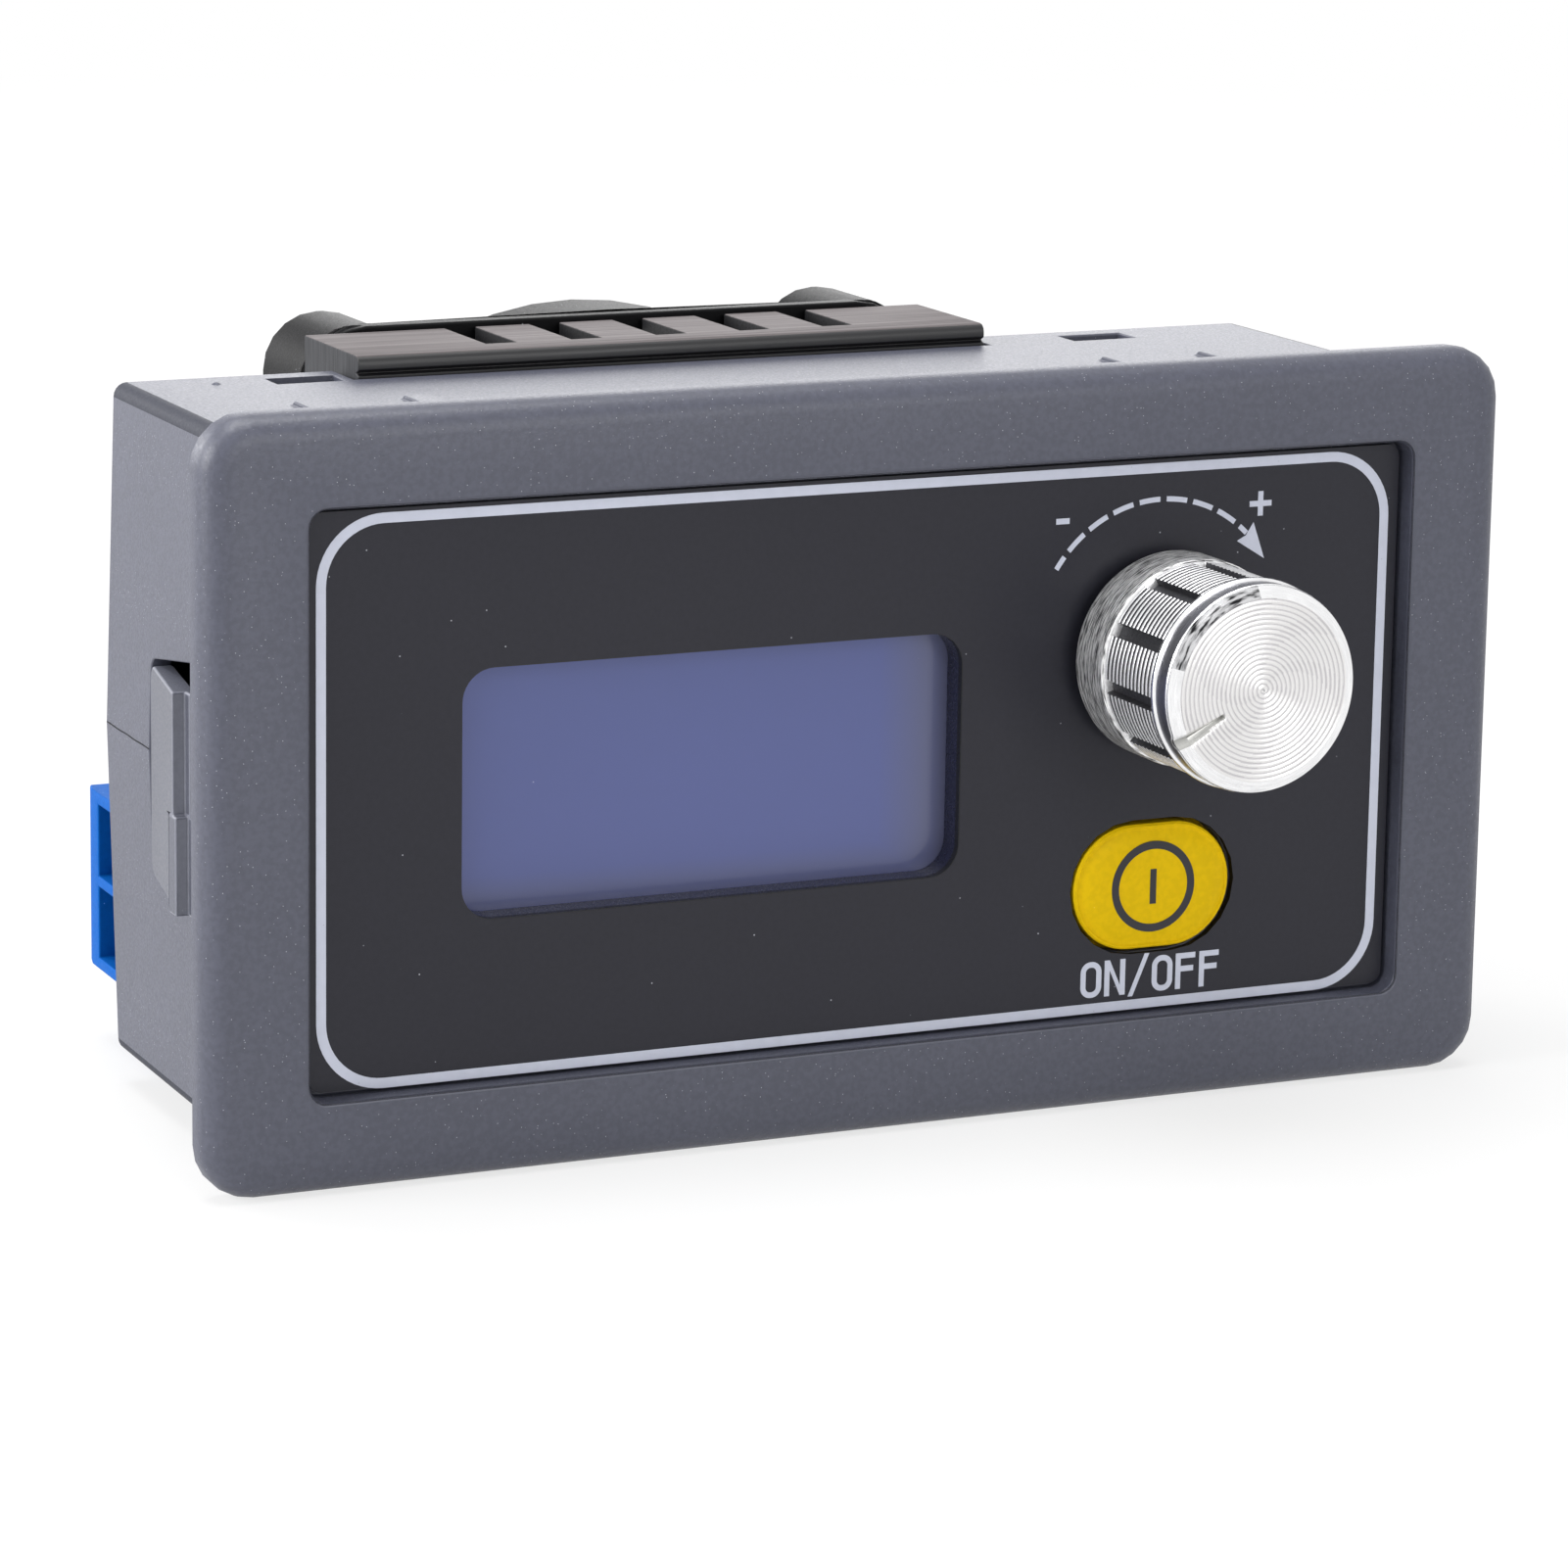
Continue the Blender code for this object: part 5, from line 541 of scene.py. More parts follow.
BLACK_BOARD = SolderMask("black_board", "#0f1512", 0.35, field_colour="#16211b")  # black lacquered board
GREEN_BOARD = SolderMask("green_black_board", "#0e1713", 0.35, field_colour="#15251c")  # green-black board
CHIP_EPOXY = MouldedPlastic("chip_epoxy", "#222224", 0.55, grain=0.1, grain_depth=0.006)  # dull black resin
HEADER_BLACK = MouldedPlastic("header_plastic", "#171718", 0.5)  # black header bodies
ANODISED_TOP = WorkedMetal(
    "anodised_extruded", "#6e6768", 0.6, 0.0, spot=0.9, dark="#413c3d", stretch=(30.0, 0.5, 0.5), low=0.3,
    high=0.7, mark_depth=0.01, sheen_level=0.3,
)  # drawn lines along the extrusion
ANODISED_FIN = WorkedMetal(
    "anodised_fins", "#1d1d20", 0.55, 0.0, spot=0.6, dark="#0e0e10", stretch=(30.0, 0.5, 0.5),
    mark_depth=0.01, sheen_level=0.3,
)  # dark flanks
ANODISED_BEAD = WorkedMetal(
    "anodised_bead", "#1e1e21", 0.34, 0.0, spot=0.6, dark="#101012", stretch=(30.0, 0.5, 0.5),
)  # glossier black front edge
ANODISED_SAWN = WorkedMetal(
    "anodised_sawn", "#38393e", 0.55, 0.1, spot=0.3, dark="#1d1e21", stretch=(1.0, 0.5, 14.0),
    mark_depth=0.01, sheen_level=0.3,
)  # saw marks down the ends
FAN_PLASTIC = MouldedPlastic(
    "fan_plastic", "#0c0c0e", 0.46, grain=0.12, drift=0.15, sheen_level=0.1,
)  # satin black frame
ROTOR_PLASTIC = MouldedPlastic(
    "rotor_plastic", "#222224", 0.4, grain=0.12, drift=0.12, sheen_level=0.35,
)  # greyer, glossier wheel
WINDING = WoundWire("copper_winding", "#b4602a", 0.35, 0.6)  # reddish copper turns
BLUE_NYLON = MouldedPlastic(
    "blue_nylon", "#0055a6", 0.6, grain=0.12, grain_depth=0.004, drift=0.06, speck_colour="#7fb5ee",
    speck_spacing=0.8, speck_radius=0.04, speck_share=0.3, sheen_level=0.08,
)  # bright blue terminal
JACK_BLACK = MouldedPlastic("jack_plastic", "#1a1a1b", 0.42)  # black jack
SOCKET_NYLON = MouldedPlastic("socket_nylon", "#dcd9cc", 0.42, speck_colour="#b9b5a6")  # cream headers
CAN_ALUMINIUM = WorkedMetal(
    "capacitor_can", "#c9c9cb", 0.28, 1.0, spot=0.2, dark="#9c9c9f", stretch=(1.0, 18.0, 1.0),
)  # bright drawn can
CERAMIC = MouldedPlastic("chip_ceramic", "#a98f6e", 0.45, speck_share=0.1)  # tan ceramic
PIN_ONE = PrintedInk("mark_ink", "#8f9094", 0.5)  # grey dot at a chip's first leg
CAN_INK = PrintedInk("can_ink", "#1a1b20", 0.45)  # black field that marks the capacitor's minus side
RESISTOR = MouldedPlastic("resistor_glass", "#18181a", 0.3, speck_share=0.05)  # black resistor top


@dataclass
class Surface:
    """Vertices in drawing millimetres and faces of one corner count, with the finish they take."""

    vertices: np.ndarray
    faces: list[np.ndarray]
    finish: int = 0
    chart: Optional[np.ndarray] = None
    finishes: Optional[np.ndarray] = None

    def volume(self) -> float:
        """Signed volume: the sum over the faces' triangles of corner times cross product of the other two.

        Returns:
            Volume, positive where the faces point outwards.
        """
        total = 0.0
        for group in self.faces:
            corners = self.vertices[group]
            for step in range(1, group.shape[1] - 1):
                sides = np.cross(corners[:, step], corners[:, step + 1])
                total += float(np.einsum("ij,ij->", corners[:, 0], sides)) / 6.0
        return total

    def outward(self) -> "Surface":
        """The same surface with its faces turned outwards."""
        if self.volume() < 0.0:
            self.faces = [group[:, ::-1] for group in self.faces]
        return self


def grid(points: np.ndarray, round_columns: bool = True, caps: bool = True) -> Surface:
    """Surface over a grid of points, row after row, with quads between neighbours.

    Args:
        points: Rows by columns by three.
        round_columns: Join the last column to the first.
        caps: Close the first and the last row with one face each.

    Returns:
        The surface, facing outwards.
    """
    rows, columns = points.shape[:2]
    index = np.arange(rows * columns).reshape(rows, columns)
    right = np.roll(index, -1, axis=1) if round_columns else index[:, 1:]
    left = index if round_columns else index[:, :-1]
    quads = np.stack([left[:-1], left[1:], right[1:], right[:-1]], axis=-1).reshape(-1, 4)
    faces = [quads]
    if caps:
        faces.append(index[:1])
        faces.append(index[-1:, ::-1])
    return Surface(points.reshape(-1, 3), faces).outward()


def arc(centre: Pair, radius: float, start: float, stop: float, steps: int) -> np.ndarray:
    """Points on an arc: centre plus radius times cosine and sine of evenly spaced angles in degrees."""
    turn = np.radians(np.linspace(start, stop, steps + 1))
    return np.stack([centre[0] + radius * np.cos(turn), centre[1] + radius * np.sin(turn)], axis=1)


def rounded(
    width: float, height: float, radius: float, centre: Pair = (0.0, 0.0), steps: int = 8
) -> np.ndarray:
    """Outline of a rectangle with round corners: a quarter arc about each corner's centre."""
    reach = (width / 2 - radius, height / 2 - radius)
    signs = ((1, 1), (-1, 1), (-1, -1), (1, -1))
    quarters = [
        arc((centre[0] + u * reach[0], centre[1] + v * reach[1]), radius, 90.0 * n, 90.0 * n + 90.0, steps)
        for n, (u, v) in enumerate(signs)
    ]
    return np.concatenate(quarters)


def stadium(width: float, height: float, centre: Pair, steps: int = 24) -> np.ndarray:
    """Outline with straight long sides and half-round ends."""
    reach = (width - height) / 2
    right = arc((centre[0] + reach, centre[1]), height / 2, -90.0, 90.0, steps)
    left = arc((centre[0] - reach, centre[1]), height / 2, 90.0, 270.0, steps)
    return np.concatenate([right, left])


def circle(radius: float, centre: Pair = (0.0, 0.0), steps: int = 32) -> np.ndarray:
    """Outline of a circle."""
    return arc(centre, radius, 0.0, 360.0 - 360.0 / steps, steps - 1)


def at_depth(outline: np.ndarray, depth: float) -> np.ndarray:
    """Points of an outline in X and Z, set at a depth behind the front plane."""
    return np.stack([outline[:, 0], np.full(len(outline), depth), outline[:, 1]], axis=1)


def stack(outlines: Sequence[np.ndarray], depths: Sequence[float]) -> Surface:
    """Closed solid through outlines of equal length, each at its own depth behind the front plane."""
    return grid(np.stack([at_depth(outline, depth) for outline, depth in zip(outlines, depths)]))


def eased_block(low: Triple, high: Triple, ease: float = 0.08, corner: float = 0.12) -> Surface:
    """Block with rounded upright corners and eased rims: rounded rectangles, drawn in at both ends."""
    size = (high[0] - low[0], high[2] - low[2])
    centre = ((high[0] + low[0]) / 2, (high[2] + low[2]) / 2)
    corner = max(corner, ease * 1.05)
    full = rounded(size[0], size[1], corner, centre, 3)
    small = rounded(size[0] - 2 * ease, size[1] - 2 * ease, corner - ease, centre, 3)
    return stack([small, full, full, small], [low[1], low[1] + ease, high[1] - ease, high[1]])


def turned(profile: np.ndarray, centre: Pair, steps: int = 48) -> Surface:
    """Closed solid of revolution about Y: each profile row of radius and depth goes round the centre."""
    turn = np.linspace(0.0, 2 * np.pi, steps, endpoint=False)
    radius, depth = profile[:, :1], profile[:, 1:]
    x = centre[0] + radius * np.cos(turn)
    z = centre[1] + radius * np.sin(turn)
    return grid(np.stack([x, np.broadcast_to(depth, x.shape), z], axis=-1))


def ribbon(path: np.ndarray, width: float, depth: float, proud: float, closed: bool = False) -> Surface:
    """Flat bar of ink: a low box profile carried along a path in the front plane.

    The path's normal is its tangent turned a quarter. The four profile points lie half the width to either
    side of the path, at the surface's depth and at the ink's front.

    Args:
        path: Points of X and Z.
        width: Width of the bar.
        depth: Depth of the surface that the ink lies on.
        proud: Height of the ink.
        closed: The path ends where it starts.

    Returns:
        The closed bar.
    """
    if closed:
        ahead, behind = np.roll(path, -1, axis=0), np.roll(path, 1, axis=0)
    else:
        ahead = np.concatenate([path[1:], path[-1:]])
        behind = np.concatenate([path[:1], path[:-1]])
    tangent = ahead - behind
    tangent = tangent / np.linalg.norm(tangent, axis=1, keepdims=True)
    normal = np.stack([-tangent[:, 1], tangent[:, 0]], axis=1)
    sides = np.array([-1.0, -1.0, 1.0, 1.0]) * width / 2
    levels = np.array([depth, depth - proud, depth - proud, depth])
    flat = path[:, None, :] + sides[None, :, None] * normal[:, None, :]
    points = np.stack([flat[..., 0], np.broadcast_to(levels, flat.shape[:2]), flat[..., 1]], axis=-1)
    if closed:
        points = np.concatenate([points, points[:1]])
    return grid(points, caps=not closed)


def stroke(start: Pair, end: Pair, width: float, depth: float, proud: float) -> Surface:
    """Straight bar of ink between two points."""
    share = np.linspace(0.0, 1.0, 3)[:, None]
    path = np.array(start) * (1.0 - share) + np.array(end) * share
    return ribbon(path, width, depth, proud)


class Piece:
    """A scene object gathered from surfaces, which rides on one body."""

    def __init__(self, name: str, body: str, finishes: Sequence[Finish]) -> None:
        """Start an empty piece.

        Args:
            name: Name of the object.
            body: CAD body that it moves with.
            finishes: Finishes by number.
        """
        self.name = name
        self.body = body
        self.finishes = finishes
        self.surfaces: list[Surface] = []

    def add(self, surface: Surface, finish: Optional[int] = None) -> "Piece":
        """Take in one more surface, with a finish number if it isn't the surface's own."""
        if finish is not None:
            surface.finish = finish
        self.surfaces.append(surface)
        return self

    def build(self, slot: str, replaces: Sequence[str] = (), sharp: float = 32.0) -> bpy.types.Object:
        """Make the mesh object.

        Args:
            slot: Material slot of the record for the piece; not used.
            replaces: CAD nodes that it stands for.
            sharp: Angle in degrees above which an edge stays sharp.

        Returns:
            The object.
        """
        vertices = np.concatenate([surface.vertices for surface in self.surfaces])
        faces: list[list[int]] = []
        numbers: list[np.ndarray] = []
        start = 0
        for surface in self.surfaces:
            for place, group in enumerate(surface.faces):
                faces += (group + start).tolist()
                own = surface.finishes if place == 0 else None
                numbers.append(own if own is not None else np.full(len(group), surface.finish))
            start += len(surface.vertices)
        mesh = bpy.data.meshes.new(self.name)
        mesh.from_pydata(to_world(vertices).tolist(), [], faces)
        for finish in self.finishes:
            mesh.materials.append(finish.material())
        mesh.polygons.foreach_set("material_index", np.concatenate(numbers).astype(np.int32))
        if any(surface.chart is not None for surface in self.surfaces):
            self.lay_chart(mesh)
        mesh.shade_smooth()
        mesh.set_sharp_from_angle(angle=np.radians(sharp))
        mesh.update()
        return settle(new_object(self.name, mesh), self.body, replaces)

    def lay_chart(self, mesh: bpy.types.Mesh) -> None:
        """Write the surfaces' own pattern coordinates as the mesh's UV map."""
        charts = [
            surface.chart if surface.chart is not None else np.zeros((len(surface.vertices), 2))
            for surface in self.surfaces
        ]
        corners = np.zeros(len(mesh.loops), dtype=np.int32)
        mesh.loops.foreach_get("vertex_index", corners)
        layer = mesh.uv_layers.new(name="chart")
        layer.data.foreach_set("uv", np.concatenate(charts)[corners].astype(np.float32).ravel())


def settle(piece: bpy.types.Object, body: str, replaces: Sequence[str] = ()) -> bpy.types.Object:
    """Give an object its body and the nodes it stands for."""
    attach(piece, body)
    if replaces:
        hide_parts(*replaces)
    LOG.info("%s rides on %s", piece.name, body)
    return piece


@dataclass(frozen=True)
class CrossScrew:
    """Pan-head screw with a cross recess and a thread, in place of a CAD screw."""

    head_radius: float
    head_height: float
    shank_radius: float
    reach: float
    arm: float
    recess: float
    pitch: float = 0.5
    finish: Finish = ZINC_STEEL
    dome: float = 3.5
    wall_run: float = 0.07
    end_run: float = 0.35
    thread_share: float = 0.28
    neck: float = 0.4

    def head_surface(self, steps: int = 96) -> np.ndarray:
        """Rows of X, height and Z over the head, from its middle to its rim.

        The height is the head's own times one less the radius' share to the dome's power, under a root. The
        recess takes away its depth where the nearer of the two cross directions is within half an arm, with
        a short ramp at the walls and a longer one at the arms' ends.

        Args:
            steps: Points round the head.

        Returns:
            Rows by columns by three.
        """
        share = np.concatenate([np.linspace(0.02, 0.8, 26), np.linspace(0.83, 0.99, 9), [0.998]])[:, None]
        turn = np.linspace(0.0, 2 * np.pi, steps, endpoint=False)
        radius = share * self.head_radius
        x, z = radius * np.cos(turn), radius * np.sin(turn)
        height = np.broadcast_to(self.head_height * np.sqrt(1.0 - share**self.dome), x.shape)
        narrow = np.minimum(np.abs(x), np.abs(z))
        wide = np.maximum(np.abs(x), np.abs(z))
        walls = np.minimum((self.arm / 2 - narrow) / self.wall_run, (self.reach - wide) / self.end_run)
        return np.stack([x, height - self.recess * np.clip(walls, 0.0, 1.0), z], axis=-1)

    def thread_surface(self, length: float, steps: int = 24) -> np.ndarray:
        """Rows of the shank, whose radius past the neck dips as a cosine of the thread's turn."""
        rows = np.linspace(0.0, length, max(int(length / self.pitch * 5), 4))[:, None]
        turn = np.linspace(0.0, 2 * np.pi, steps, endpoint=False)
        wave = 0.5 + 0.5 * np.cos(2 * np.pi * rows / self.pitch - turn)
        radius = self.shank_radius - self.thread_share * self.pitch * wave * (rows > self.neck)
        x, z = radius * np.cos(turn), radius * np.sin(turn)
        return np.stack([x, np.broadcast_to(-rows, radius.shape), z], axis=-1)

    def build(self, node: str, facing: float = 1.0) -> None:
        """Make the screw where its CAD node is.

        Args:
            node: The CAD screw.
            facing: One for a head that faces the rear and minus one for the front.
        """
        front, rear = front_of(node), rear_of(node)
        seat = rear - self.head_height if facing > 0.0 else front + self.head_height
        x, z = middle_of(node)
        middle = np.array([x, seat, z])
        flip = np.array([1.0, facing, 1.0])
        length = rear - front - self.head_height
        piece = Piece(f"{node}_dressed", body_of(node), (self.finish,))
        for rows in (self.head_surface(), self.thread_surface(length)):
            piece.add(grid(middle + rows * flip))
        piece.build(slot_of(node), [node], 40.0)


def body_of(node: str) -> str:
    """CAD body that a node belongs to."""
    groups = frame["record"]["behaviour"]["bodies"]
    return next(body for body, members in groups.items() if node in members)


def slot_of(node: str) -> str:
    """Material slot that the record gives a CAD node."""
    return next(row["material_slot"] for row in frame["record"]["subparts"] if row["node"] == node)


@dataclass(frozen=True)
class SoftenedCopy:
    """Merged copy of a CAD node: flats in one face, small bevels on its corners and smooth round faces."""

    node: str
    finishes: tuple[Finish, ...]
    bevel: float = 0.1
    sharp: float = 30.0
    edge_finish: int = 0
    choose: Optional[Callable[[np.ndarray, np.ndarray], np.ndarray]] = None

    def build(self) -> bpy.types.Object:
        """Make the copy in place of its node.

        The node's loose triangles are merged and their flat neighbours joined, then a chosen finish is set
        for each face from its centre and normal, and a bevel modifier rounds what is left sharp.

        Returns:
            The object.
        """
        source = frame["nodes"][self.node]
        shape = bmesh.new()
        shape.from_mesh(source.data)
        bmesh.ops.remove_doubles(shape, verts=shape.verts, dist=0.002 * MM)
        bmesh.ops.dissolve_limit(
            shape, angle_limit=np.radians(0.6), verts=shape.verts, edges=shape.edges, delimit=set()
        )
        mesh = bpy.data.meshes.new(f"{self.node}_dressed")
        shape.to_mesh(mesh)
        shape.free()
        custom = mesh.attributes.get("custom_normal")
        if custom is not None:
            mesh.attributes.remove(custom)
        mesh.materials.clear()
        for finish in self.finishes:
            mesh.materials.append(finish.material())
        self.paint(mesh)
        mesh.shade_smooth()
        mesh.set_sharp_from_angle(angle=np.radians(self.sharp))
        piece = new_object(f"{self.node}_dressed", mesh)
        if self.bevel:
            rounding = piece.modifiers.new("rounding", "BEVEL")
            rounding.width = self.bevel * MM
            rounding.segments = 2
            rounding.limit_method = "ANGLE"
            rounding.angle_limit = np.radians(self.sharp + 3.0)
            rounding.use_clamp_overlap = False
            rounding.harden_normals = True
            rounding.material = self.edge_finish if self.edge_finish else -1
        return settle(piece, body_of(self.node), [self.node])

    def paint(self, mesh: bpy.types.Mesh) -> None:
        """Set each face's finish number from its centre in drawing millimetres and its normal."""
        numbers = np.zeros(len(mesh.polygons), dtype=np.int32)
        if self.choose is not None:
            centres = np.zeros(len(mesh.polygons) * 3)
            normals = np.zeros(len(mesh.polygons) * 3)
            mesh.polygons.foreach_get("center", centres)
            mesh.polygons.foreach_get("normal", normals)
            centres = (centres.reshape(-1, 3) - ORIGIN) / MM
            numbers = self.choose(centres, normals.reshape(-1, 3)).astype(np.int32)
        mesh.polygons.foreach_set("material_index", numbers)


def dress_nodes(nodes: Sequence[str], finish: Finish) -> None:
    """Give CAD nodes that stay as they are their finish."""
    for node in nodes:
        mesh = frame["nodes"][node].data
        mesh.materials.clear()
        mesh.materials.append(finish.material())
        LOG.info("%s is dressed in %s", node, finish.name)


@dataclass(frozen=True)
class PhotoCamera:
    """Pinhole camera fitted to the photograph, with its place in drawing millimetres and its axes."""

    picture: int = 1601
    focal_pixels: float = 5579.127
    centre_pixels: Pair = (527.163, 584.814)
    place: Triple = (-130.407, -267.931, 66.979)
    right: Triple = (0.92735401, -0.37413263, 0.00627028)
    down: Triple = (-0.06390486, -0.17486603, -0.98251618)
    sensor: float = 36.0
    clip: Pair = (0.01, 20.0)

    def build(self) -> None:
        """Add the camera: its lens and shifts are the pixel values over the picture's width."""
        data = bpy.data.cameras.new("photo_camera")
        data.sensor_width = self.sensor
        data.lens = self.focal_pixels / self.picture * self.sensor
        data.shift_x = (self.picture / 2 - self.centre_pixels[0]) / self.picture
        data.shift_y = (self.centre_pixels[1] - self.picture / 2) / self.picture
        data.clip_start, data.clip_end = self.clip
        camera = new_object("photo_camera", data)
        right = np.array(self.right) / np.linalg.norm(self.right)
        up = -np.array(self.down) / np.linalg.norm(self.down)
        back = np.cross(right, up)
        turned_axes = Matrix(np.stack([right, up, back], axis=1).tolist()).to_4x4()
        camera.matrix_world = Matrix.Translation(to_world(self.place).tolist()) @ turned_axes
        bpy.context.scene.camera = camera


@dataclass(frozen=True)
class Studio:
    """White floor and backdrop with soft lamps above, to the left and in front."""

    backdrop: str = "#ffffff"
    floor_colour: str = "#e8e8e8"
    floor_half: float = 1.5
    aim: Triple = (0.0, 10.0, 0.0)
    ambient: float = 0.42
    glow: float = 0.72
    fade_start: float = 0.3
    fade_end: float = 0.6
    lamps: tuple[tuple[str, Triple, float, float], ...] = (
        ("overhead_softbox", (-60.0, 60.0, 620.0), 420.0, 3.3),
        ("left_softbox", (-640.0, 40.0, 250.0), 380.0, 4.0),
        ("front_softbox", (120.0, -700.0, 260.0), 360.0, 1.5),
        ("back_right_softbox", (270.0, 640.0, 225.0), 360.0, 0.9),
        ("back_left_softbox", (-420.0, 560.0, 225.0), 300.0, 1.8),
    )

    def build(self) -> None:
        """Set up the world, the lamps, the floor and the view."""
        bpy.context.scene.view_settings.view_transform = "Standard"
        self.build_world()
        for name, place, size, power in self.lamps:
            self.build_lamp(name, place, size, power)
        self.build_floor()

    def seen_share(self, tree: bpy.types.NodeTree) -> Socket:
        """Socket that is one for rays from the camera, a mirror or glass."""
        path = add_node(tree, "ShaderNodeLightPath")
        pattern = Pattern(tree)
        seen = pattern.math("MAXIMUM", path.outputs["Is Camera Ray"], path.outputs["Is Glossy Ray"])
        return pattern.math("MAXIMUM", seen, path.outputs["Is Transmission Ray"])

    def build_world(self) -> None:
        """World that is white to the eye and plain soft light to the rest."""
        world = bpy.data.worlds.new("studio")
        tree = new_tree(world)
        seen = self.seen_share(tree)
        strength = Pattern(tree).between(seen, 0.0, 1.0, self.ambient, 1.0)
        light = add_node(tree, "ShaderNodeBackground", {"Color": linear(self.backdrop), "Strength": strength})
        add_node(tree, "ShaderNodeOutputWorld", {"Surface": light.outputs[0]})
        bpy.context.scene.world = world

    def build_lamp(self, name: str, place: Triple, size: float, power: float) -> None:
        """Add one square area lamp that looks at the unit."""
        data = bpy.data.lights.new(name, "AREA")
        data.size = size * MM
        data.energy = power
        lamp = new_object(name, data)
        spot = to_world(place)
        back = spot - to_world(self.aim)
        back = back / np.linalg.norm(back)
        side = np.cross((0.0, 0.0, 1.0), back)
        side = side / np.linalg.norm(side)
        axes = np.stack([side, np.cross(back, side), back], axis=1)
        lamp.matrix_world = Matrix.Translation(spot.tolist()) @ Matrix(axes.tolist()).to_4x4()

    def build_floor(self) -> None:
        """White floor that keeps the unit's shadow: mostly its own white, partly the light that falls on it.

        Away from the unit the light's part fades out, so the floor meets the backdrop without an edge.
        """
        half = self.floor_half
        mesh = bpy.data.meshes.new("studio_floor")
        corners = [(-half, -half, 0.0), (half, -half, 0.0), (half, half, 0.0), (-half, half, 0.0)]
        mesh.from_pydata(corners, [], [(0, 1, 2, 3)])
        floor = new_object("studio_floor", mesh)
        material = bpy.data.materials.new("studio_floor")
        tree = new_tree(material)
        matte = add_node(tree, "ShaderNodeBsdfDiffuse", {"Color": linear(self.floor_colour)})
        glow = add_node(tree, "ShaderNodeEmission", {"Color": linear(self.backdrop), "Strength": 1.0})
        pattern = Pattern(tree)
        away = add_node(tree, "ShaderNodeVectorMath", {0: pattern.coordinates()}, operation="LENGTH")
        whiteness = pattern.between(away.outputs[1], self.fade_start, self.fade_end, self.glow, 1.0)
        share = pattern.math("MULTIPLY", self.seen_share(tree), whiteness)
        mixed = add_node(tree, "ShaderNodeMixShader", {0: share, 1: matte.outputs[0], 2: glow.outputs[0]})
        add_node(tree, "ShaderNodeOutputMaterial", {"Surface": mixed.outputs[0]})
        mesh.materials.append(material)


@dataclass(frozen=True)
class Housing:
    """Bezel and shell in one moulding, with the two spring clips."""

    rounding: float = 0.12
    line_rear: float = 25.35
    line_front: float = 17.65
    line_width: float = 0.1
    line_height: float = 0.03
    wall: float = 37.0
    stub_place: Triple = (-31.1, 22.9, 19.65)
    stub_radius: float = 0.3
    stub_height: float = 0.14
    stub_wobble: float = 0.15
    sink: float = 0.01
    sway: float = 0.015
    sway_rate: float = 2.1
    slant: float = 0.15

    def build(self) -> None:
        """Dress the moulding with glossier edges and a painted dark reflection on its long corners, and the
        clips with painted highlights on their edges and painted light on their faces along the depth.
        """
        # The shell's third finish is a painted dark reflection on its long corners
        shell = (GREY_ABS, GREY_EDGE, GREY_CORNER_PAINTED_REFLECTION)
        SoftenedCopy("front_housing", shell, self.rounding, edge_finish=1, choose=self.painted_dark_corner_faces).build()
        self.build_parting_lines()
        self.build_gate_mark()
        # The clips' second finish is painted light on their faces along the depth, and their edge finish a
        # painted highlight
        arm = (CLIP_ABS, CLIP_FRONT_PAINTED_LIGHT, CLIP_EDGE_PAINTED_HIGHLIGHT)
        for clip in ("clip_left", "clip_right"):
            SoftenedCopy(clip, arm, self.rounding, edge_finish=2, choose=self.front_faces_painted_light).build()

    def build_gate_mark(self) -> None:
        """Small broken-off stub on the shell's top: a dome whose height falls as a cosine of its radius."""
        radius = np.linspace(0.02, self.stub_radius, 9)[:, None]
        turn = np.linspace(0.0, 2 * np.pi, 24, endpoint=False)
        uneven = 1.0 + self.stub_wobble * np.sin(3 * turn) * radius / self.stub_radius
        height = self.stub_height * np.cos(radius / self.stub_radius * np.pi / 2) - self.sink
        dome = np.stack([
            self.stub_place[0] + radius * uneven * np.cos(turn),
            self.stub_place[1] + radius * uneven * np.sin(turn),
            self.stub_place[2] + np.broadcast_to(height, (len(radius), len(turn))),
        ], axis=-1)
        Piece("gate_stub", "unit", (GREY_ABS,)).add(grid(dome)).build(slot_of("front_housing"))

    def painted_dark_corner_faces(self, centres: np.ndarray, normals: np.ndarray) -> np.ndarray:
        """Rounded long corners of the shell take a darker finish: a painted dark reflection."""
        across, along, upright = np.abs(normals).T
        slanted = (across > self.slant) & (upright > self.slant) & (along < 0.2)
        return np.where(slanted & (centres[:, 1] > 3.0), 2, 0)

    def build_parting_lines(self) -> None:
        """Fine ridge where the mould's halves meet: a low roof profile carried along each side wall."""
        # The ridge's near-black finish is painted shade along the parting line
        piece = Piece("parting_lines", "unit", (PARTING_PAINTED_SHADE,))
        depths = np.linspace(self.line_front, self.line_rear, 40)
        sway = self.sway * np.sin(depths * self.sway_rate)
        roof = np.array([[-0.03, -1.0], [1.0, 0.0], [-0.03, 1.0]]) * (self.line_height, self.line_width / 2)
        for side in (-1.0, 1.0):
            across = np.broadcast_to(side * (self.wall + roof[:, 0]), (len(depths), 3))
            heights = roof[:, 1] + sway[:, None]
            rows = np.stack([across, np.repeat(depths[:, None], 3, axis=1), heights], axis=-1)
            piece.add(grid(rows))
        piece.build(slot_of("front_housing"))

    def front_faces_painted_light(self, centres: np.ndarray, normals: np.ndarray) -> np.ndarray:
        """Faces of a clip that face along the depth take a lighter finish: painted light against the flange's
        shade.
        """
        return np.abs(normals[:, 1]) > 0.6


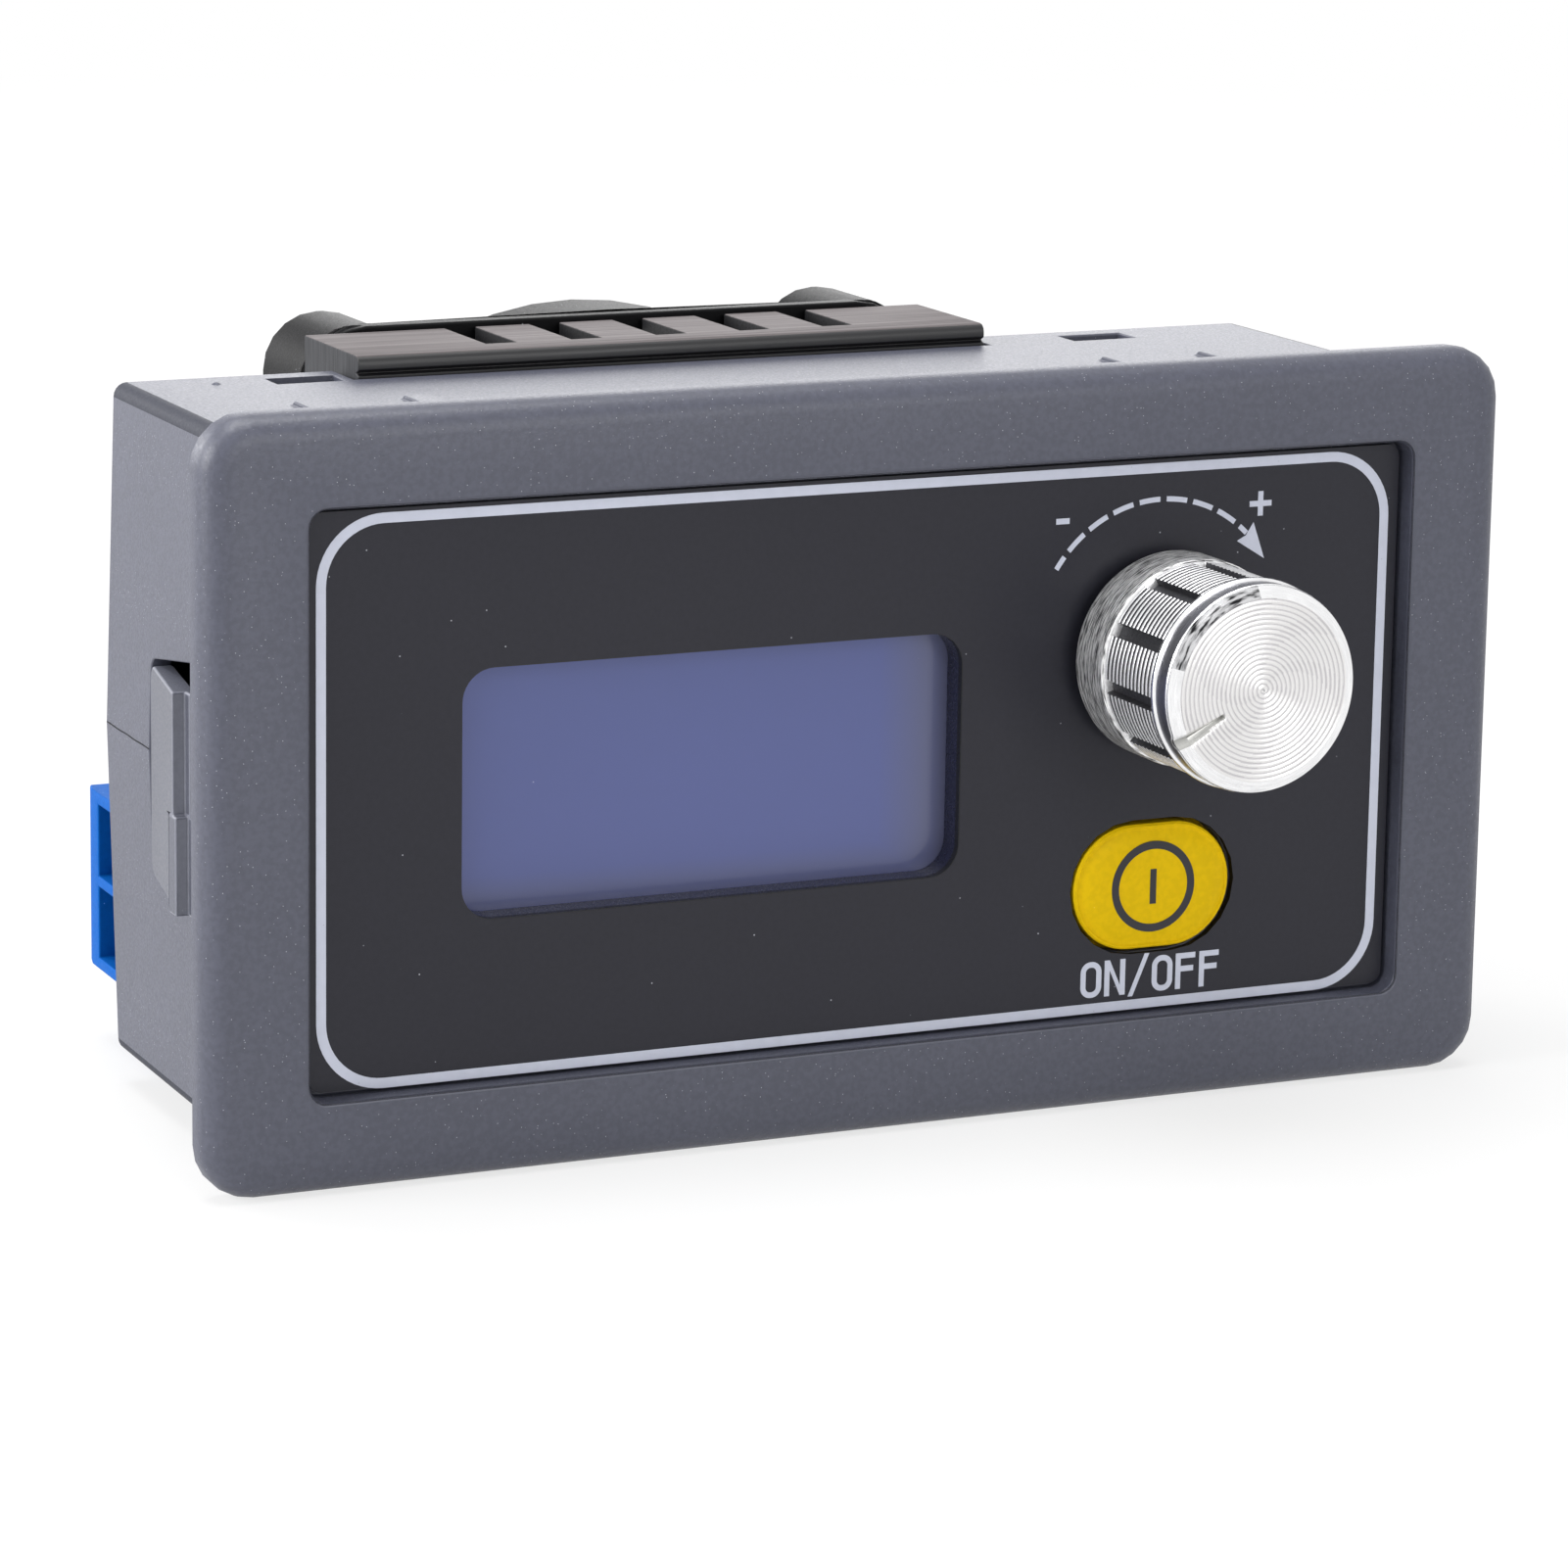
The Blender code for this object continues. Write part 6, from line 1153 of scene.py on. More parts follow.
@dataclass(frozen=True)
class FrontFilm:
    """Printed film: a border line, the arrow round the knob with its signs, and the words under the key."""

    ink: float = 0.02
    line_width: float = 0.57
    line_centre: Pair = (-0.1, -0.15)
    line_reach: Pair = (32.9, 15.93)
    line_corner: float = 3.9
    arrow_centre: Pair = (17.96, 5.87)
    arrow_radius: float = 7.82
    arrow_width: float = 0.3
    arrow_dashes: int = 9
    arrow_first: float = 151.2
    arrow_start: float = 147.7
    arrow_pitch: float = 12.7
    arrow_dash: float = 9.7
    arrow_stop: float = 45.0
    arrow_tip: tuple[Pair, ...] = ((23.46, 11.26), (23.94, 12.0), (24.69, 9.86), (22.89, 10.97))
    sign_width: float = 0.33
    minus: Pair = (11.69, 12.79)
    minus_reach: float = 0.42
    plus: Pair = (24.36, 13.06)
    plus_reach: float = 0.71
    words_corner: Pair = (13.57, -15.16)
    letter_pitch: float = 1.54
    letter_size: Pair = (1.34, 2.12)
    letter_width: float = 0.33

    def build(self) -> None:
        """Dress the film and print on it."""
        SoftenedCopy("front_overlay", (BLACK_FILM, FILM_EDGE), 0.0, choose=self.rim).build()
        front = front_of("front_overlay")
        self.print_border(front)
        self.print_arrow(front)
        self.print_words(front)

    def rim(self, centres: np.ndarray, normals: np.ndarray) -> np.ndarray:
        """Cut edges of the film are black."""
        return np.abs(normals[:, 1]) < 0.5

    def print_border(self, front: float) -> None:
        """Border line: a rounded rectangle half a line inside its outer reach."""
        inset = self.line_width / 2
        size = (2 * (self.line_reach[0] - inset), 2 * (self.line_reach[1] - inset))
        path = rounded(size[0], size[1], self.line_corner - inset, self.line_centre, 14)
        line = ribbon(path, self.line_width, front, self.ink, closed=True)
        Piece("border_line", "unit", (LAVENDER_INK,)).add(line).build("black_film")

    def print_arrow(self, front: float) -> None:
        """Dashes at even angles on one circle, a short one into the barbed head, and the two signs."""
        piece = Piece("turn_arrow", "unit", (LAVENDER_INK,))
        starts = self.arrow_first - self.arrow_pitch * np.arange(self.arrow_dashes)
        for start in starts:
            ends = min(start, self.arrow_start), max(start - self.arrow_dash, self.arrow_stop)
            path = arc(self.arrow_centre, self.arrow_radius, ends[0], ends[1], 6)
            piece.add(ribbon(path, self.arrow_width, front, self.ink))
        piece.add(self.plate(np.array(self.arrow_tip), front))
        wide, half = self.plus_reach, self.sign_width / 2
        corners = [(half, wide), (half, half), (wide, half), (wide, -half), (half, -half), (half, -wide)]
        cross = np.array(corners + [(-x, -z) for x, z in corners])
        piece.add(self.plate(cross + self.plus, front))
        ends = [(self.minus[0] + side * self.minus_reach, self.minus[1]) for side in (-1, 1)]
        piece.add(stroke(*ends, self.sign_width, front, self.ink))
        piece.build("black_film")

    def plate(self, outline: np.ndarray, front: float) -> Surface:
        """Ink of any outline: the outline at the film's front and again at the ink's height."""
        return stack([outline, outline], [front, front - self.ink])

    def print_words(self, front: float) -> None:
        """ON/OFF in strokes of one width, each letter in an even cell."""
        piece = Piece("switch_words", "unit", (LAVENDER_INK,))
        for place, letter in enumerate("ON/OFF"):
            corner = (self.words_corner[0] + place * self.letter_pitch, self.words_corner[1])
            piece.add(self.letter(letter, corner, front))
        piece.build("black_film")

    def letter(self, letter: str, corner: Pair, front: float) -> Surface:
        """One letter in its cell: a closed loop, or the outline round its bars.

        Args:
            letter: The letter.
            corner: Lower left corner of the cell.
            front: Depth of the film's front.

        Returns:
            The letter's ink.
        """
        width, height = self.letter_size
        bar = self.letter_width
        if letter == "O":
            centre = (corner[0] + width / 2, corner[1] + height / 2)
            loop = rounded(width - bar, height - bar, (width - bar) / 2 - 0.04, centre, 8)
            return ribbon(loop, bar, front, self.ink, closed=True)
        lean = bar * 1.12 * 1.6
        arm = height * 0.56
        short, long = width * 0.86, width * 0.95
        outlines = {
            "N": [
                (0.0, 0.0), (bar, 0.0), (bar, height - lean), (width - bar, 0.0), (width, 0.0),
                (width, height), (width - bar, height), (width - bar, lean), (bar, height), (0.0, height),
            ],
            "/": [(0.0, -0.15), (0.3, -0.15), (width, height + 0.2), (width - 0.3, height + 0.2)],
            "F": [
                (0.0, 0.0), (bar, 0.0), (bar, arm - bar / 2), (short, arm - bar / 2),
                (short, arm + bar / 2), (bar, arm + bar / 2), (bar, height - bar), (long, height - bar),
                (long, height), (0.0, height),
            ],
        }
        return self.plate(np.array(outlines[letter]) + corner, front)


@dataclass(frozen=True)
class Display:
    """Display cell behind the window, with the window's dark side."""

    window_centre: Pair = (-9.5, -0.15)
    window_size: Pair = (30.2, 14.1)
    window_corner: float = 1.9
    lining: float = 0.04

    def build(self) -> None:
        """Dress the cell and its carrier and line the window."""
        SoftenedCopy("lcd_glass", (DISPLAY_CELL,), 0.08).build()
        SoftenedCopy("lcd_frame", (WHITE_FRAME,), 0.1).build()
        self.build_lining()

    def build_lining(self) -> None:
        """Sleeve in the window: black where the film ends, navy behind it.

        A box profile goes round the window's outline, with its depths from the film's front to just before
        the cell.
        """
        front = front_of("front_overlay") + 0.02
        middle = rear_of("front_overlay") + 0.1
        rear = front_of("lcd_glass") - 0.05
        piece = Piece("window_lining", "unit", (FILM_EDGE, NAVY_LINING))
        outer = self.outline(0.0)
        inner = self.outline(self.lining)
        for near, far, finish in ((front, middle, 0), (middle, rear, 1)):
            rows = [(outer, near), (inner, near), (inner, far), (outer, far), (outer, near)]
            points = [at_depth(outline, depth) for outline, depth in rows]
            piece.add(grid(np.stack(points), caps=False), finish)
        piece.build("black_film")

    def outline(self, inset: float) -> np.ndarray:
        """Window's outline, drawn in by an inset."""
        size = (self.window_size[0] - 2 * inset, self.window_size[1] - 2 * inset)
        return rounded(size[0], size[1], self.window_corner - inset, self.window_centre, 10)


@dataclass(frozen=True)
class PowerKey:
    """Yellow key with a rim bead and a pillow crown, its printed mark, and its switch."""

    centre: Pair = (17.95, -8.82)
    size: Pair = (10.0, 7.3)
    crown: float = 0.3
    crown_run: float = 0.75
    bead: float = 0.16
    bead_inset: float = 0.14
    bead_run: float = 0.11
    flange: float = 1.1
    stem: Pair = (4.4, 3.4)
    ring_radius: float = 2.44
    ring_width: float = 0.46
    bar_length: float = 2.05
    bar_width: float = 0.4
    flange_depth: float = 0.8
    ink: float = 0.08
    ink_root: float = 0.06

    def relief(self, inset: np.ndarray) -> np.ndarray:
        """Height over the film at a distance in from the key's edge.

        The crown rises as one less a bell curve, and the bead is a narrow bell curve near the rim.

        Args:
            inset: Distances in from the edge.

        Returns:
            Height at each distance.
        """
        crown = self.crown * (1.0 - np.exp(-((inset / self.crown_run) ** 2)))
        bead = self.bead * np.exp(-(((inset - self.bead_inset) / self.bead_run) ** 2))
        return np.minimum(crown + bead, self.crown)

    def build(self) -> None:
        """Make the key, print its mark and dress the switch."""
        film = front_of("front_overlay")
        rear = rear_of("power_button")
        spans = ((3.6, 1.4, 6), (1.3, 0.3, 14), (0.27, 0.0, 10))
        insets = np.concatenate([np.linspace(*span) for span in spans])
        depths = film - self.relief(insets)
        outlines = [stadium(self.size[0] - 2 * d, self.size[1] - 2 * d, self.centre) for d in insets]
        cavity = front_of("lcd_glass")
        wide = stadium(self.size[0] + 2 * self.flange, self.size[1] + 2 * self.flange, self.centre)
        stem = stadium(self.stem[0], self.stem[1], self.centre)
        flange = cavity + self.flange_depth
        rest = [(outlines[-1], cavity), (wide, cavity), (wide, flange), (stem, flange), (stem, rear)]
        outlines += [outline for outline, _ in rest]
        levels = np.concatenate([depths, [float(depth) for _, depth in rest]])
        key = Piece("key_cap", "key", (YELLOW_KEY,)).add(stack(outlines, levels))
        key.build("yellow_key", ["power_button"], 40.0)
        root = film - self.crown + self.ink_root
        mark = Piece("key_mark", "key", (CHARCOAL_INK,))
        ring = circle(self.ring_radius, self.centre, 72)
        mark.add(ribbon(ring, self.ring_width, root, self.ink, closed=True))
        ends = [(self.centre[0], self.centre[1] + side * self.bar_length / 2) for side in (-1, 1)]
        mark.add(stroke(*ends, self.bar_width, root, self.ink))
        mark.build("yellow_key")
        dress_nodes(["tact_switch"], SWITCH_BLACK)
        dress_nodes(["tact_plunger"], PLUNGER_WHITE)


@dataclass(frozen=True)
class Knob:
    """Turned knob: rough skirt, ringed and slotted grip, polished band and a face cut in one spiral."""

    centre: Pair = (18.25, 4.9)
    front: float = -10.55
    rear: float = 0.45
    radius: float = 6.0
    face_radius: float = 5.17
    rim_radius: float = 5.85
    band_radius: float = 5.84
    bead: float = 0.06
    chamfer: float = 0.42
    band_start: float = -8.35
    grip_rear: float = -2.85
    grip_radius: float = 5.86
    rings: int = 13
    ring_depth: float = 0.13
    slots: int = 11
    slot_phase: float = 90.0
    slot_width: float = 0.78
    slot_depth: float = 0.5
    spiral_pitch: float = 0.28
    spiral_depth: float = 0.05
    pointer_angle: float = 208.0
    pointer_start: float = 2.8
    painted_reflection_span: Pair = (93.0, 163.0)
    pointer_tip: float = 0.1
    pointer_width: float = 0.36
    pointer_depth: float = 0.34
    bore_radius: float = 3.85
    bore_depth: float = 2.9
    slot_ramp: float = 0.1
    trough_share: float = 0.66
    cut_share: float = 1.45
    pointer_share: float = 0.4

    def build(self) -> None:
        """Join the turned side, the cut face and the bore into one closed piece."""
        finishes = (
            KNOB_SKIRT, KNOB_GRIP, KNOB_BAND_PAINTED_REFLECTION, KNOB_SLOT, KNOB_FACE, KNOB_GROOVE_PAINTED_SHADE, KNOB_CUT_PAINTED_SHADE, KNOB_POINTER_PAINTED_SHADE,
            KNOB_RIM, KNOB_RIM_PAINTED_REFLECTION,
        )
        piece = Piece("turned_knob", "knob", finishes)
        piece.add(self.whole())
        piece.build("turned_aluminium", ["knob"], 38.0)

    def turns(self) -> tuple[np.ndarray, np.ndarray]:
        """Angles round the knob, crowded at the slots' edges, and which of them lie in a slot.

        Returns:
            Angles in radians, and true for each angle inside a slot.
        """
        half = self.slot_width / 2 / self.grip_radius
        period = 2 * np.pi / self.slots
        edge = half * 1.06
        inside = np.linspace(-half, half, 7)
        outside = np.linspace(edge, period - edge, 17)
        one = np.concatenate([inside, outside])
        flags = np.concatenate([np.ones(len(inside), bool), np.zeros(len(outside), bool)])
        start = np.radians(self.slot_phase)
        angles = np.concatenate([start + slot * period + one for slot in range(self.slots)])
        return angles, np.tile(flags, self.slots)

    def whole(self) -> Surface:
        """Closed surface of profile rows by angles, with its finishes and chart.

        On the grip the radius falls by the ring depth times one less the size of the sine of the ring phase,
        and inside a slot it is the flat floor's distance over the cosine of the angle from the slot's middle.
        On the face the depth rises and falls with the radius over the spiral's pitch less the turn.
        The pointer is a groove whose depth falls off as a bell curve across a radial line. The curve widens
        evenly from the tip to the rim, and the spiral fades in the groove.

        Returns:
            The surface.
        """
        turn, in_slot = self.turns()
        radii, depths, zones = self.profile()
        x_turn, z_turn = np.cos(turn), np.sin(turn)
        radius = np.repeat(radii[:, None], len(turn), axis=1)
        depth = np.repeat(depths[:, None], len(turn), axis=1)

        phase = (depths - self.band_start) / (self.grip_rear - self.band_start)
        on_grip = (phase > 0.0) & (phase < 1.0) & (zones == 1)
        ripple = self.ring_depth * (1.0 - np.abs(np.sin(np.pi * self.rings * phase)))
        radius = radius - np.where(on_grip, ripple, 0.0)[:, None]
        period = 2 * np.pi / self.slots
        offset = (turn - np.radians(self.slot_phase) + period / 2) % period - period / 2
        floor = (self.grip_radius - self.slot_depth) / np.cos(offset)
        slotted = on_grip[:, None] & in_slot[None, :]
        ramp = np.clip(phase / self.slot_ramp, 0.0, 1.0)[:, None]
        floor_ramped = self.grip_radius + (floor[None, :] - self.grip_radius) * ramp
        radius = np.where(slotted, np.minimum(floor_ramped, self.grip_radius), radius)

        pointer = np.radians(self.pointer_angle)
        along = radius * np.cos(turn[None, :] - pointer)
        across = radius * np.sin(turn[None, :] - pointer)
        past_end = np.maximum(self.pointer_start - along, 0.0)
        near_front = depths < self.front + self.chamfer + 0.2
        distance = np.hypot(across, past_end)
        spread = np.clip((along - self.pointer_start) / (self.rim_radius - self.pointer_start), 0.0, 1.0)
        width = self.pointer_tip + (self.pointer_width - self.pointer_tip) * spread
        nearness = np.where(near_front[:, None], np.exp(-((distance / width) ** 2)), 0.0)
        on_face = zones == 4
        spiral = 0.5 + 0.5 * np.cos(2 * np.pi * radius / self.spiral_pitch - turn[None, :])
        spiral = spiral * np.clip(1.0 - 1.8 * nearness, 0.0, 1.0)
        depth = depth + np.where(on_face[:, None], self.spiral_depth * spiral, 0.0)
        depth = depth + self.pointer_depth * nearness

        x, z = self.centre[0] + radius * x_turn, self.centre[1] + radius * z_turn
        surface = grid(np.stack([x, depth, z], axis=-1))
        steps = np.hypot(np.diff(radii, prepend=radii[0]), np.diff(depths, prepend=depths[0]))
        run = np.cumsum(steps)
        chart = np.meshgrid(turn * self.radius, run)
        surface.chart = np.stack(chart, axis=-1).reshape(-1, 2)
        rows = zones[:-1]
        numbers = np.repeat(rows[:, None], len(turn), axis=1)
        following = np.roll(in_slot, -1)
        slot_face = (on_grip[:-1] & on_grip[1:])[:, None] & (in_slot | following)[None, :]
        # Painted shade: rows deep in a ring's groove take the dark finish
        trough_painted_shade = on_grip[:-1] & on_grip[1:] & (ripple[:-1] + ripple[1:] > self.ring_depth * self.trough_share)
        numbers = np.where(trough_painted_shade[:, None], 5, numbers)
        # Painted shade: the deep part of the spiral cut takes a greyer finish
        spiral_cut_painted_shade = (rows == 4)[:, None] & (spiral[:-1] + spiral[1:] > self.cut_share)
        numbers = np.where(spiral_cut_painted_shade, 6, numbers)
        # Painted shade: the pointer groove's floor takes a greyer finish
        numbers = np.where(nearness[:-1] > self.pointer_share, 7, numbers)
        # Painted reflection: a span of the bevel takes a dark, flecked finish
        spot = np.degrees(turn) % 360.0
        painted_reflection_arc = (spot > self.painted_reflection_span[0]) & (spot < self.painted_reflection_span[1])
        on_bevel = (rows == 8) & (depths[1:] < self.front + self.chamfer)
        numbers = np.where(on_bevel[:, None] & painted_reflection_arc[None, :], 9, numbers)
        surface.finishes = np.where(slot_face, 3, numbers).reshape(-1)
        return surface

    def profile(self) -> tuple[np.ndarray, np.ndarray, np.ndarray]:
        """Radius, depth and finish zone of each profile row, from the bore's floor over the side to the face.

        The polished band lies between two beads, whose radius rises and falls as half a sine.

        Returns:
            Radii, depths and zone numbers.
        """
        bore_floor = self.rear - self.bore_depth
        ring_rows = np.linspace(self.grip_rear, self.band_start, self.rings * 8 + 1)
        face = np.concatenate([np.linspace(self.face_radius, 0.15, 128), [0.08]])
        bead_turn = np.linspace(0.15, np.pi - 0.15, 5)
        bevel_start = self.front + self.chamfer
        parts = [
            ([0.1, self.bore_radius, self.bore_radius], [bore_floor, bore_floor, self.rear], 0),
            (self.radius - np.array([0.3, 0.08, 0.0]), self.rear - np.array([0.0, 0.1, 0.3]), 0),
            (np.full(8, self.radius), np.linspace(self.rear - 0.5, self.grip_rear + 0.3, 8), 0),
            ([self.radius - 0.03], [self.grip_rear + 0.1], 0),
            (np.full(len(ring_rows), self.grip_radius), ring_rows, 1),
            (self.radius + self.bead * np.sin(bead_turn) - self.bead,
             self.band_start - 0.1 - 0.34 * np.linspace(0.0, 1.0, 5), 8),
            # Painted reflection: the band between the beads takes a greyer finish
            (np.full(3, self.band_radius), np.linspace(self.band_start - 0.5, bevel_start + 0.3, 3), 2),
            (self.rim_radius + 0.04 + self.bead * np.sin(bead_turn) - self.bead,
             bevel_start + 0.24 - 0.18 * np.linspace(0.0, 1.0, 5), 8),
            ([self.rim_radius - 0.03, (self.rim_radius + self.face_radius) / 2, self.face_radius + 0.04],
             [bevel_start - 0.03, self.front + self.chamfer / 2, self.front + 0.02], 8),
            (face, np.full(len(face), self.front), 4),
        ]
        radii = np.concatenate([np.asarray(part[0], float) for part in parts])
        depths = np.concatenate([np.asarray(part[1], float) for part in parts])
        zones = np.concatenate([np.full(len(part[0]), part[2]) for part in parts])
        return radii, depths, zones


@dataclass(frozen=True)
class Encoder:
    """Encoder behind the knob."""

    def build(self) -> None:
        """Dress the frame, body, disc and shaft."""
        for node in ("encoder_frame", "encoder_shaft"):
            SoftenedCopy(node, (PLATED_STEEL,), 0.06).build()
        SoftenedCopy("encoder_body", (ENCODER_GREEN,), 0.08).build()
        dress_nodes(["encoder_rotor"], CODE_DISC)


@dataclass(frozen=True)
class Boards:
    """The two boards with their screws, chips and small parts."""

    chips: tuple[Pair, ...] = ((-29.6, 12.9),)
    upright_parts: tuple[tuple[float, float, bool], ...] = (
        (-25.2, 16.3, True), (-25.2, 13.9, False), (-25.2, 11.5, False),
        (19.6, 3.6, False), (19.6, 1.2, True), (19.6, -1.2, False), (19.6, -3.6, False),
        (32.9, 3.4, True), (32.9, 1.0, False), (32.9, -1.6, False), (32.9, -8.4, True),
        (20.6, -9.6, False), (20.6, -12.2, True),
    )
    level_parts: tuple[tuple[float, float, bool], ...] = (
        (-31.6, 16.6, False), (-28.2, 16.6, True), (26.2, 3.4, False),
    )
    part_length: float = 2.0
    part_width: float = 1.25
    resistor_height: float = 0.5
    capacitor_height: float = 0.85
    end: float = 0.42
    plating: float = 0.03
    solder_length: float = 0.75
    solder_margin: float = 0.3
    chip_size: Triple = (4.9, 1.5, 3.9)
    leg_pitch: float = 1.27
    leg_width: float = 0.42
    leg_thickness: float = 0.2
    leg_bend: tuple[Pair, ...] = (
        (-0.1, 0.8), (0.3, 0.8), (0.42, 0.7), (0.5, 0.15), (0.62, 0.04), (1.05, 0.04),
    )
    dot_radius: float = 0.28
    dot_inset: float = 0.7
    screw: CrossScrew = CrossScrew(1.9, 1.3, 1.0, 1.15, 0.5, 0.75, 0.4)

    def build(self) -> None:
        """Dress the boards and lay out the small parts on them."""
        dress_nodes(["control_board"], BLACK_BOARD)
        dress_nodes(["power_board"], GREEN_BOARD)
        self.build_small_parts()
        for number in range(1, 5):
            self.screw.build(f"board_screw_{number}")
        dress_nodes(["board_header"], HEADER_BLACK)
        dress_nodes(["controller_chip", "mosfet_1", "mosfet_2"], CHIP_EPOXY)
        dress_nodes(["shunt"], COPPER_STRIP)

    def build_small_parts(self) -> None:
        """Chips, resistors and capacitors soldered on the rear of the power board."""
        face = rear_of("power_board")
        finishes = (CHIP_EPOXY, TINNED, RESISTOR, CERAMIC, SOLDER, PIN_ONE)
        piece = Piece("power_board_parts", body_of("power_board"), finishes)
        for x, z in self.chips:
            self.add_chip(piece, x, z, face)
        for parts, along in ((self.upright_parts, (0.0, 1.0)), (self.level_parts, (1.0, 0.0))):
            for x, z, capacitor in parts:
                self.add_part(piece, np.array([x, z]), capacitor, face, np.array(along))
        piece.build(slot_of("power_board"), (), 40.0)

    def add_part(
        self, piece: Piece, middle: np.ndarray, capacitor: bool, face: float, along: np.ndarray
    ) -> None:
        """One resistor or capacitor: a body, two plated ends and a fillet of solder at each end.

        The fillet is a stack of rounded rectangles that shrink evenly towards the end, at heights that grow
        as the share to the power of 1.8.

        Args:
            piece: Piece that takes the surfaces.
            middle: X and Z of its middle.
            capacitor: A capacitor, which is higher and tan.
            face: Depth of the board's rear face.
            along: Direction of its length.
        """
        height = self.capacitor_height if capacitor else self.resistor_height
        aside = along[::-1]

        def block(start: float, stop: float, wide: float, low: float, high: float) -> Surface:
            """Eased block from one place along the part to another."""
            near = along * start - aside * wide / 2 + middle
            far = along * stop + aside * wide / 2 + middle
            return eased_block((near[0], face + low, near[1]), (far[0], face + high, far[1]))

        reach = self.part_length / 2
        inner = reach - self.end
        body = block(-inner - 0.05, inner + 0.05, self.part_width, self.plating, height)
        piece.add(body, 2 + capacitor)
        for start, stop in ((-reach, -inner), (inner, reach)):
            piece.add(block(start, stop, self.part_width + self.plating, 0.0, height + self.plating), 1)
        shares = np.linspace(0.0, 1.0, 6)
        width = self.part_width + self.solder_margin
        for side in (-1.0, 1.0):
            outlines = []
            for share in shares:
                size = along * (self.solder_length - 0.5 * share) + aside * (width - 0.25 * share)
                centre = middle + along * side * (reach + 0.12 - 0.14 * share)
                outlines.append(rounded(size[0], size[1], 0.1, tuple(centre), 3))
            piece.add(stack(outlines, face + 0.02 + (height - 0.1) * shares**1.8), 4)

    def add_chip(self, piece: Piece, x: float, z: float, face: float) -> None:
        """One chip with four bent legs on each side and a dot by its first leg.

        Args:
            piece: Piece that takes the surfaces.
            x: Middle of the chip.
            z: Height of its middle.
            face: Depth of the board's rear face.
        """
        width, height, depth = self.chip_size
        low = (x - width / 2, face + 0.12, z - depth / 2)
        piece.add(eased_block(low, (x + width / 2, face + height, z + depth / 2), 0.14, 0.2), 0)
        corner = (x - width / 2 + self.dot_inset, z - depth / 2 + self.dot_inset)
        dot = circle(self.dot_radius, corner, 24)
        piece.add(stack([dot, dot], [face + height - 0.02, face + height + 0.012]), 5)
        bend = np.array(self.leg_bend)
        levels = face + bend[:, 1]
        offsets = np.array([[-1, 0], [1, 0], [1, 1], [-1, 1]]) * (self.leg_width / 2, self.leg_thickness)
        for side in (-1.0, 1.0):
            heights = z + side * (depth / 2 + bend[:, 0])
            for place in range(4):
                middle = x + (place - 1.5) * self.leg_pitch
                rows = np.stack([
                    np.broadcast_to(middle + offsets[:, 0], (len(bend), 4)),
                    levels[:, None] + offsets[:, 1],
                    np.repeat(heights[:, None], 4, axis=1),
                ], axis=-1)
                piece.add(grid(rows), 1)


@dataclass(frozen=True)
class Cooler:
    """Finned heat sink with its screws."""

    end_margin: float = 1.0
    drawn_margin: float = 0.2
    bead: Pair = (0.6, 2.2)
    screw: CrossScrew = CrossScrew(2.75, 1.6, 1.5, 1.7, 0.7, 1.0, finish=BLACK_STEEL)

    def build(self) -> None:
        """Dress the extrusion by the way its faces look."""
        finishes = (ANODISED_FIN, ANODISED_TOP, ANODISED_SAWN, ANODISED_BEAD)
        SoftenedCopy("heat_sink", finishes, 0.08, choose=self.sides).build()
        for number in (1, 2):
            self.screw.build(f"heat_sink_screw_{number}", -1.0)

    def sides(self, centres: np.ndarray, normals: np.ndarray) -> np.ndarray:
        """Sawn ends face along X, the drawn face faces up and the bead lies under its front edge."""
        low, high = node_box("heat_sink")
        off_middle = np.abs(centres[:, 0] - middle_of("heat_sink")[0])
        sawn = (np.abs(normals[:, 0]) > 0.9) & (off_middle > (high[0] - low[0]) / 2 - self.end_margin)
        drawn = (normals[:, 2] > 0.9) & (centres[:, 2] > high[2] - self.drawn_margin)
        bead = (centres[:, 1] < low[1] + self.bead[0]) & (centres[:, 2] > high[2] - self.bead[1])
        return np.select([sawn, drawn, bead], [2, 1, 3], 0)


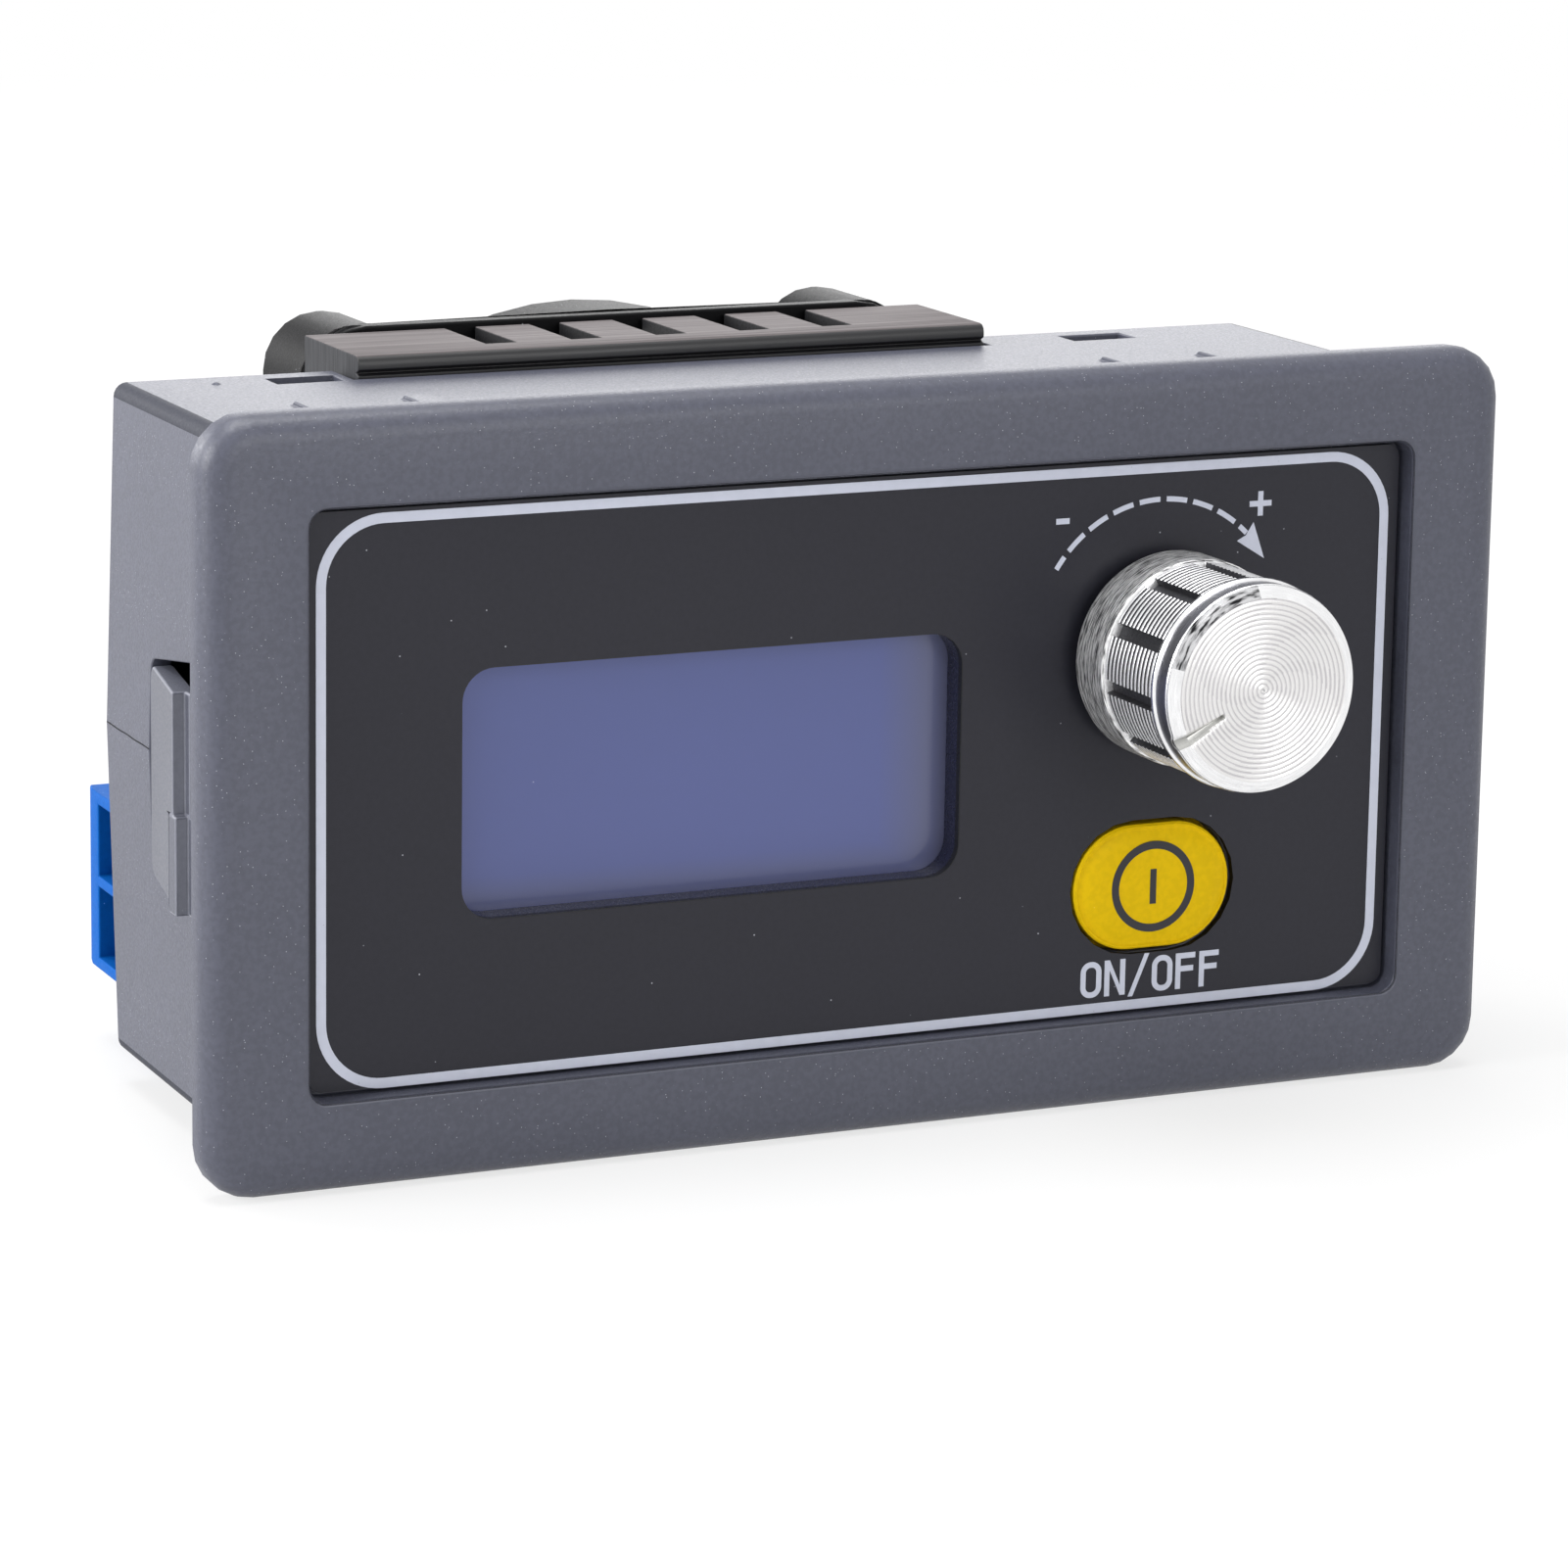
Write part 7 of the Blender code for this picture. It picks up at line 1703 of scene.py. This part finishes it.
@dataclass(frozen=True)
class Fan:
    """Axial fan."""

    skin: float = 0.05
    ring_height: float = 0.16
    ring_start: float = 8.1
    ring_width: float = 0.8
    dimple_radius: float = 1.2
    pin_circle: float = 5.4
    pin_angles: Triple = (90.0, 210.0, 330.0)
    screw: CrossScrew = CrossScrew(2.75, 1.6, 1.5, 1.7, 0.7, 1.1)

    def build(self) -> None:
        """Dress the frame, wheel, winding and screws."""
        SoftenedCopy("fan_frame", (FAN_PLASTIC,), 0.15).build()
        SoftenedCopy("fan_rotor", (ROTOR_PLASTIC,), 0.08).build()
        dress_nodes(["fan_stator"], WINDING)
        self.mark_hub()
        for number in range(1, 5):
            self.screw.build(f"fan_screw_{number}")

    def mark_hub(self) -> None:
        """Mould marks on the hub's end: a raised ring, a gate dimple and three pins' rounds.

        The ring is half a sine of the radius between its edges, and each round is a low turned disc.
        """
        end = rear_of("fan_rotor")
        middle = middle_of("fan_frame")
        spans = ((0.05, 1.3, 8), (1.5, 7.6, 8), (7.8, 9.2, 22), (9.5, 9.5, 1))
        radii = np.concatenate([np.linspace(*span) for span in spans])
        rise = np.clip((radii - self.ring_start) / self.ring_width, 0.0, 1.0)
        ring = np.sin(np.pi * rise) * self.ring_height
        dimple = self.skin * np.clip((self.dimple_radius - radii) / 0.3, 0.0, 1.0)
        profile = np.stack([radii, end + self.skin + ring - dimple * 0.9], axis=1)
        rim = np.array([[9.6, end + 0.005], [9.6, end - 0.02], [0.05, end - 0.02]])
        piece = Piece("hub_marks", body_of("fan_rotor"), (ROTOR_PLASTIC,))
        piece.add(turned(np.concatenate([profile, rim]), middle, 96))
        face, root = end + self.skin + 0.02, end + self.skin - 0.01
        pin = np.array([[0.05, face], [0.62, face], [0.7, root], [0.05, root]])
        for angle in self.pin_angles:
            place = arc(middle, self.pin_circle, angle, angle, 0)[0]
            piece.add(turned(pin, tuple(place), 32))
        piece.build(slot_of("fan_rotor"))


@dataclass(frozen=True)
class Terminal:
    """Blue screw terminal."""

    def build(self) -> None:
        """Dress the block, cages, contacts and screws."""
        SoftenedCopy("terminal_block", (BLUE_NYLON,), 0.1).build()
        dress_nodes(["terminal_pin_1", "terminal_pin_2"], TINNED)
        dress_nodes(["terminal_cage_1", "terminal_cage_2"], BRASS_NICKEL)
        dress_nodes(["terminal_screw_1", "terminal_screw_2"], ZINC_STEEL)


@dataclass(frozen=True)
class Sockets:
    """Supply socket, USB socket, headers and capacitor."""

    pin_pitch: float = 2.0
    pin_reach: float = 0.3
    can_radius: float = 2.75
    foot_height: float = 1.02

    def build(self) -> None:
        """Dress them and mark the capacitor's end."""
        SoftenedCopy("dc_jack", (JACK_BLACK,), 0.1).build()
        dress_nodes(["dc_jack_pin"], PLATED_STEEL)
        SoftenedCopy("usb_socket", (PLATED_STEEL, HEADER_BLACK), 0.05, choose=self.tongue).build()
        for header, pins in (("serial_header", 4), ("fan_header", 2)):
            SoftenedCopy(header, (SOCKET_NYLON, TINNED), 0.04, choose=self.pin_faces(header, pins)).build()
        can = (CAN_ALUMINIUM, HEADER_BLACK)
        SoftenedCopy("bulk_capacitor", can, 0.05, choose=self.capacitor_foot).build()
        self.mark_capacitor()

    def pin_faces(self, header: str, pins: int) -> Callable[[np.ndarray, np.ndarray], np.ndarray]:
        """Chooser of the faces that belong to a header's pins.

        Args:
            header: CAD node of the header.
            pins: Number of its pins.

        Returns:
            Function of the faces' centres and normals.
        """
        x, z = middle_of(header)
        heights = z + self.pin_pitch * (np.arange(pins) - (pins - 1) / 2)

        def choose(centres: np.ndarray, normals: np.ndarray) -> np.ndarray:
            """One for a face within a pin's half width of a pin's axis."""
            off_axis = np.min(np.abs(centres[:, 2:] - heights[None, :]), axis=1)
            return (off_axis < self.pin_reach) & (np.abs(centres[:, 0] - x) < self.pin_reach)

        return choose

    def tongue(self, centres: np.ndarray, normals: np.ndarray) -> np.ndarray:
        """Faces of the socket's tongue and floor are black plastic."""
        low, high = node_box("usb_socket")
        inner = (np.abs(centres - (low + high) / 2)[:, [0, 2]] < (high - low)[[0, 2]] / 2 - 0.5).all(axis=1)
        return inner & (centres[:, 1] < high[1] - 0.2)

    def capacitor_foot(self, centres: np.ndarray, normals: np.ndarray) -> np.ndarray:
        """The foot under the can is black plastic."""
        return centres[:, 1] < front_of("bulk_capacitor") + self.foot_height

    def mark_capacitor(self) -> None:
        """Printed segment on the can's end: the arc and its chord, as one outline."""
        segment = arc(middle_of("bulk_capacitor"), self.can_radius, 35.0, 145.0, 24)
        end = rear_of("bulk_capacitor")
        mark = Piece("capacitor_mark", body_of("bulk_capacitor"), (CAN_INK,))
        mark.add(stack([segment, segment], [end - 0.01, end + 0.012]))
        mark.build(slot_of("bulk_capacitor"))


def main() -> None:
    """Build the camera, the studio and every sub-assembly."""
    logging.basicConfig(level=logging.INFO, format="%(message)s")
    builders = (
        PhotoCamera(), Studio(), Housing(), FrontFilm(), Display(), PowerKey(), Knob(), Encoder(), Boards(),
        Cooler(), Fan(), Terminal(), Sockets(),
    )
    for builder in builders:
        builder.build()
        LOG.info("%s is built", type(builder).__name__)
    bpy.context.view_layer.update()


if __name__ == "__main__":
    main()
